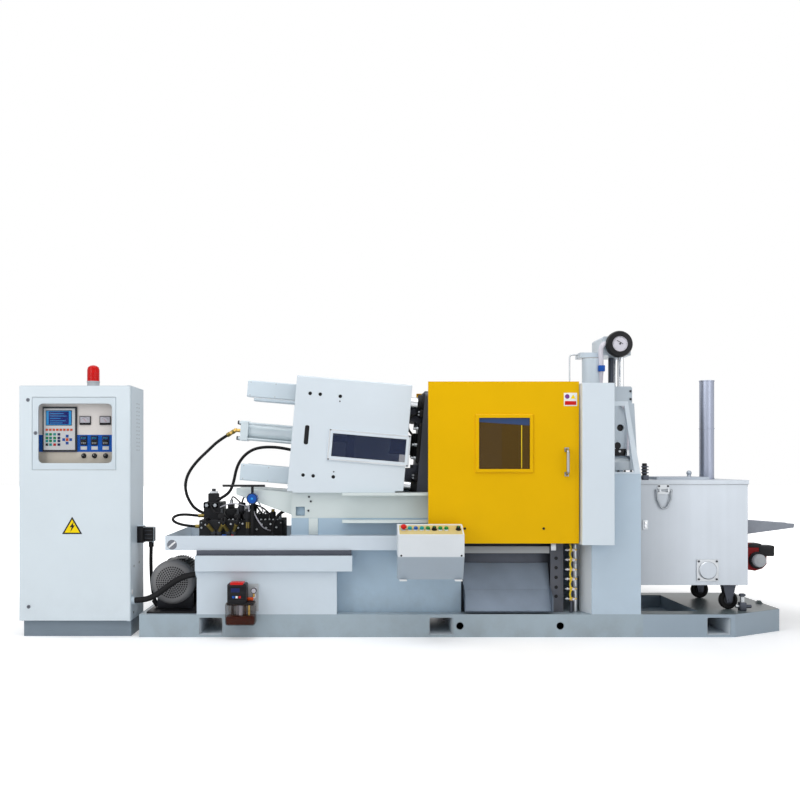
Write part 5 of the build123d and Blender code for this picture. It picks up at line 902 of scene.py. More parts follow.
@dataclass
class StudField:
    """Screws, rivets, dots or perforations, instanced by Geometry Nodes on places that each have a facing."""

    name: str
    radius: float
    height: float
    finish: Finish
    sides: int = 6
    top: float = 0.85
    studs: list[tuple[Point, Point]] = field(default_factory=list)

    def at(self, places: Iterable[Point], facing: Point = FRONT) -> "StudField":
        """Puts a stud at each place, in mm, all facing one way."""
        self.studs.extend((place, facing) for place in places)
        return self

    @staticmethod
    def _tree() -> Tree:
        """The node tree that instances the studs.

        Returns:
            The tree.
        """
        tree = bpy.data.node_groups.get("Stud field")
        if tree:
            return tree
        tree = bpy.data.node_groups.new("Stud field", "GeometryNodeTree")
        for label, kind, default in (("Geometry", "NodeSocketGeometry", None), ("Radius", "NodeSocketFloat", 0.004),
                                     ("Height", "NodeSocketFloat", 0.003), ("Top", "NodeSocketFloat", 0.85),
                                     ("Sides", "NodeSocketInt", 6), ("Material", "NodeSocketMaterial", None)):
            socket = tree.interface.new_socket(label, in_out="INPUT", socket_type=kind)
            if default is not None:
                socket.default_value = default
        tree.interface.new_socket("Geometry", in_out="OUTPUT", socket_type="NodeSocketGeometry")
        graph = Graph(tree)
        given = graph.add("NodeGroupInput").outputs
        disc = graph.add("GeometryNodeMeshCircle", {"Vertices": given["Sides"], "Radius": given["Radius"]},
                         fill_type="NGON")
        raised = graph.add("GeometryNodeExtrudeMesh", {"Mesh": disc.outputs["Mesh"],
                                                       "Offset Scale": given["Height"]})
        crown = graph.add("GeometryNodeScaleElements", {"Geometry": raised.outputs["Mesh"],
                                                        "Selection": raised.outputs["Top"], "Scale": given["Top"]})
        facing = graph.add("GeometryNodeInputNamedAttribute", {"Name": "facing"}, data_type="FLOAT_VECTOR")
        turn = graph.add("FunctionNodeAlignRotationToVector", {"Vector": facing.outputs["Attribute"]}, axis="Z")
        spots = graph.add("GeometryNodeMeshToPoints", {"Mesh": given["Geometry"]})
        copies = graph.add("GeometryNodeInstanceOnPoints", {"Points": spots.outputs[0],
                                                            "Instance": crown.outputs["Geometry"],
                                                            "Rotation": turn.outputs[0]})
        plain = graph.add("GeometryNodeRealizeInstances", {0: copies.outputs[0]})
        painted = graph.add("GeometryNodeSetMaterial", {"Geometry": plain.outputs[0],
                                                        "Material": given["Material"]})
        graph.add("NodeGroupOutput", {0: painted.outputs[0]})
        return tree

    def piece(self, body: str = "machine", slot: Slot = Slot.STEEL) -> Thing:
        """Evaluates the field to a plain mesh that rides on a body.

        Args:
            body: CAD body that it moves with.
            slot: Not used.

        Returns:
            The piece.
        """
        points = bpy.data.meshes.new(f"{self.name}_points")
        points.from_pydata([tuple(value * MM for value in place) for place, _ in self.studs], [], [])
        facing = points.attributes.new("facing", "FLOAT_VECTOR", "POINT")
        for spot, (_, direction) in zip(facing.data, self.studs):
            spot.vector = direction
        holder = bpy.data.objects.new(f"{self.name}_field", points)
        bpy.context.scene.collection.objects.link(holder)
        modifier = holder.modifiers.new("Studs", "NODES")
        modifier.node_group = self._tree()
        values = {"Radius": self.radius * MM, "Height": self.height * MM, "Top": self.top, "Sides": self.sides,
                  "Material": PALETTE.material(self.finish)}
        for item in modifier.node_group.interface.items_tree:
            if item.item_type == "SOCKET" and item.in_out == "INPUT" and item.name in values:
                modifier[item.identifier] = values[item.name]
        holder.update_tag()
        solved = holder.evaluated_get(bpy.context.evaluated_depsgraph_get())
        data = bpy.data.meshes.new_from_object(solved)
        bpy.data.objects.remove(holder)
        data.name = self.name
        return enlist(bpy.data.objects.new(self.name, data), body)


def ring_of(centre: Point, radius: float, count: int) -> list[Point]:
    """Places round a circle in the X-Z plane.

    Args:
        centre, radius: The circle.
        count: Number of places.

    Returns:
        The places.
    """
    x, y, z = centre
    angles = [2 * math.pi * index / count for index in range(count)]
    return [(x + radius * math.cos(a), y, z + radius * math.sin(a)) for a in angles]


def finish_node(node: str, finish: Finish) -> None:
    """Gives a CAD node its finish.

    Args:
        node: Name of the node.
        finish: Its finish.
    """
    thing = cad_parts[node]
    thing.data.materials.clear()
    thing.data.materials.append(PALETTE.material(finish))


class Assembly:
    """A sub-assembly: finishes of its CAD nodes, and the pieces that dress them."""

    finishes: dict[str, Finish] = {}

    def finish(self) -> None:
        """Finishes the CAD nodes of the sub-assembly."""
        for node, finish in self.finishes.items():
            finish_node(node, finish)

    def dress(self) -> None:
        """Adds the pieces of the sub-assembly."""

    def build(self) -> None:
        """Finishes and dresses the sub-assembly."""
        self.finish()
        self.dress()
        log.info("%s built", type(self).__name__)


@dataclass(frozen=True)
class Hose:
    """A free hose or cable along its route, in metres, that stands for its CAD node where it has one."""

    node: str
    route: Sequence[Point]
    length: float
    radius: float
    finish: Finish
    stiffness: str = "medium"
    has_node: bool = True

    def build(self) -> None:
        data = bpy.data.curves.new(f"{self.node}_line", "CURVE")
        data.dimensions = "3D"
        data.bevel_depth = self.radius
        data.bevel_resolution = 4
        data.resolution_u = 8
        data.use_fill_caps = True
        spline = data.splines.new("NURBS")
        spline.points.add(len(self.route) - 1)
        for point, place in zip(spline.points, self.route):
            point.co = (*place, 1.0)
        spline.order_u = 3
        spline.use_endpoint_u = True
        data.materials.append(PALETTE.material(self.finish))
        piece = enlist(bpy.data.objects.new(f"{self.node}_cord", data), "machine",
                       [self.node] if self.has_node else [])


@dataclass
class Hoses(Assembly):
    """Hydraulic hoses and the cables between cabinet, motor and tank."""

    hose_radius: float = 0.0105
    cable_radius: float = 0.012
    loop_radius: float = 0.0095
    conduit_radius: float = 0.019

    def cords(self) -> list[Hose]:
        """Every hose and cable with its route, length, radius and finish.

        Returns:
            The cords.
        """
        return [
            Hose("closing_hose", [
                (-1.64, 0, 1.337), (-1.704, -0.003, 1.298), (-1.775, -0.008, 1.229), (-1.85, -0.015, 1.157),
                (-1.908, -0.022, 1.08), (-1.934, -0.028, 1.003), (-1.928, -0.034, 0.93), (-1.9, -0.04, 0.868),
                (-1.86, -0.044, 0.815), (-1.806, -0.046, 0.79)], 0.72, self.hose_radius, RUBBER),
            Hose("tail_hose", [
                (-1.15, -0.1, 1.226), (-1.215, -0.1, 1.241), (-1.29, -0.1, 1.252), (-1.37, -0.1, 1.253),
                (-1.44, -0.1, 1.24), (-1.5, -0.1, 1.203), (-1.545, -0.1, 1.147), (-1.568, -0.1, 1.085),
                (-1.58, -0.1, 1.02), (-1.6, -0.1, 0.955), (-1.635, -0.1, 0.915), (-1.676, -0.1, 0.893)],
                0.732, self.hose_radius, RUBBER),
            Hose("bed_hose", [
                (-1.176, -0.345, 0.829), (-1.215, -0.345, 0.818), (-1.25, -0.345, 0.793), (-1.276, -0.345, 0.755),
                (-1.29, -0.345, 0.712), (-1.293, -0.345, 0.672)], 0.214, self.hose_radius, RUBBER),
            Hose("cabinet_cable", [
                (-2.12, -0.3, 0.586), (-2.123, -0.3, 0.5), (-2.121, -0.302, 0.415), (-2.117, -0.304, 0.335),
                (-2.106, -0.306, 0.262), (-2.092, -0.308, 0.196)], 0.392, self.cable_radius, RUBBER),
            Hose("valve_loop", [
                (-1.832, -0.06, 0.77), (-1.87, -0.059, 0.774), (-1.912, -0.06, 0.778), (-1.956, -0.074, 0.779),
                (-1.988, -0.108, 0.772), (-2.0, -0.155, 0.758), (-1.988, -0.203, 0.742), (-1.953, -0.237, 0.727),
                (-1.906, -0.25, 0.716), (-1.86, -0.251, 0.71), (-1.822, -0.25, 0.708)],
                0.456, self.loop_radius, RUBBER, has_node=False),
            Hose("motor_conduit", [
                (-2.19, -0.495, 0.235), (-2.12, -0.497, 0.238), (-2.05, -0.5, 0.268), (-1.985, -0.502, 0.318),
                (-1.915, -0.5, 0.368), (-1.85, -0.497, 0.398), (-1.786, -0.495, 0.408)],
                0.449, self.conduit_radius, RUBBER, "stiff"),
        ]

    def dress(self) -> None:
        """Draws every hose and cable."""
        for cord in self.cords():
            cord.build()


@dataclass
class Cabinet(Assembly):
    """Control cabinet with its door fittings and beacon."""

    front: float = -550.0
    side: float = -2208.0
    lock_radius: float = 12.0

    finishes = {
        # Below 105 mm the shell is darker: painted shade in the recessed plinth.
        "cabinet_body": Banded("Cabinet shell with painted plinth shade", srgb(120, 134, 146), srgb(196, 210, 220), 0.105),
        "cabinet_door": CABINET_BLUE,
        "operator_window": Paint("Window frame", srgb(206, 218, 226), gloss=0.3),
        "operator_glass": CLEAR,
    }

    def dress(self) -> None:
        """Adds locks, warning sign, louvres, beacon, rear cover and switchgear."""
        self.locks()
        self.sign()
        self.louvres()
        self.beacon()
        self.rear()
        self.inside()

    def lock(self, shape: Shape, x: float, z: float, y: float) -> None:
        """Quarter-turn lock with its slot.

        Args:
            shape: Mesh that it joins.
            x, z: Its middle.
            y: The face that it sits in.
        """
        r = self.lock_radius
        shape.lathe((x, y + 1, z), FRONT, [(0, r), (4, r), (5, r - 2), (5, r - 6), (2.5, r - 7), (2.5, 0)], LOCK_STEEL)
        shape.box((x - 1.5, y - 2.8, z - 4), (x + 1.5, y - 1.0, z + 4), BLACK, 0.3)

    def locks(self) -> None:
        """Locks of the door and of the operator window."""
        door = Shape()
        for x, z in ((-2879, 1555), (-2874, 200)):
            self.lock(door, x, z, self.front)
        door.piece("cabinet_locks", "cabinet_door", Slot.STEEL)
        window = Shape()
        self.lock(window, -2830, 1338, self.front + 3)
        window.piece("window_lock", "operator_window", Slot.STEEL)

    def sign(self) -> None:
        """Generic hazard triangle with a bolt."""
        y = self.front
        shape = Shape()
        shape.prism([(-2655, 676), (-2523, 676), (-2589, 790)], y - 0.8, y + 0.2, BLACK, bevel=0)
        shape.prism([(-2639, 685), (-2539, 685), (-2589, 772)], y - 1.2, y - 0.7, SIGN_YELLOW, bevel=0)
        shape.prism([(-2579, 757), (-2605, 721), (-2592, 721), (-2601, 690), (-2571, 733), (-2584, 733)],
                    y - 1.5, y - 1.1, BLACK, bevel=0)
        shape.piece("cabinet_warning_sign", "cabinet_door", Slot.YELLOW)

    def louvres(self) -> None:
        """Vent dots and cable holes in the cabinet's side."""
        vents = grid([self.side], (-343.0, -278.0), range(1229, 1542, 26))
        StudField("cabinet_vents", 5.0, 0.4, BLACK, sides=14, top=1.0).at(vents, RIGHT).piece("machine", Slot.PLASTIC)
        holes = [(self.side, y, z) for y, z in ((-272, 465), (-437, 455), (-450, 150))]
        StudField("cabinet_holes", 9.0, 0.6, BLACK, sides=18, top=1.0).at(holes, RIGHT).piece("machine", Slot.PLASTIC)
        plate = Shape().lathe((self.side, -497, 290), RIGHT, [(0, 17), (2, 17), (3, 15), (3, 0)], PURE_WHITE)
        plate.box((self.side, -346, 602), (self.side + 41, -254, 714), BLACK, 4)
        plate.box((self.side + 30, -334, 608), (self.side + 113, -266, 708), BLACK, 8)
        plate.rod((-2120, -300, 572), (-2120, -300, 609), 17.5, BLACK)
        for z in (632, 658, 684):
            plate.box((self.side + 50, -337, z - 3), (self.side + 100, -263, z + 3), DARK_GREY, 1)
        plate.piece("cabinet_connector_cover", "machine", Slot.PLASTIC)

    @staticmethod
    def rear() -> None:
        """Cover sheet on the back with its screws."""
        back = Shape().box((-2900, -130.2, 130), (-2238, -128, 1620), CABINET_BLUE, 0.8)
        back.piece("cabinet_rear_cover", "machine", Slot.CABINET)
        screws = grid((-2880, -2258), [-128], (160, 520, 880, 1240, 1590))
        StudField("cabinet_rear_screws", 6.0, 3.0, ZINC, sides=12).at(screws, BACK).piece()

    @staticmethod
    def inside() -> None:
        """Mounting plate with cable ducts and rows of switchgear, seen when the door is open."""
        gear = Shape().box((-2890, -146, 190), (-2250, -141.9, 1560), ZINC, 0.5)
        for z in (210, 520, 830, 1140, 1450):
            gear.box((-2880, -196, z), (-2260, -146, z + 50), LIGHT_GREY, 2)
        rows = ((300, 90, 180, 110), (620, 62, 120, 90), (930, 45, 110, 80), (1240, 28, 120, 70))
        gap, run = 8, 560
        for row, (z, width, height, depth) in enumerate(rows):
            gear.box((-2870, -154, z + height / 2 - 17), (-2270, -146, z + height / 2 + 17), STEEL, 0.5)
            for step in range(int(run / (width + gap))):
                x = -2860 + step * (width + gap)
                gear.box((x, -150 - depth, z), (x + width, -153, z + height), (DARK_GREY, BONE)[(row + step) % 2], 2)
                gear.box((x + 5, -154 - depth, z + height * 0.4), (x + width - 5, -149 - depth, z + height * 0.6),
                         BLACK, 1)
        gear.piece("cabinet_switchgear", "machine", Slot.PLASTIC)

    @staticmethod
    def beacon() -> None:
        """Signal lamp: grey base, ribbed red dome."""
        low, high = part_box("beacon")
        x, y = (low.x + high.x) / 2 / MM, (low.y + high.y) / 2 / MM
        z0, z1 = low.z / MM, high.z / MM
        shape = Shape()
        shape.lathe((x, y, z0), UP, [(0, 44), (6, 44), (8, 41), (30, 41), (32, 43.5), (41, 43.5), (41, 36)],
                    LIGHT_GREY, 40)
        dome = [(41, 41), (z1 - z0 - 34, 41), (z1 - z0 - 14, 36), (z1 - z0 - 4, 22), (z1 - z0, 6), (z1 - z0, 0)]
        shape.lathe((x, y, z0), UP, dome, RED, 40)
        for height in (56, 72, 88):
            shape.lathe((x, y, z0 + height), UP, [(0, 40), (2, 42), (4, 42), (6, 40)], RED, 40)
        shape.piece("beacon_lamp", "machine", Slot.RED, ["beacon"])


@dataclass
class OperatorPanel(Assembly):
    """Operator panel behind the cabinet's window."""

    face: float = -474.0
    left: float = -2853.0
    right: float = -2301.0
    bottom: float = 1095.0
    top: float = 1574.0

    def dress(self) -> None:
        """Adds the panel's tray, display, meters, controllers and knobs."""
        body = Shape()
        y = self.face
        for low, high, finish in ((self.bottom - 3, 1215, PANEL_TAN), (1215, 1328, PANEL_BLUE),
                                  (1328, self.top + 3, PANEL_GREY)):
            body.box((self.left - 3, y, low), (self.right + 3, y + 3, high), finish, 0.3)
        for x in (self.left - 3.6, self.right + 0.6):
            body.box((x, -529.6, self.bottom - 3.6), (x + 3, y + 3, self.top + 3.6), LIGHT_GREY, 0.3)
        for z in (self.bottom - 3.6, self.top + 0.6):
            body.box((self.left - 3, -529.6, z), (self.right + 3, y + 3, z + 3), LIGHT_GREY, 0.3)
        body.box((self.left - 3.6, y + 3, self.bottom - 3.6), (self.right + 3.6, y + 4, self.top + 3.6), LIGHT_GREY,
                 0.3)
        self.display(body)
        for x in (-2522, -2389.5):
            self.meter(body, x)
        for x in (-2532.5, -2461.5, -2387.5):
            self.controller(body, x)
        body.piece("operator_panel_face", "cabinet_door", Slot.WHITE, ["operator_panel"])

    def display(self, body: Shape) -> None:
        """Terminal with its screen and keys.

        Args:
            body: Mesh that it joins.
        """
        y = self.face
        body.box((-2803, y - 15, 1216), (-2575, y + 1, 1514), DARK_GREY, 4)
        body.box((-2794, y - 16.5, 1228), (-2587, y - 14, 1502), PURE_WHITE, 1)
        body.box((-2780, y - 17.6, 1389), (-2607, y - 16, 1490), BLACK, 1)
        body.box((-2776, y - 18.2, 1393), (-2611, y - 17, 1486), CYAN, 0.3)
        body.box((-2760, y - 18.8, 1397), (-2627, y - 17.6, 1482), SCREEN, 0.3)
        for row, width in ((1468, 90), (1452, 110), (1436, 70), (1420, 104), (1406, 84)):
            body.box((-2752, y - 19.2, row - 2), (-2752 + width, y - 18.4, row + 2), CYAN, 0.2)
        for step in range(8):
            x = -2773 + 23.2 * step
            body.box((x - 8, y - 19, 1354), (x + 8, y - 16, 1368), ORANGE, 1.2)
        columns = (-2772, -2748, -2721, -2693)
        for row, z in enumerate((1331, 1307, 1287, 1263)):
            for column, x in enumerate(columns):
                finish = NAVY if column == 3 else (TEAL, GREEN)[(row + column) % 2]
                if row == 3:
                    finish = (BLACK, TEAL, RED_CAP, NAVY)[column]
                body.box((x - 9, y - 19, z - 8), (x + 9, y - 16, z + 8), finish, 1.2)
        for dx, dz in ((-23, 0), (23, 0), (0, -23), (0, 23)):
            body.box((-2638 + dx - 9, y - 19, 1296 + dz - 9), (-2638 + dx + 9, y - 16, 1296 + dz + 9), BLUE, 1.5)
        body.box((-2647, y - 19.5, 1287), (-2629, y - 16, 1305), ORANGE, 1.5)

    def meter(self, body: Shape, x: float) -> None:
        """Panel meter with a white scale and a pointer.

        Args:
            body: Mesh that it joins.
            x: Its middle.
        """
        y = self.face
        body.box((x - 37, y - 11, 1393), (x + 37, y + 1, 1452), BLACK, 2)
        body.box((x - 32, y - 12, 1408), (x + 32, y - 10.5, 1447), BONE, 0.5)
        for step in range(9):
            angle = math.radians(40 + 12.5 * step)
            place = (x + 26 * math.cos(angle), 1412 + 30 * math.sin(angle))
            body.box((place[0] - 0.8, y - 12.5, place[1] - 2), (place[0] + 0.8, y - 11.8, place[1] + 2), BLACK, 0.1)
        body.box((x - 0.8, y - 12.8, 1411), (x + 0.8, y - 12, 1438), RED_CAP, 0.2,
                 Matrix.Rotation(math.radians(-38), 4, "Y"))

    def controller(self, body: Shape, x: float) -> None:
        """Temperature controller over its rotary knob.

        Args:
            body: Mesh that it joins.
            x: Its middle.
        """
        y = self.face
        body.box((x - 22, y - 9, 1260), (x + 22, y + 1, 1322), BLACK, 2)
        body.box((x - 17, y - 9.8, 1296), (x + 17, y - 8.5, 1316), SCREEN, 0.5)
        for step in range(3):
            body.box((x - 15 + 11 * step, y - 10.3, 1302), (x - 9 + 11 * step, y - 9.6, 1311), TEAL, 0.2)
            body.box((x - 15 + 11 * step, y - 10.6, 1270), (x - 8 + 11 * step, y - 9, 1278), LIGHT_GREY, 0.5)
        body.box((x - 21, y - 1.2, 1229), (x + 21, y + 1, 1252), PURE_WHITE, 0.3)
        body.lathe((x, y + 1, 1189), FRONT, [(0, 17), (4, 17), (5, 12.5), (22, 11), (24, 9), (24, 0)], BLACK, 24)
        body.box((x - 1.2, y - 24, 1189), (x + 1.2, y - 22.5, 1200), PURE_WHITE, 0.2)


@dataclass
class LubePump(Assembly):
    """Lubricator hung on the base's front: clear reservoir under a black head."""

    left: float = -1573.0
    bottom: float = 95.0
    width: float = 194.0
    back: float = -550.5

    def dress(self) -> None:
        """Adds the lubricator."""
        shape = Shape()
        x0, x1, back = self.left, self.left + self.width, self.back
        shape.box((x0 + 5, back - 125, self.bottom + 4), (x1 - 5, back - 15, self.bottom + 62), OIL, 12)
        shape.box((x0, back - 130, self.bottom), (x1, back - 10, self.bottom + 147), BEAKER, 14)
        for x, radius, finish in ((42, 8, DARK_GREY), (96, 14, BONE), (150, 7, BRASS), (72, 3, BONE), (124, 4, OIL)):
            shape.rod((x0 + x, back - 70, self.bottom + 30), (x0 + x, back - 70, self.bottom + 145), radius, finish, 16)
        shape.box((x0 + 10, back - 128, self.bottom + 130), (x1 - 10, back - 14, self.bottom + 149), BLACK, 6)
        for step in range(3):
            z = self.bottom + 35 + 30 * step
            shape.box((x0 + 148, back - 130.5, z), (x0 + 176, back - 129.5, z + 2.5), BLACK, 0.2)
        shape.box((x0 + 6, back - 12, 172), (x1 + 12, back, 352), LIGHT_GREY, 2)
        shape.box((x0 + 15, back - 139.5, 242), (x0 + 140, back - 20, 366), BLACK, 10)
        shape.box((x0 + 34, back - 138, 352), (x0 + 120, back - 40, 374), RED_CAP, 4)
        shape.box((x0 + 22, back - 139.8, 262), (x0 + 132, back - 138, 350), SCREEN_BLACK, 3)
        shape.box((x0 + 40, back - 140.4, 312), (x0 + 96, back - 139.4, 338), NAVY, 1)
        for low, high, finish in ((48, 64, BLUE), (70, 84, PURE_WHITE), (90, 104, RED_CAP)):
            shape.box((x0 + low, back - 140.4, 274), (x0 + high, back - 138.5, 288), finish, 3)
        shape.rod((-1395, back - 50, 262), (-1395, back - 50, 296), 7, BRASS)
        shape.lathe((-1395, back - 30, 311), FRONT, [(0, 18), (26, 19), (28, 17), (27, 15), (27, 0)], BLACK, 24)
        shape.disc((-1395, back - 57.2, 311), FRONT, 15, 0.6, BONE, 24)
        shape.box((x0 + 138, back - 70, 250), (x0 + 176, back - 34, 268), ORANGE, 3)
        shape.tube([(x0 + 168, back - 52, 262), (x0 + 190, back - 60, 272), (-1388, back - 40, 300),
                    (-1384, back - 8, 330)], 4, BONE)
        shape.piece("lubricator", "machine", Slot.PLASTIC, ["lube_pump"])


@dataclass
class PumpMotor(Assembly):
    """Pump motor with cooling fins and a perforated fan cover."""

    x: float = -1954.0
    z: float = 347.0
    radius: float = 148.0
    front: float = -450.0
    length: float = 560.0
    fins: int = 48

    def dress(self) -> None:
        """Adds motor body, fins, cover and its holes."""
        shape = Shape()
        x, z, r, front = self.x, self.z, self.radius, self.front
        back = front + self.length
        cover = [(0, 0), (0, 58), (2, 62), (2, 104), (5, 124), (16, 140), (30, r - 1), (88, r - 1), (90, r - 6),
                 (90, 118), (self.length, 118), (self.length, 0)]
        shape.lathe((x, front, z), BACK, cover, MOTOR_GREY, 56)
        for index in range(self.fins):
            angle = 2 * math.pi * index / self.fins
            middle = Vector((x, (front + 92 + back - 62) / 2, z)) + Vector((math.cos(angle), 0, math.sin(angle))) * 126
            shape.box((middle.x - 15, front + 94, middle.z - 1.6), (middle.x + 15, back - 62, middle.z + 1.6),
                      FIN_GREY, 0.8, Matrix.Rotation(-angle, 4, "Y"))
        for y in (front + 150, back - 120):
            shape.box((x - 119, y - 29, 161), (x + 119, y + 29, 258), DARK_GREY, 3)
        shape.box((x - 60, front + 170, z + 100), (x + 60, front + 300, z + 140), BLACK, 6)
        shape.box((-2110, -510, 150.2), (-1783, 240, 162), BLACK, 1.5)
        shape.rod((-2102, -308.7, 214), (-2072, -310, 172), 17, BLACK)
        shape.piece("pump_motor_body", "machine", Slot.CASTING, ["pump_motor"])
        # Black dots for the fan cover's holes: painted shade inside the perforations.
        holes = StudField("fan_cover_holes", 5.6, 0.4, BLACK, sides=8, top=1.0)
        for ring in range(7):
            radius = 14 + 14.5 * ring
            holes.at(ring_of((x, front + 2 if radius > 60 else front, z), radius, 6 + 6 * ring))
        holes.piece("machine", Slot.CASTING)


@dataclass
class Hydraulics(Assembly):
    """Oil tank, drip tray and the hydraulic manifold standing in it, sized by its valve block."""

    front: float = -290.0
    top: float = 750.0

    finishes = {"oil_tank": TANK_GREY, "drip_tray": TRAY_GREY, "hydraulic_manifold": CASTING}

    def dress(self) -> None:
        """Adds valve fittings, lines, level gauge, tray badge and screws."""
        shape = Shape()
        self.valves(shape)
        self.standing(shape)
        self.lines(shape)
        shape.piece("hydraulic_fittings", "machine", Slot.CASTING)
        self.tank()
        self.screws()

    def valves(self, shape: Shape) -> None:
        """Valves, plugs and gauge head on the valve block.

        Args:
            shape: Mesh that they join.
        """
        for x, y in ((-1764, -120), (-1706, -120), (-1735, -20)):
            shape.box((x - 24, y - 30, 826), (x + 24, y + 30, 866), BLACK, 4)
            shape.lathe((x, y - 31, 846), FRONT, [(0, 14), (10, 14), (12, 11), (12, 0)], STEEL, 6)
        shape.box((-1752, -104, 927), (-1698, -46, 944), ZINC, 4)
        shape.rod((-1725, -75, 944), (-1725, -75, 962), 14, BOLT_STEEL)
        for x, lean in ((-1700, -34), (-1660, 30), (-1600, -26), (-1560, 22)):
            shape.rod((x, -292, 676), (x + lean, -330, 724), 13, OLD_BRASS, 12)
            shape.rod((x, -288, 668), (x, -306, 668), 17, BOLT_STEEL, 6)
            shape.tube([(x + lean, -330, 724), (x + 1.5 * lean, -320, 752), (x + 1.2 * lean, -270, 764),
                        (x + lean, -220, 752)], 9, RUBBER, 10)
        for x in (-1650, -1540, -1480):
            shape.box((x - 22, -250, self.top), (x + 22, -170, 790), BLACK, 4)
            shape.lathe((x, -210, 790), UP, [(0, 15), (14, 15), (16, 11), (34, 11), (36, 8), (36, 0)], BOLT_STEEL, 6)
        shape.box((-1640, -300, 640), (-1610, -292, 656), BLUE, 2)
        shape.box((-1576, -300, 640), (-1560, -292, 656), RED_CAP, 2)
        shape.box((-1500, -170, 812), (-1466, -110, 846), PURE_WHITE, 4)
        for x in (-1430, -1390, -1350):
            shape.box((x - 14, -205, 784), (x + 14, -150, 806), BLACK, 3)
            shape.rod((x, -206, 795), (x, -222, 795), 6, CHROME)
        shape.lathe((-1520, -140, 806), UP, [(0, 31), (30, 31), (34, 26), (60, 24.5), (60, 0)], DARK_GREY, 24)
        shape.lathe((-1418, -423, 905), FRONT, [(0, 30), (4, 37.5), (56, 37.5), (62, 30), (62, 0)], BLUE, 12)
        shape.disc((-1418, -484.5, 905), FRONT, 8, 1.5, CYAN, 20)
        for x in (-1470, -1400, -1340, -1290):
            shape.disc((x, -481, 618), FRONT, 13, 2.5, OLD_BRASS, 6)
        shape.box((-1424, -464, 942), (-1412, -440, 984), BLACK, 2)
        shape.box((-1640, -120, 749), (-1560, 40, 822), CASTING, 6)
        shape.box((-1625, -100, 822), (-1580, -40, 858), BLACK, 5)

    @staticmethod
    def standing(shape: Shape) -> None:
        """Round valves and unions, each with its ends, radius, finish and number of sides.

        Args:
            shape: Mesh that they join.
        """
        for start, end, radius, finish, sides in (
                ((-1460, -330, 650), (-1460, -330, 760), 16, CASTING, 20),
                ((-1460, -330, 700), (-1460, -330, 742), 18, OLD_BRASS, 6),
                ((-1460, -330, 760), (-1460, -330, 812), 24, CASTING, 20),
                ((-1418, -450, 650), (-1418, -450, 868), 11.6, RUBBER, 20),
                ((-1616, -450, 990), (-1334, -450, 990), 7.6, BLACK, 20),
                ((-1602, -70, 858), (-1602, -70, 884), 12, ZINC, 12),
                ((-1450, -60, 749), (-1450, -60, 846), 26, CASTING, 20),
                ((-1450, -60, 846), (-1450, -60, 868), 16, STEEL, 6),
                ((-1300, -200, 749), (-1300, -200, 806), 20, CASTING, 20),
                ((-1300, -200, 806), (-1300, -200, 824), 12, OLD_BRASS, 6),
                ((-1260, -140, 749), (-1260, -140, 790), 16, ZINC, 20),
                ((-1784, -60, 770), (-1836, -60, 770), 14, OLD_BRASS, 6),
                ((-1796, -250, 708), (-1828, -250, 708), 14, OLD_BRASS, 6)):
            shape.rod(start, end, radius, finish, sides)

    @staticmethod
    def lines(shape: Shape) -> None:
        """Thin signal wires and short hoses between the valves.

        Args:
            shape: Mesh that they join.
        """
        wires = (((-1446, -180, 806), (-1500, -220, 850), (-1580, -230, 862), (-1640, -180, 846), (-1676, -140, 830)),
                 ((-1370, -180, 806), (-1400, -260, 880), (-1440, -330, 900), (-1452, -330, 860), (-1455, -330, 812)),
                 ((-1418, -440, 870), (-1405, -430, 800), (-1360, -400, 720), (-1330, -330, 690), (-1300, -292, 680)))
        for route in wires:
            shape.tube(route, 4, BONE)
        hoses = ((6, ((-1520, -140, 866), (-1500, -160, 905), (-1450, -180, 880), (-1390, -170, 806))),
                 (6, ((-1450, -86, 830), (-1430, -150, 850), (-1370, -190, 830), (-1320, -215, 790))),
                 (5, ((-1602, -70, 880), (-1580, -140, 906), (-1530, -180, 870), (-1505, -176, 840))),
                 (7, ((-1740, -150, 846), (-1700, -200, 800), (-1640, -240, 790), (-1600, -250, 760))))
        for radius, route in hoses:
            shape.tube(route, radius, RUBBER, 10)

    @staticmethod
    def tank() -> None:
        """Level gauge and drain plug at the back of the tank, and the badge on the tray's front."""
        rear = Shape().box((-1330, 549.5, 250), (-1290, 562, 400), ZINC, 3)
        rear.box((-1322, 561.5, 262), (-1298, 564, 388), OIL, 1)
        rear.lathe((-1500, 549.5, 200), BACK, [(0, 24), (12, 24), (14, 16), (26, 16), (26, 0)], BRASS, 6)
        rear.piece("tank_level_gauge", "machine", Slot.STEEL)
        badge = Shape().disc((-1935, -550, 606), FRONT, 32, 1, LOCK_STEEL, 36)
        badge.box((-1964, -551.6, 601), (-1906, -550.8, 612), PURE_WHITE, 0.3, Matrix.Rotation(-0.7, 4, "Y"))
        badge.piece("tray_badge", "machine", Slot.BASE)

    def screws(self) -> None:
        """Bolts and plugs on the front and top of the valve block."""
        bolts = StudField("valve_bolts", 5.0, 4.0, STEEL, sides=8)
        bolts.at(grid((-1772, -1668), (-130, 40), [868]), UP)
        bolts.at(grid((-1780, -1660, -1520, -1380, -1240), [self.front], (600, 735)))
        bolts.piece("machine", Slot.CASTING)
        places = ((-1780, 700), (-1752, 722), (-1724, 696), (-1640, 722), (-1616, 694), (-1580, 726), (-1530, 700),
                  (-1500, 728), (-1440, 712), (-1404, 690), (-1370, 724), (-1340, 700), (-1310, 726), (-1270, 704))
        plugs = StudField("valve_plugs", 8.0, 9.0, ZINC, sides=12, top=0.7)
        plugs.at((x, self.front, z) for x, z in places)
        plugs.at([(-1630 + 28 * step, -240 + 14 * (step % 3), self.top) for step in range(len(places))], UP)
        plugs.piece("machine", Slot.CASTING)


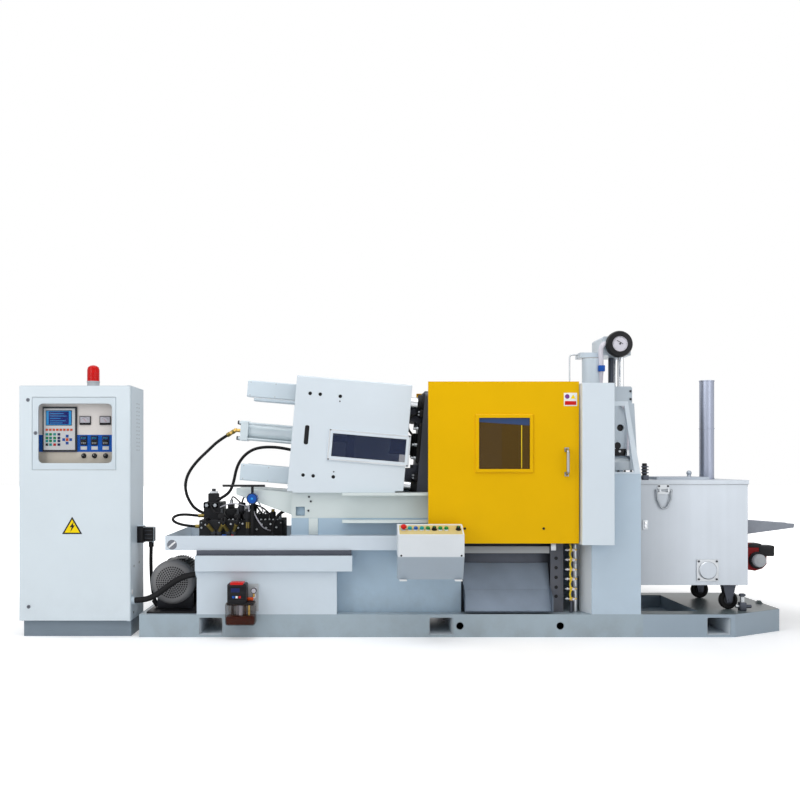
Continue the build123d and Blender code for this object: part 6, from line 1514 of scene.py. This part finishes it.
@dataclass
class Bed(Assembly):
    """Base, furnace deck, pedestal and bed."""

    front: float = -440.0

    finishes = {
        "base_frame": BASE_GREY, "bed_pedestal": PEDESTAL_GREY, "bed_beams": BED_GREY, "columns": COLUMN_GREY,
        # The deck's top is dark green-grey: partly its own oily tone, partly painted shade under the furnace.
        "furnace_deck": Banded("Deck paint with painted shade", srgb(150, 166, 179), srgb(84, 95, 98), 0.1493, 0.0006, roughness=0.3),
    }

    def dress(self) -> None:
        """Adds screws, ribs, a dark strip of painted shade in the gap under the drip tray, pale lining of the forklift
        tunnels that paints their shade lighter, and black lining of painted shade in the lifting bores.
        """
        screws = [(x, self.front, z) for x, z in ((-1042, 916), (-1030, 886), (-1046, 824))]
        StudField("bed_screws", 8.0, 7.0, BOLT_STEEL).at(screws).piece()
        ribs = Shape()
        ribs.box((-1044, self.front - 7, 665), (-982, self.front - 0.2, 774), BED_GREY, 2)
        ribs.box((-1129.4, -411.5, 790.6), (-1070.6, -410.2, 849.4), PEDESTAL_GREY, 0.3)
        # Dark strip across the gap under the drip tray: painted shade of that gap, in front of its spacers.
        ribs.box((-1774, -562, 536.4), (-760, -546, 569.6), DARK_STEEL, 1)
        # Pale sheets lining the forklift tunnels: painted light, to lighten the shade inside them.
        for x in (-1757.5, -249.5, 1570.5):
            for side in (1.5, 151.5):
                ribs.box((x + side, -546, 18), (x + side + 2, 546, 120), WHITE, 0.3)
            ribs.box((x + 2, -546, 16.3), (x + 153, 546, 18), WHITE, 0.3)
        ribs.piece("bed_ribs_painted_light_and_shade", "machine", Slot.BED)
        # Black lining inside the lifting bores: painted shade in the holes.
        lining = Shape()
        for x in (-49.0, 608.0):
            for side in (-1, 1):
                base = (x, side * 549.5, 74)
                lining.lathe(base, (0, -side, 0), [(0, 23.4), (0, 20), (138, 20), (138, 23.4), (0, 23.4)], BLACK, 24)
        lining.piece("lifting_bore_painted_shade", "machine", Slot.BASE)


@dataclass
class ClampUnit(Assembly):
    """Tilted clamping unit: platens, tie bars, covers, closing cylinder and toggle guard."""

    guard_y: float = -490.0
    frame_y: float = -498.0
    window_u: tuple[float, float] = (-589.0, -46.0)
    window_w: tuple[float, float] = (-154.0, 54.0)

    finishes = {
        "tail_platen": STEEL, "fixed_platen": STEEL, "tie_bars": CHROME,
        "tie_bar_covers": Paint("Cover paint", srgb(206, 220, 230), variation=0.02),
        "closing_cylinder": Paint("Cylinder paint", srgb(226, 238, 244), gloss=0.28, coat=0.3),
        "toggle_guard": GUARD_WHITE, "guard_panes": DARK_GLASS, "moving_platen": DARK_STEEL,
        "toggle_linkage": DARK_STEEL, "ejector_unit": CASTING,
    }

    def dress(self) -> None:
        """Adds the cylinder's fitting, the guard's trim and screws, and the platens' sleeves and bolts."""
        self.fitting()
        self.guard()
        self.cylinder()
        self.platen_details()

    @staticmethod
    def fitting() -> None:
        """Elbow and nipple of the closing hose on the cylinder's end."""
        nipple, elbow = Vector((-1641.5, 0, 1336)), Vector((-1580.3, 2.8, 1373.4))
        fitting = Shape().rod(tuple(nipple), tuple(elbow), 14.2, BRASS).ball(tuple(elbow), 15.2, BRASS)
        fitting.rod(tuple(elbow), clamp_point(-1221, 0, 0), 12.2, BRASS)
        for start, end in ((0.0, 0.35), (0.6, 0.82)):
            fitting.rod(tuple(nipple.lerp(elbow, start)), tuple(nipple.lerp(elbow, end)), 17.5, OLD_BRASS, 6)
        fitting.piece("cylinder_hose_fitting", "machine", Slot.STEEL)

    def guard(self) -> None:
        """Trim round the guard's window, its screws, and black discs and a strip behind its holes and slot: painted
        shade of the space behind them.
        """
        trim = Shape()
        (u0, u1), (w0, w1) = self.window_u, self.window_w
        for low, high in ((w0 + 2, w0 + 12), (w1 - 12, w1 - 2)):
            trim.tilted((u0 + 3, self.frame_y - 0.2, low), (u1 - 3, self.frame_y + 2, high), ZINC, 0.8)
        for low, high in ((u0 + 2, u0 + 12), (u1 - 12, u1 - 2)):
            trim.tilted((low, self.frame_y - 0.2, w0 + 3), (high, self.frame_y + 2, w1 - 3), ZINC, 0.8)
        trim.piece("guard_window_trim", "machine", Slot.STEEL)
        corners = clamp_grid((-578, -57), [self.frame_y], (w0 + 7, w1 - 7))
        edges = [clamp_point(-535, self.guard_y, w) for w in (240, -228)]
        StudField("guard_screws", 5.0, 3.0, BOLT_STEEL, sides=12).at(corners + edges).piece()
        # Black discs behind the guard's holes and a black strip behind its slot: painted shade.
        holes = [clamp_point(u, self.guard_y + 5, w) for u, w in ((-735, 275), (-668, 275), (-535, 273), (-735, -267),
                                                                  (-668, -267), (-535, -262))]
        dots = StudField("guard_hole_painted_shade", 11.6, 1.0, BLACK, sides=20, top=1.0).at(holes)
        dots.piece("machine", Slot.PLASTIC)
        rear = clamp_grid((-800, -560, -320, -100), [-self.guard_y], (-270, 360))
        StudField("guard_rear_screws", 6.5, 3.5, BOLT_STEEL).at(rear, BACK).piece()
        slot = Shape().tilted((-749, self.guard_y + 3, -62), (-721, self.guard_y + 5, 62), BLACK, 0.5)
        slot.piece("guard_slot_painted_shade", "machine", Slot.PLASTIC)

    @staticmethod
    def cylinder() -> None:
        """Nuts of the closing cylinder and screws of the tie bars' covers."""
        nuts = clamp_grid([-1234], (-55, 55), (-55, 55))
        StudField("cylinder_nuts", 15.0, 10.0, BOLT_STEEL).at(nuts, CLAMP_BACK).piece()
        covers = clamp_grid((-1150, -980, -810), [-306], (-329, -241, 241, 329))
        StudField("cover_screws", 4.5, 2.5, ZINC, sides=12).at(covers).piece()

    @staticmethod
    def platen_details() -> None:
        """Adds sleeves, lines and bolts that travel with the moving platen."""
        shape = Shape()
        along = tuple(-c for c in CLAMP_BACK)
        for v in (-250, 250):
            for w in (-285, 285):
                sleeve = [(0, 41), (0, 56), (10, 60), (28, 60), (30, 72), (41.8, 72), (41.8, 41), (0, 41)]
                shape.lathe(clamp_point(-8, v, w), along, sleeve, CASTING, 28)
        lines = ((8, ((-20, -300, 60), (-60, -306, 110), (-50, -300, 180), (0, -270, 215), (33, -240, 225))),
                 (5, ((-150, -70, 40), (-170, -160, 120), (-110, -250, 190), (33, -262, 205))))
        for radius, route in lines:
            shape.tube([clamp_point(*place) for place in route], radius, RUBBER, 10)
        for w in (-215, 215):
            shape.tilted((8, -318, w - 26), (33.6, -180, w + 26), CASTING, 5)
        shape.tilted((10, -321, -120), (33.6, -270, 150), CASTING, 5)
        for w in (-90, 0, 110):
            shape.lathe(clamp_point(10, -296, w), CLAMP_BACK, [(0, 13), (16, 13), (18, 9), (34, 9), (34, 0)], STEEL, 6)
        shape.piece("platen_sleeves", "platen_carriage", Slot.CASTING)
        bolts = clamp_grid([8], (-300, -200), (-225, -205, 205, 225))
        StudField("platen_bolts", 9.0, 10.0, STEEL).at(bolts, CLAMP_BACK).piece("platen_carriage", Slot.STEEL)


@dataclass
class SafetyDoor(Assembly):
    """Sliding safety door, rear guard and posts."""

    front: float = -597.0

    finishes = {
        "safety_door": YELLOW, "rear_guard": YELLOW, "door_window": SMOKED,
        "door_handle": Metal("Handle steel", srgb(150, 152, 156), roughness=0.25),
        "door_posts": Paint("Post paint", srgb(214, 225, 234), variation=0.015),
    }

    def dress(self) -> None:
        """Adds the window's band, screws and the generic sign."""
        y = self.front
        trim = Shape()
        trim.prism([(70, 1434), (399, 1434), (399, 1386), (70, 1408)], y - 3.0, y - 2.2, BAND_BLUE, bevel=0)
        trim.box((344, y - 3.0, 1106), (350, y - 2.2, 1387), TUBE_YELLOW, 0.2)
        trim.piece("door_window_band", "safety_door", Slot.GLASS)
        sign = Shape()
        x0, x1, z0, z1 = 622.0, 708.0, 1512.0, 1598.0
        sign.box((x0, y - 0.9, z0), (x1, y + 0.1, z1), PURE_WHITE, 0.3)
        sign.disc((x0 + 22, y - 0.8, z1 - 24), FRONT, 15, 0.6, PURPLE, 24)
        sign.prism([(x0 + 44, z1 - 38), (x0 + 76, z1 - 38), (x0 + 60, z1 - 10)], y - 1.5, y - 0.8, SIGN_YELLOW,
                   bevel=0)
        sign.box((x0 + 6, y - 1.5, z0 + 7), (x1 - 6, y - 0.8, z0 + 32), RED_CAP, 0.2)
        sign.piece("door_sign", "safety_door", Slot.YELLOW)
        screws = grid((-22, 491), [y], [715])
        StudField("door_screws", 9.5, 3.5, BLACK).at(screws).piece("safety_door", Slot.STEEL)
        rear = grid((-230, 10, 250, 490, 690), [-y], (640, 1650))
        StudField("rear_guard_screws", 6.5, 3.5, BOLT_STEEL).at(rear, BACK).piece()


@dataclass
class ControlBox(Assembly):
    """Operator's control box with push buttons on its sloping face."""

    back: float = -650.0
    slope: float = math.atan2(58.0, 130.0)

    finishes = {"control_box": Banded("Control box paint", srgb(160, 173, 185), srgb(216, 222, 227), 0.553)}

    def dress(self) -> None:
        """Adds face plate, buttons and screws."""
        shape = Shape()
        out = Vector((0, -math.sin(self.slope), math.cos(self.slope)))
        turn = Matrix.Rotation(self.slope, 4, "X")
        middle = Vector((-259.5, self.back - 125, 719.0)) + out * 0.6
        shape.box((middle.x - 198, middle.y - 60, middle.z - 0.8), (middle.x + 198, middle.y + 60, middle.z + 0.8),
                  Plastic("Button plate", srgb(204, 186, 128), roughness=0.2), 0.5, turn)
        caps = [(-430, RED_CAP, 19, 34), (-391, TEAL, 13, 20), (-353, BLUE, 13, 20), (-315, TEAL, 13, 20),
                (-276, GREEN, 13, 20), (-236, BLACK, 13, 22), (-198, GREEN, 13, 20), (-160, GREEN, 13, 20),
                (-84, BLACK, 13, 22)]
        for x in (-455, -105):
            shape.box((x, self.back - 150, 396), (x + 45, self.back - 60, 404), PURE_WHITE, 1)
        for x, finish, radius, height in caps:
            base = Vector((x, self.back - 125, 719.0))
            direction = tuple(out)
            shape.lathe(tuple(base), direction, [(0, 17), (5, 17), (7, 15), (7, 12), (7, 0)],
                        BLACK if finish is BLACK else ZINC, 24)
            if radius > 15:
                profile = [(5, 9), (14, 9), (18, radius), (28, radius), (33, radius - 5), (34, 0)]
            else:
                profile = [(5, radius), (height - 2, radius), (height, radius - 2), (height, 0)]
            shape.lathe(tuple(base), direction, profile, finish, 24)
            if finish is BLACK:
                tip = base + out * (height + 1)
                shape.box((tip.x - 3, tip.y - 10, tip.z - 3), (tip.x + 3, tip.y + 10, tip.z + 2), GREEN, 1, turn)
        shape.piece("control_button_set", "machine", Slot.RED, ["control_buttons"])
        screws = grid((-448, -70), [self.back - 189.9], [561])
        StudField("control_box_screws", 6.5, 1.5, BLACK, sides=12).at(screws).piece()


@dataclass
class DieSpace(Assembly):
    """Casting chute, facing plate and the cooling water manifold below the door."""

    pipe_x: float = 692.0
    pipe_y: float = -490.0

    finishes = {"casting_chute": CHUTE_STEEL, "die_space_frame": FACING_GREY}

    def dress(self) -> None:
        """Adds water valves, hoses and the facing plate's rings."""
        shape = Shape()
        x, y = self.pipe_x, self.pipe_y
        heights = (568.0, 503.0, 438.0, 375.0, 310.0, 244.0)
        shape.rod((x + 4, y + 18, 150.2), (x + 4, y + 18, 606), 9, DARK_STEEL)
        wave = [(x - 10 + 9 * (index % 2), y - 12, 606 - 33 * index) for index in range(12)]
        shape.tube(wave, 5.5, TUBE_YELLOW, 10, 4)
        for z in heights:
            shape.box((x - 13, y - 8, z - 11), (x + 13, y + 18, z + 11), BRASS, 3)
            shape.rod((x - 38, y, z), (x - 10, y, z), 6, ZINC, 12)
            shape.rod((x + 10, y, z), (x + 38, y, z), 6, BRASS, 12)
            shape.lathe((x - 30, y, z), RIGHT, [(0, 7), (0, 10), (8, 10), (8, 7)], ZINC, 6)
            shape.lathe((x + 12, y - 7, z), FRONT, [(0, 6), (8, 6), (9, 9), (17, 9), (18, 7), (18, 0)], BONE, 16)
        drain = (x + 40, y + 60)
        shape.rod((*drain, 150.2), (*drain, 600), 15, ZINC, 28)
        for z in (300, 470):
            shape.lathe((*drain, z), UP, [(0, 15), (0, 17), (22, 17), (22, 15)], STEEL, 28)
        shape.rod((x + 40, y + 46, 372), (x + 40, y + 24, 372), 7, BRASS, 12)
        shape.piece("cooling_manifold", "machine", Slot.STEEL, ["water_manifold"])
        panel = Shape()
        panel.box((-28.8, -352, 150.3), (599.8, -349, 774.6), DARK_STEEL, 0.5)
        for z in (508.0, 445.0, 380.0, 315.0, 255.0):
            panel.disc((602, -444.5, z), FRONT, 11.9, 3, BLACK, 20)
        panel.box((-28.5, -441.6, 541), (558, -440.1, 586), LIGHT_GREY, 0.4)
        # White plate on the column's inner face: painted light, where that face is lit.
        panel.prism([(767, -404.3), (814.4, -545.2), (812.5, -545.9), (765.1, -405)], 152, 600, WHITE, Axis.Z, 0.3)
        panel.box((566, -458, 560), (600, -448.2, 611), ZINC, 2)
        panel.piece("splash_panel", "machine", Slot.STEEL)


@dataclass
class InjectionUnit(Assembly):
    """Shot cylinder, its frame, accumulator and pressure gauge."""

    gauge_x: float = 1070.0
    gauge_z: float = 1953.0
    gauge_front: float = -297.0

    finishes = {
        "pot_housing": Paint("Housing paint", srgb(196, 206, 214), dirt=0.3), "plunger": CHROME,
        "injection_cylinder": Paint("Shot cylinder paint", srgb(200, 210, 218)),
        "injection_frame": Paint("Injection frame paint", srgb(188, 200, 210), dirt=0.2),
        "accumulator": Paint("Accumulator paint", srgb(196, 208, 218), gloss=0.3), "guide_rods": CHROME,
    }

    def dress(self) -> None:
        """Adds gauge, clamp, tubes, elbow and bolts."""
        self.gauge()
        pipes = Shape()
        pipes.lathe((890, -216, 1090), UP, [(0, 62.5), (1, 64), (20, 64), (21, 62.5)], DARK_GREY, 40)
        pipes.lathe((890, -216, 1820), UP, [(0, 40), (0, 52), (20, 58), (45, 61)], LIGHT_GREY, 40)
        pipes.tube([(1109, -150, 1551), (1112, -168, 1546), (1150, -172, 1490), (1160, -172, 1440), (1158, -172, 1330),
                    (1154, -170, 1232)], 8, BONE)
        pipes.lathe((1109, -148, 1551), FRONT, [(0, 14), (12, 14), (14, 10), (14, 0)], DARK_STEEL, 6)
        pipes.lathe((1154, -170, 1194), UP, [(0, 16), (18, 16), (20, 12), (36, 12), (38, 9), (38, 0)], ZINC, 6)
        pipes.box((1040, -156, 1190.5), (1150, -100, 1240), BLACK, 6)
        pipes.rod((1090, -150, 1262), (1090, -110, 1262), 24, BLACK, 20)
        pipes.rod((1104, -157, 1222), (1104, -150, 1222), 8, PURE_WHITE, 16)
        pipes.tube([(752, -170, 1640), (752, -170, 1760), (752, -170, 1862), (756, -172, 1882), (776, -174, 1890),
                    (850, -176, 1890)], 5, ZINC)
        pipes.tube([(990, -236, 1960), (962, -262, 1950), (946, -262, 1910), (948, -262, 1790), (948, -230, 1680)],
                   17, BONE, 18)
        # Black disc behind the hole in the injection frame's cheek: painted shade in the hole.
        pipes.disc((1110, -126, 1386), FRONT, 23.8, 2, BLACK, 24)
        pipes.rod((1068, -60, 1673.2), (1068, -60, 1879.8), 20, DARK_STEEL, 28)
        pipes.box((926, -284, 1766), (970, -240, 1808), BLUE, 4)
        pipes.piece("injection_pipes", "machine", Slot.STEEL)
        bolts = grid(range(960, 1181, 44), [-160], [1084]) + grid((1040, 1180), [-148], (1585, 1640))
        StudField("housing_bolts", 9.0, 10.0, BOLT_STEEL).at(bolts).piece()

    def gauge(self) -> None:
        """Pressure gauge: black rim, white dial, marks and pointer."""
        x, z, y = self.gauge_x, self.gauge_z, self.gauge_front
        shape = Shape()
        rim = [(0, 60), (6, 82), (16, 90.9), (40, 90.9), (56, 84), (61.5, 62), (61.5, 53), (54.5, 52), (54.5, 0)]
        shape.lathe((x, -235.5, z), FRONT, rim, BLACK, 48)
        shape.disc((x, y + 7.2, z), FRONT, 52, 1, BONE, 48)
        for step in range(31):
            angle = math.radians(225 - 9 * step)
            long_mark = step % 5 == 0
            radius = 44 if long_mark else 46
            place = Vector((x + radius * math.cos(angle), y + 6, z + radius * math.sin(angle)))
            half = 4 if long_mark else 2
            shape.box((place.x - half, place.y - 0.3, place.z - 0.5), (place.x + half, place.y + 0.3, place.z + 0.5),
                      BLACK, 0.1, Matrix.Rotation(-angle, 4, "Y"))
        pointer = Matrix.Rotation(math.radians(-60), 4, "Y")
        shape.box((x - 2, y + 4.6, z - 12), (x + 2, y + 5.4, z + 34), BLACK, 0.4, pointer)
        shape.lathe((x, y + 6, z), FRONT, [(0, 6), (2.5, 5), (2.5, 0)], BLACK, 20)
        shape.piece("gauge_dial", "machine", Slot.RUBBER, ["pressure_gauge"])


@dataclass
class Furnace(Assembly):
    """Melting furnace on its casters, with flue, burner and feed chute."""

    front: float = -390.0
    burner_left: float = 1903.1

    finishes = {
        "furnace_shell": SHEET, "furnace_lid": LID_STEEL, "chimney": FLUE_STEEL, "furnace_fittings": ZINC,
        "furnace_bail": STEEL, "caster_forks": DARK_STEEL, "caster_wheel_1": RUBBER, "caster_wheel_2": RUBBER,
        "caster_wheel_3": RUBBER, "caster_wheel_4": RUBBER,
        "feed_chute": Metal("Feed chute steel", srgb(134, 139, 148), roughness=0.34, stretch=(0.02, 1, 1),
                            metallic=0.7),
    }

    def dress(self) -> None:
        """Adds front fittings, screws, rear cover, flue bands, wheel hubs and the burner."""
        self.fittings()
        self.rear()
        self.flue()
        self.hubs()
        self.burner()

    def fittings(self) -> None:
        """Thermocouple head, latch, seam, port cover and valve on the front, with the port's bolts."""
        y = self.front
        shape = Shape()
        shape.box((1197, -390, 1027.3), (1237, -346, 1060), DARK_STEEL, 4)
        shape.box((1200, -386, 1060), (1226, -350, 1140), BLACK, 5)
        for z in (1072, 1092, 1112):
            shape.box((1196, -388, z), (1236, -348, z + 8), DARK_STEEL, 2)
        shape.box((1192, y - 7, 694), (1228, y + 0.5, 758), ZINC, 2)
        shape.box((1202, y - 14, 706), (1218, y - 6, 748), CHROME, 3)
        shape.box((884, y - 3.5, 994), (1903, y + 0.5, 1000), STEEL, 1)
        shape.lathe((1628, y - 21.6, 422), FRONT, [(0, 56), (2, 54), (2, 0)], SHEET, 40)
        shape.box((1844, -406, 150.2), (1888, -354, 206), DARK_STEEL, 5)
        shape.rod((1866, -380, 206), (1866, -380, 244), 14, ZINC, 20)
        shape.lathe((1866, -380, 244), UP, [(0, 12), (4, 22), (16, 22), (20, 15), (20, 0)], DARK_STEEL, 24)
        shape.rod((1888, -380, 178), (1926, -380, 178), 12, DARK_STEEL, 20)
        shape.rod((1844, -380, 178), (1822, -380, 178), 12, ZINC, 6)
        shape.piece("furnace_front_fittings", "machine", Slot.STAINLESS)
        bolts = grid((1568, 1688), [y - 10.4], (362, 482)) + grid((1303, 1363), [y - 5.4], [986])
        StudField("port_bolts", 8.0, 6.0, BOLT_STEEL).at(bolts).piece()

    @staticmethod
    def rear() -> None:
        """Cover on the back with its drain and screws."""
        back = Shape().box((980, 353.8, 400), (1800, 356, 940), SHEET, 0.8)
        back.lathe((1100, 356, 480), BACK, [(0, 26), (14, 26), (16, 20), (30, 20), (30, 0)], ZINC, 6)
        back.piece("furnace_rear_cover", "machine", Slot.STAINLESS)
        rivets = grid((1000, 1195, 1390, 1585, 1780), [356], (420, 920))
        StudField("furnace_rear_screws", 6.0, 3.0, ZINC, sides=12).at(rivets, BACK).piece("machine", Slot.STAINLESS)

    @staticmethod
    def flue() -> None:
        """Bands round the flue."""
        flue = Shape()
        for z in (1029, 1380, 1716):
            flue.lathe((1755, -20, z), UP, [(0, 49.7), (0, 53), (7, 53), (7, 49.7), (0, 49.7)], FLUE_STEEL, 36)
        flue.piece("flue_bands", "machine", Slot.STAINLESS)

    @staticmethod
    def hubs() -> None:
        """Hubs on both sides of the caster wheels."""
        for number, (x, centre) in enumerate(product((980.0, 1800.0), (-300.0, 260.0)), start=1):
            hub = Shape()
            for side in (-1, 1):
                profile = [(0, 9), (0, 30), (2, 31), (3, 28), (3, 9), (0, 9)]
                hub.lathe((x, centre + side * 11.2, 212.3), (0, side, 0), profile, DARK_GREY, 24)
            hub.piece(f"caster_hub_{number}", f"caster_wheel_{number}", Slot.STEEL)

    def burner(self) -> None:
        """Burner: red housing, black control, grey fan motor."""
        x0 = self.burner_left
        shape = Shape()
        shape.box((x0, -250, 410), (x0 + 14, -90, 570), ZINC, 2)
        outline = [(x0 + 10, 420), (x0 + 60, 408), (x0 + 110, 400.5), (x0 + 160, 416), (x0 + 189, 446), (x0 + 189, 556),
                   (x0 + 150, 572), (x0 + 62, 595), (x0 + 10, 580)]
        shape.prism(outline, -239, -111, BURNER_RED, bevel=8)
        shape.lathe((x0 + 120, -238, 475), FRONT, [(0, 58), (16, 58), (20, 54), (20, 0)], BLACK, 36)
        shape.lathe((x0 + 120, -238, 475), FRONT, [(0, 43.5), (52, 43.5), (58, 38), (60, 20), (61.5, 18), (61.5, 0)],
                    LIGHT_GREY, 36)
        shape.box((x0 + 131, -244, 501), (x0 + 239.5, -131, 574), BLACK, 8)
        shape.box((x0 + 60, -242, 560), (x0 + 150, -120, 588), BLACK, 6)
        shape.box((x0 + 239, -206, 520), (x0 + 239.9, -150, 552), RED_CAP, 0.2)
        shape.rod((x0 + 40, -175, 590), (x0 + 40, -175, 594.5), 14, BLACK)
        shape.lathe((x0 + 195, -225, 536), FRONT, [(0, 14), (10, 14), (12, 11), (12, 0)], LIGHT_GREY, 20)
        shape.piece("burner_housing", "machine", Slot.BURNER, ["burner"])


@dataclass
class Studio:
    """Floor, lights, world and camera of the product shot. Its lengths are in metres."""

    reach: float = 40.0
    middle: Point = (-0.3, 0.0, 0.9)
    fill: float = 0.36
    eye: Point = (-0.769, -7.150, 1.148)
    lens: float = 45.34
    sensor: float = 36.0
    shift: tuple[float, float] = (0.0625, 0.0775)
    far: float = 100.0

    def build(self) -> None:
        """Sets everything up."""
        self.floor()
        self.lamps()
        self.world()
        self.camera()

    def floor(self) -> None:
        """Pale level floor that turns into the white background away from the object."""
        data = bpy.data.meshes.new("floor")
        corners = [(x * self.reach, y * self.reach, 0) for x, y in ((-1, -1), (1, -1), (1, 1), (-1, 1))]
        data.from_pydata(corners, [], [(0, 1, 2, 3)])
        material = bpy.data.materials.new("Floor")
        material.use_nodes = True
        graph = Graph(material.node_tree)
        surface = material.node_tree.nodes["Principled BSDF"]
        place = graph.place()
        noise = graph.add("ShaderNodeTexNoise", {"Vector": place, "Scale": 3.0, "Detail": 4.0})
        rough = graph.span(noise.outputs[0], 0.3, 0.7, 0.5, 0.62)
        away = graph.add("ShaderNodeVectorMath", {0: place}, operation="LENGTH").outputs["Value"]
        white = graph.math("MULTIPLY", graph.seen(), graph.span(away, 2.6, 4.2, 0.25, 1.0))
        graph.feed(surface, {"Base Color": opaque(srgb(240, 241, 243)), "Roughness": rough,
                             "Emission Color": FULL_WHITE, "Emission Strength": white})
        data.materials.append(material)
        floor = bpy.data.objects.new("floor", data)
        bpy.context.scene.collection.objects.link(floor)

    def lamp(self, name: str, place: Point, size: float, power: float) -> None:
        """One soft area lamp, aimed at the object's middle.

        Args:
            name: Its name.
            place: Its place.
            size: Its diameter.
            power: Its power in watts.
        """
        data = bpy.data.lights.new(name, "AREA")
        data.shape = "DISK"
        data.size = size
        data.energy = power
        lamp = bpy.data.objects.new(name, data)
        lamp.location = place
        lamp.rotation_euler = (Vector(self.middle) - Vector(place)).to_track_quat("-Z", "Y").to_euler()
        bpy.context.scene.collection.objects.link(lamp)

    def lamps(self) -> None:
        """Soft light from above and from both sides of the camera."""
        self.lamp("Top light", (-0.5, -1.8, 5.2), 5.0, 150.0)
        self.lamp("Left light", (-5.5, -5.0, 3.2), 4.0, 116.0)
        self.lamp("Right light", (4.5, -5.5, 3.0), 4.0, 68.0)

    def world(self) -> None:
        """White background, with a softer white that lights the object."""
        world = bpy.data.worlds.new("Studio")
        world.use_nodes = True
        bpy.context.scene.world = world
        graph = Graph(world.node_tree)
        strength = graph.span(graph.seen(), 0.0, 1.0, self.fill, 1.0)
        graph.feed(world.node_tree.nodes["Background"], {"Color": FULL_WHITE, "Strength": strength})

    def camera(self) -> None:
        """Camera straight in front of the machine."""
        data = bpy.data.cameras.new("Camera")
        data.lens = self.lens
        data.sensor_width = self.sensor
        data.shift_x, data.shift_y = self.shift
        data.clip_end = self.far
        camera = bpy.data.objects.new("Camera", data)
        camera.location = self.eye
        camera.rotation_euler = (math.radians(90), 0, 0)
        bpy.context.scene.collection.objects.link(camera)
        bpy.context.scene.camera = camera
        bpy.context.scene.view_settings.view_transform = "Standard"


def main() -> None:
    """Builds the studio and every sub-assembly."""
    logging.basicConfig(level=logging.INFO, format="%(name)s: %(message)s")
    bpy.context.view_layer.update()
    Studio().build()
    for assembly in (Hoses(), Bed(), ClampUnit(), SafetyDoor(), ControlBox(), DieSpace(), InjectionUnit(), Furnace(),
                     Hydraulics(), PumpMotor(), LubePump(), Cabinet(), OperatorPanel()):
        assembly.build()


if __name__ == "__main__":
    main()
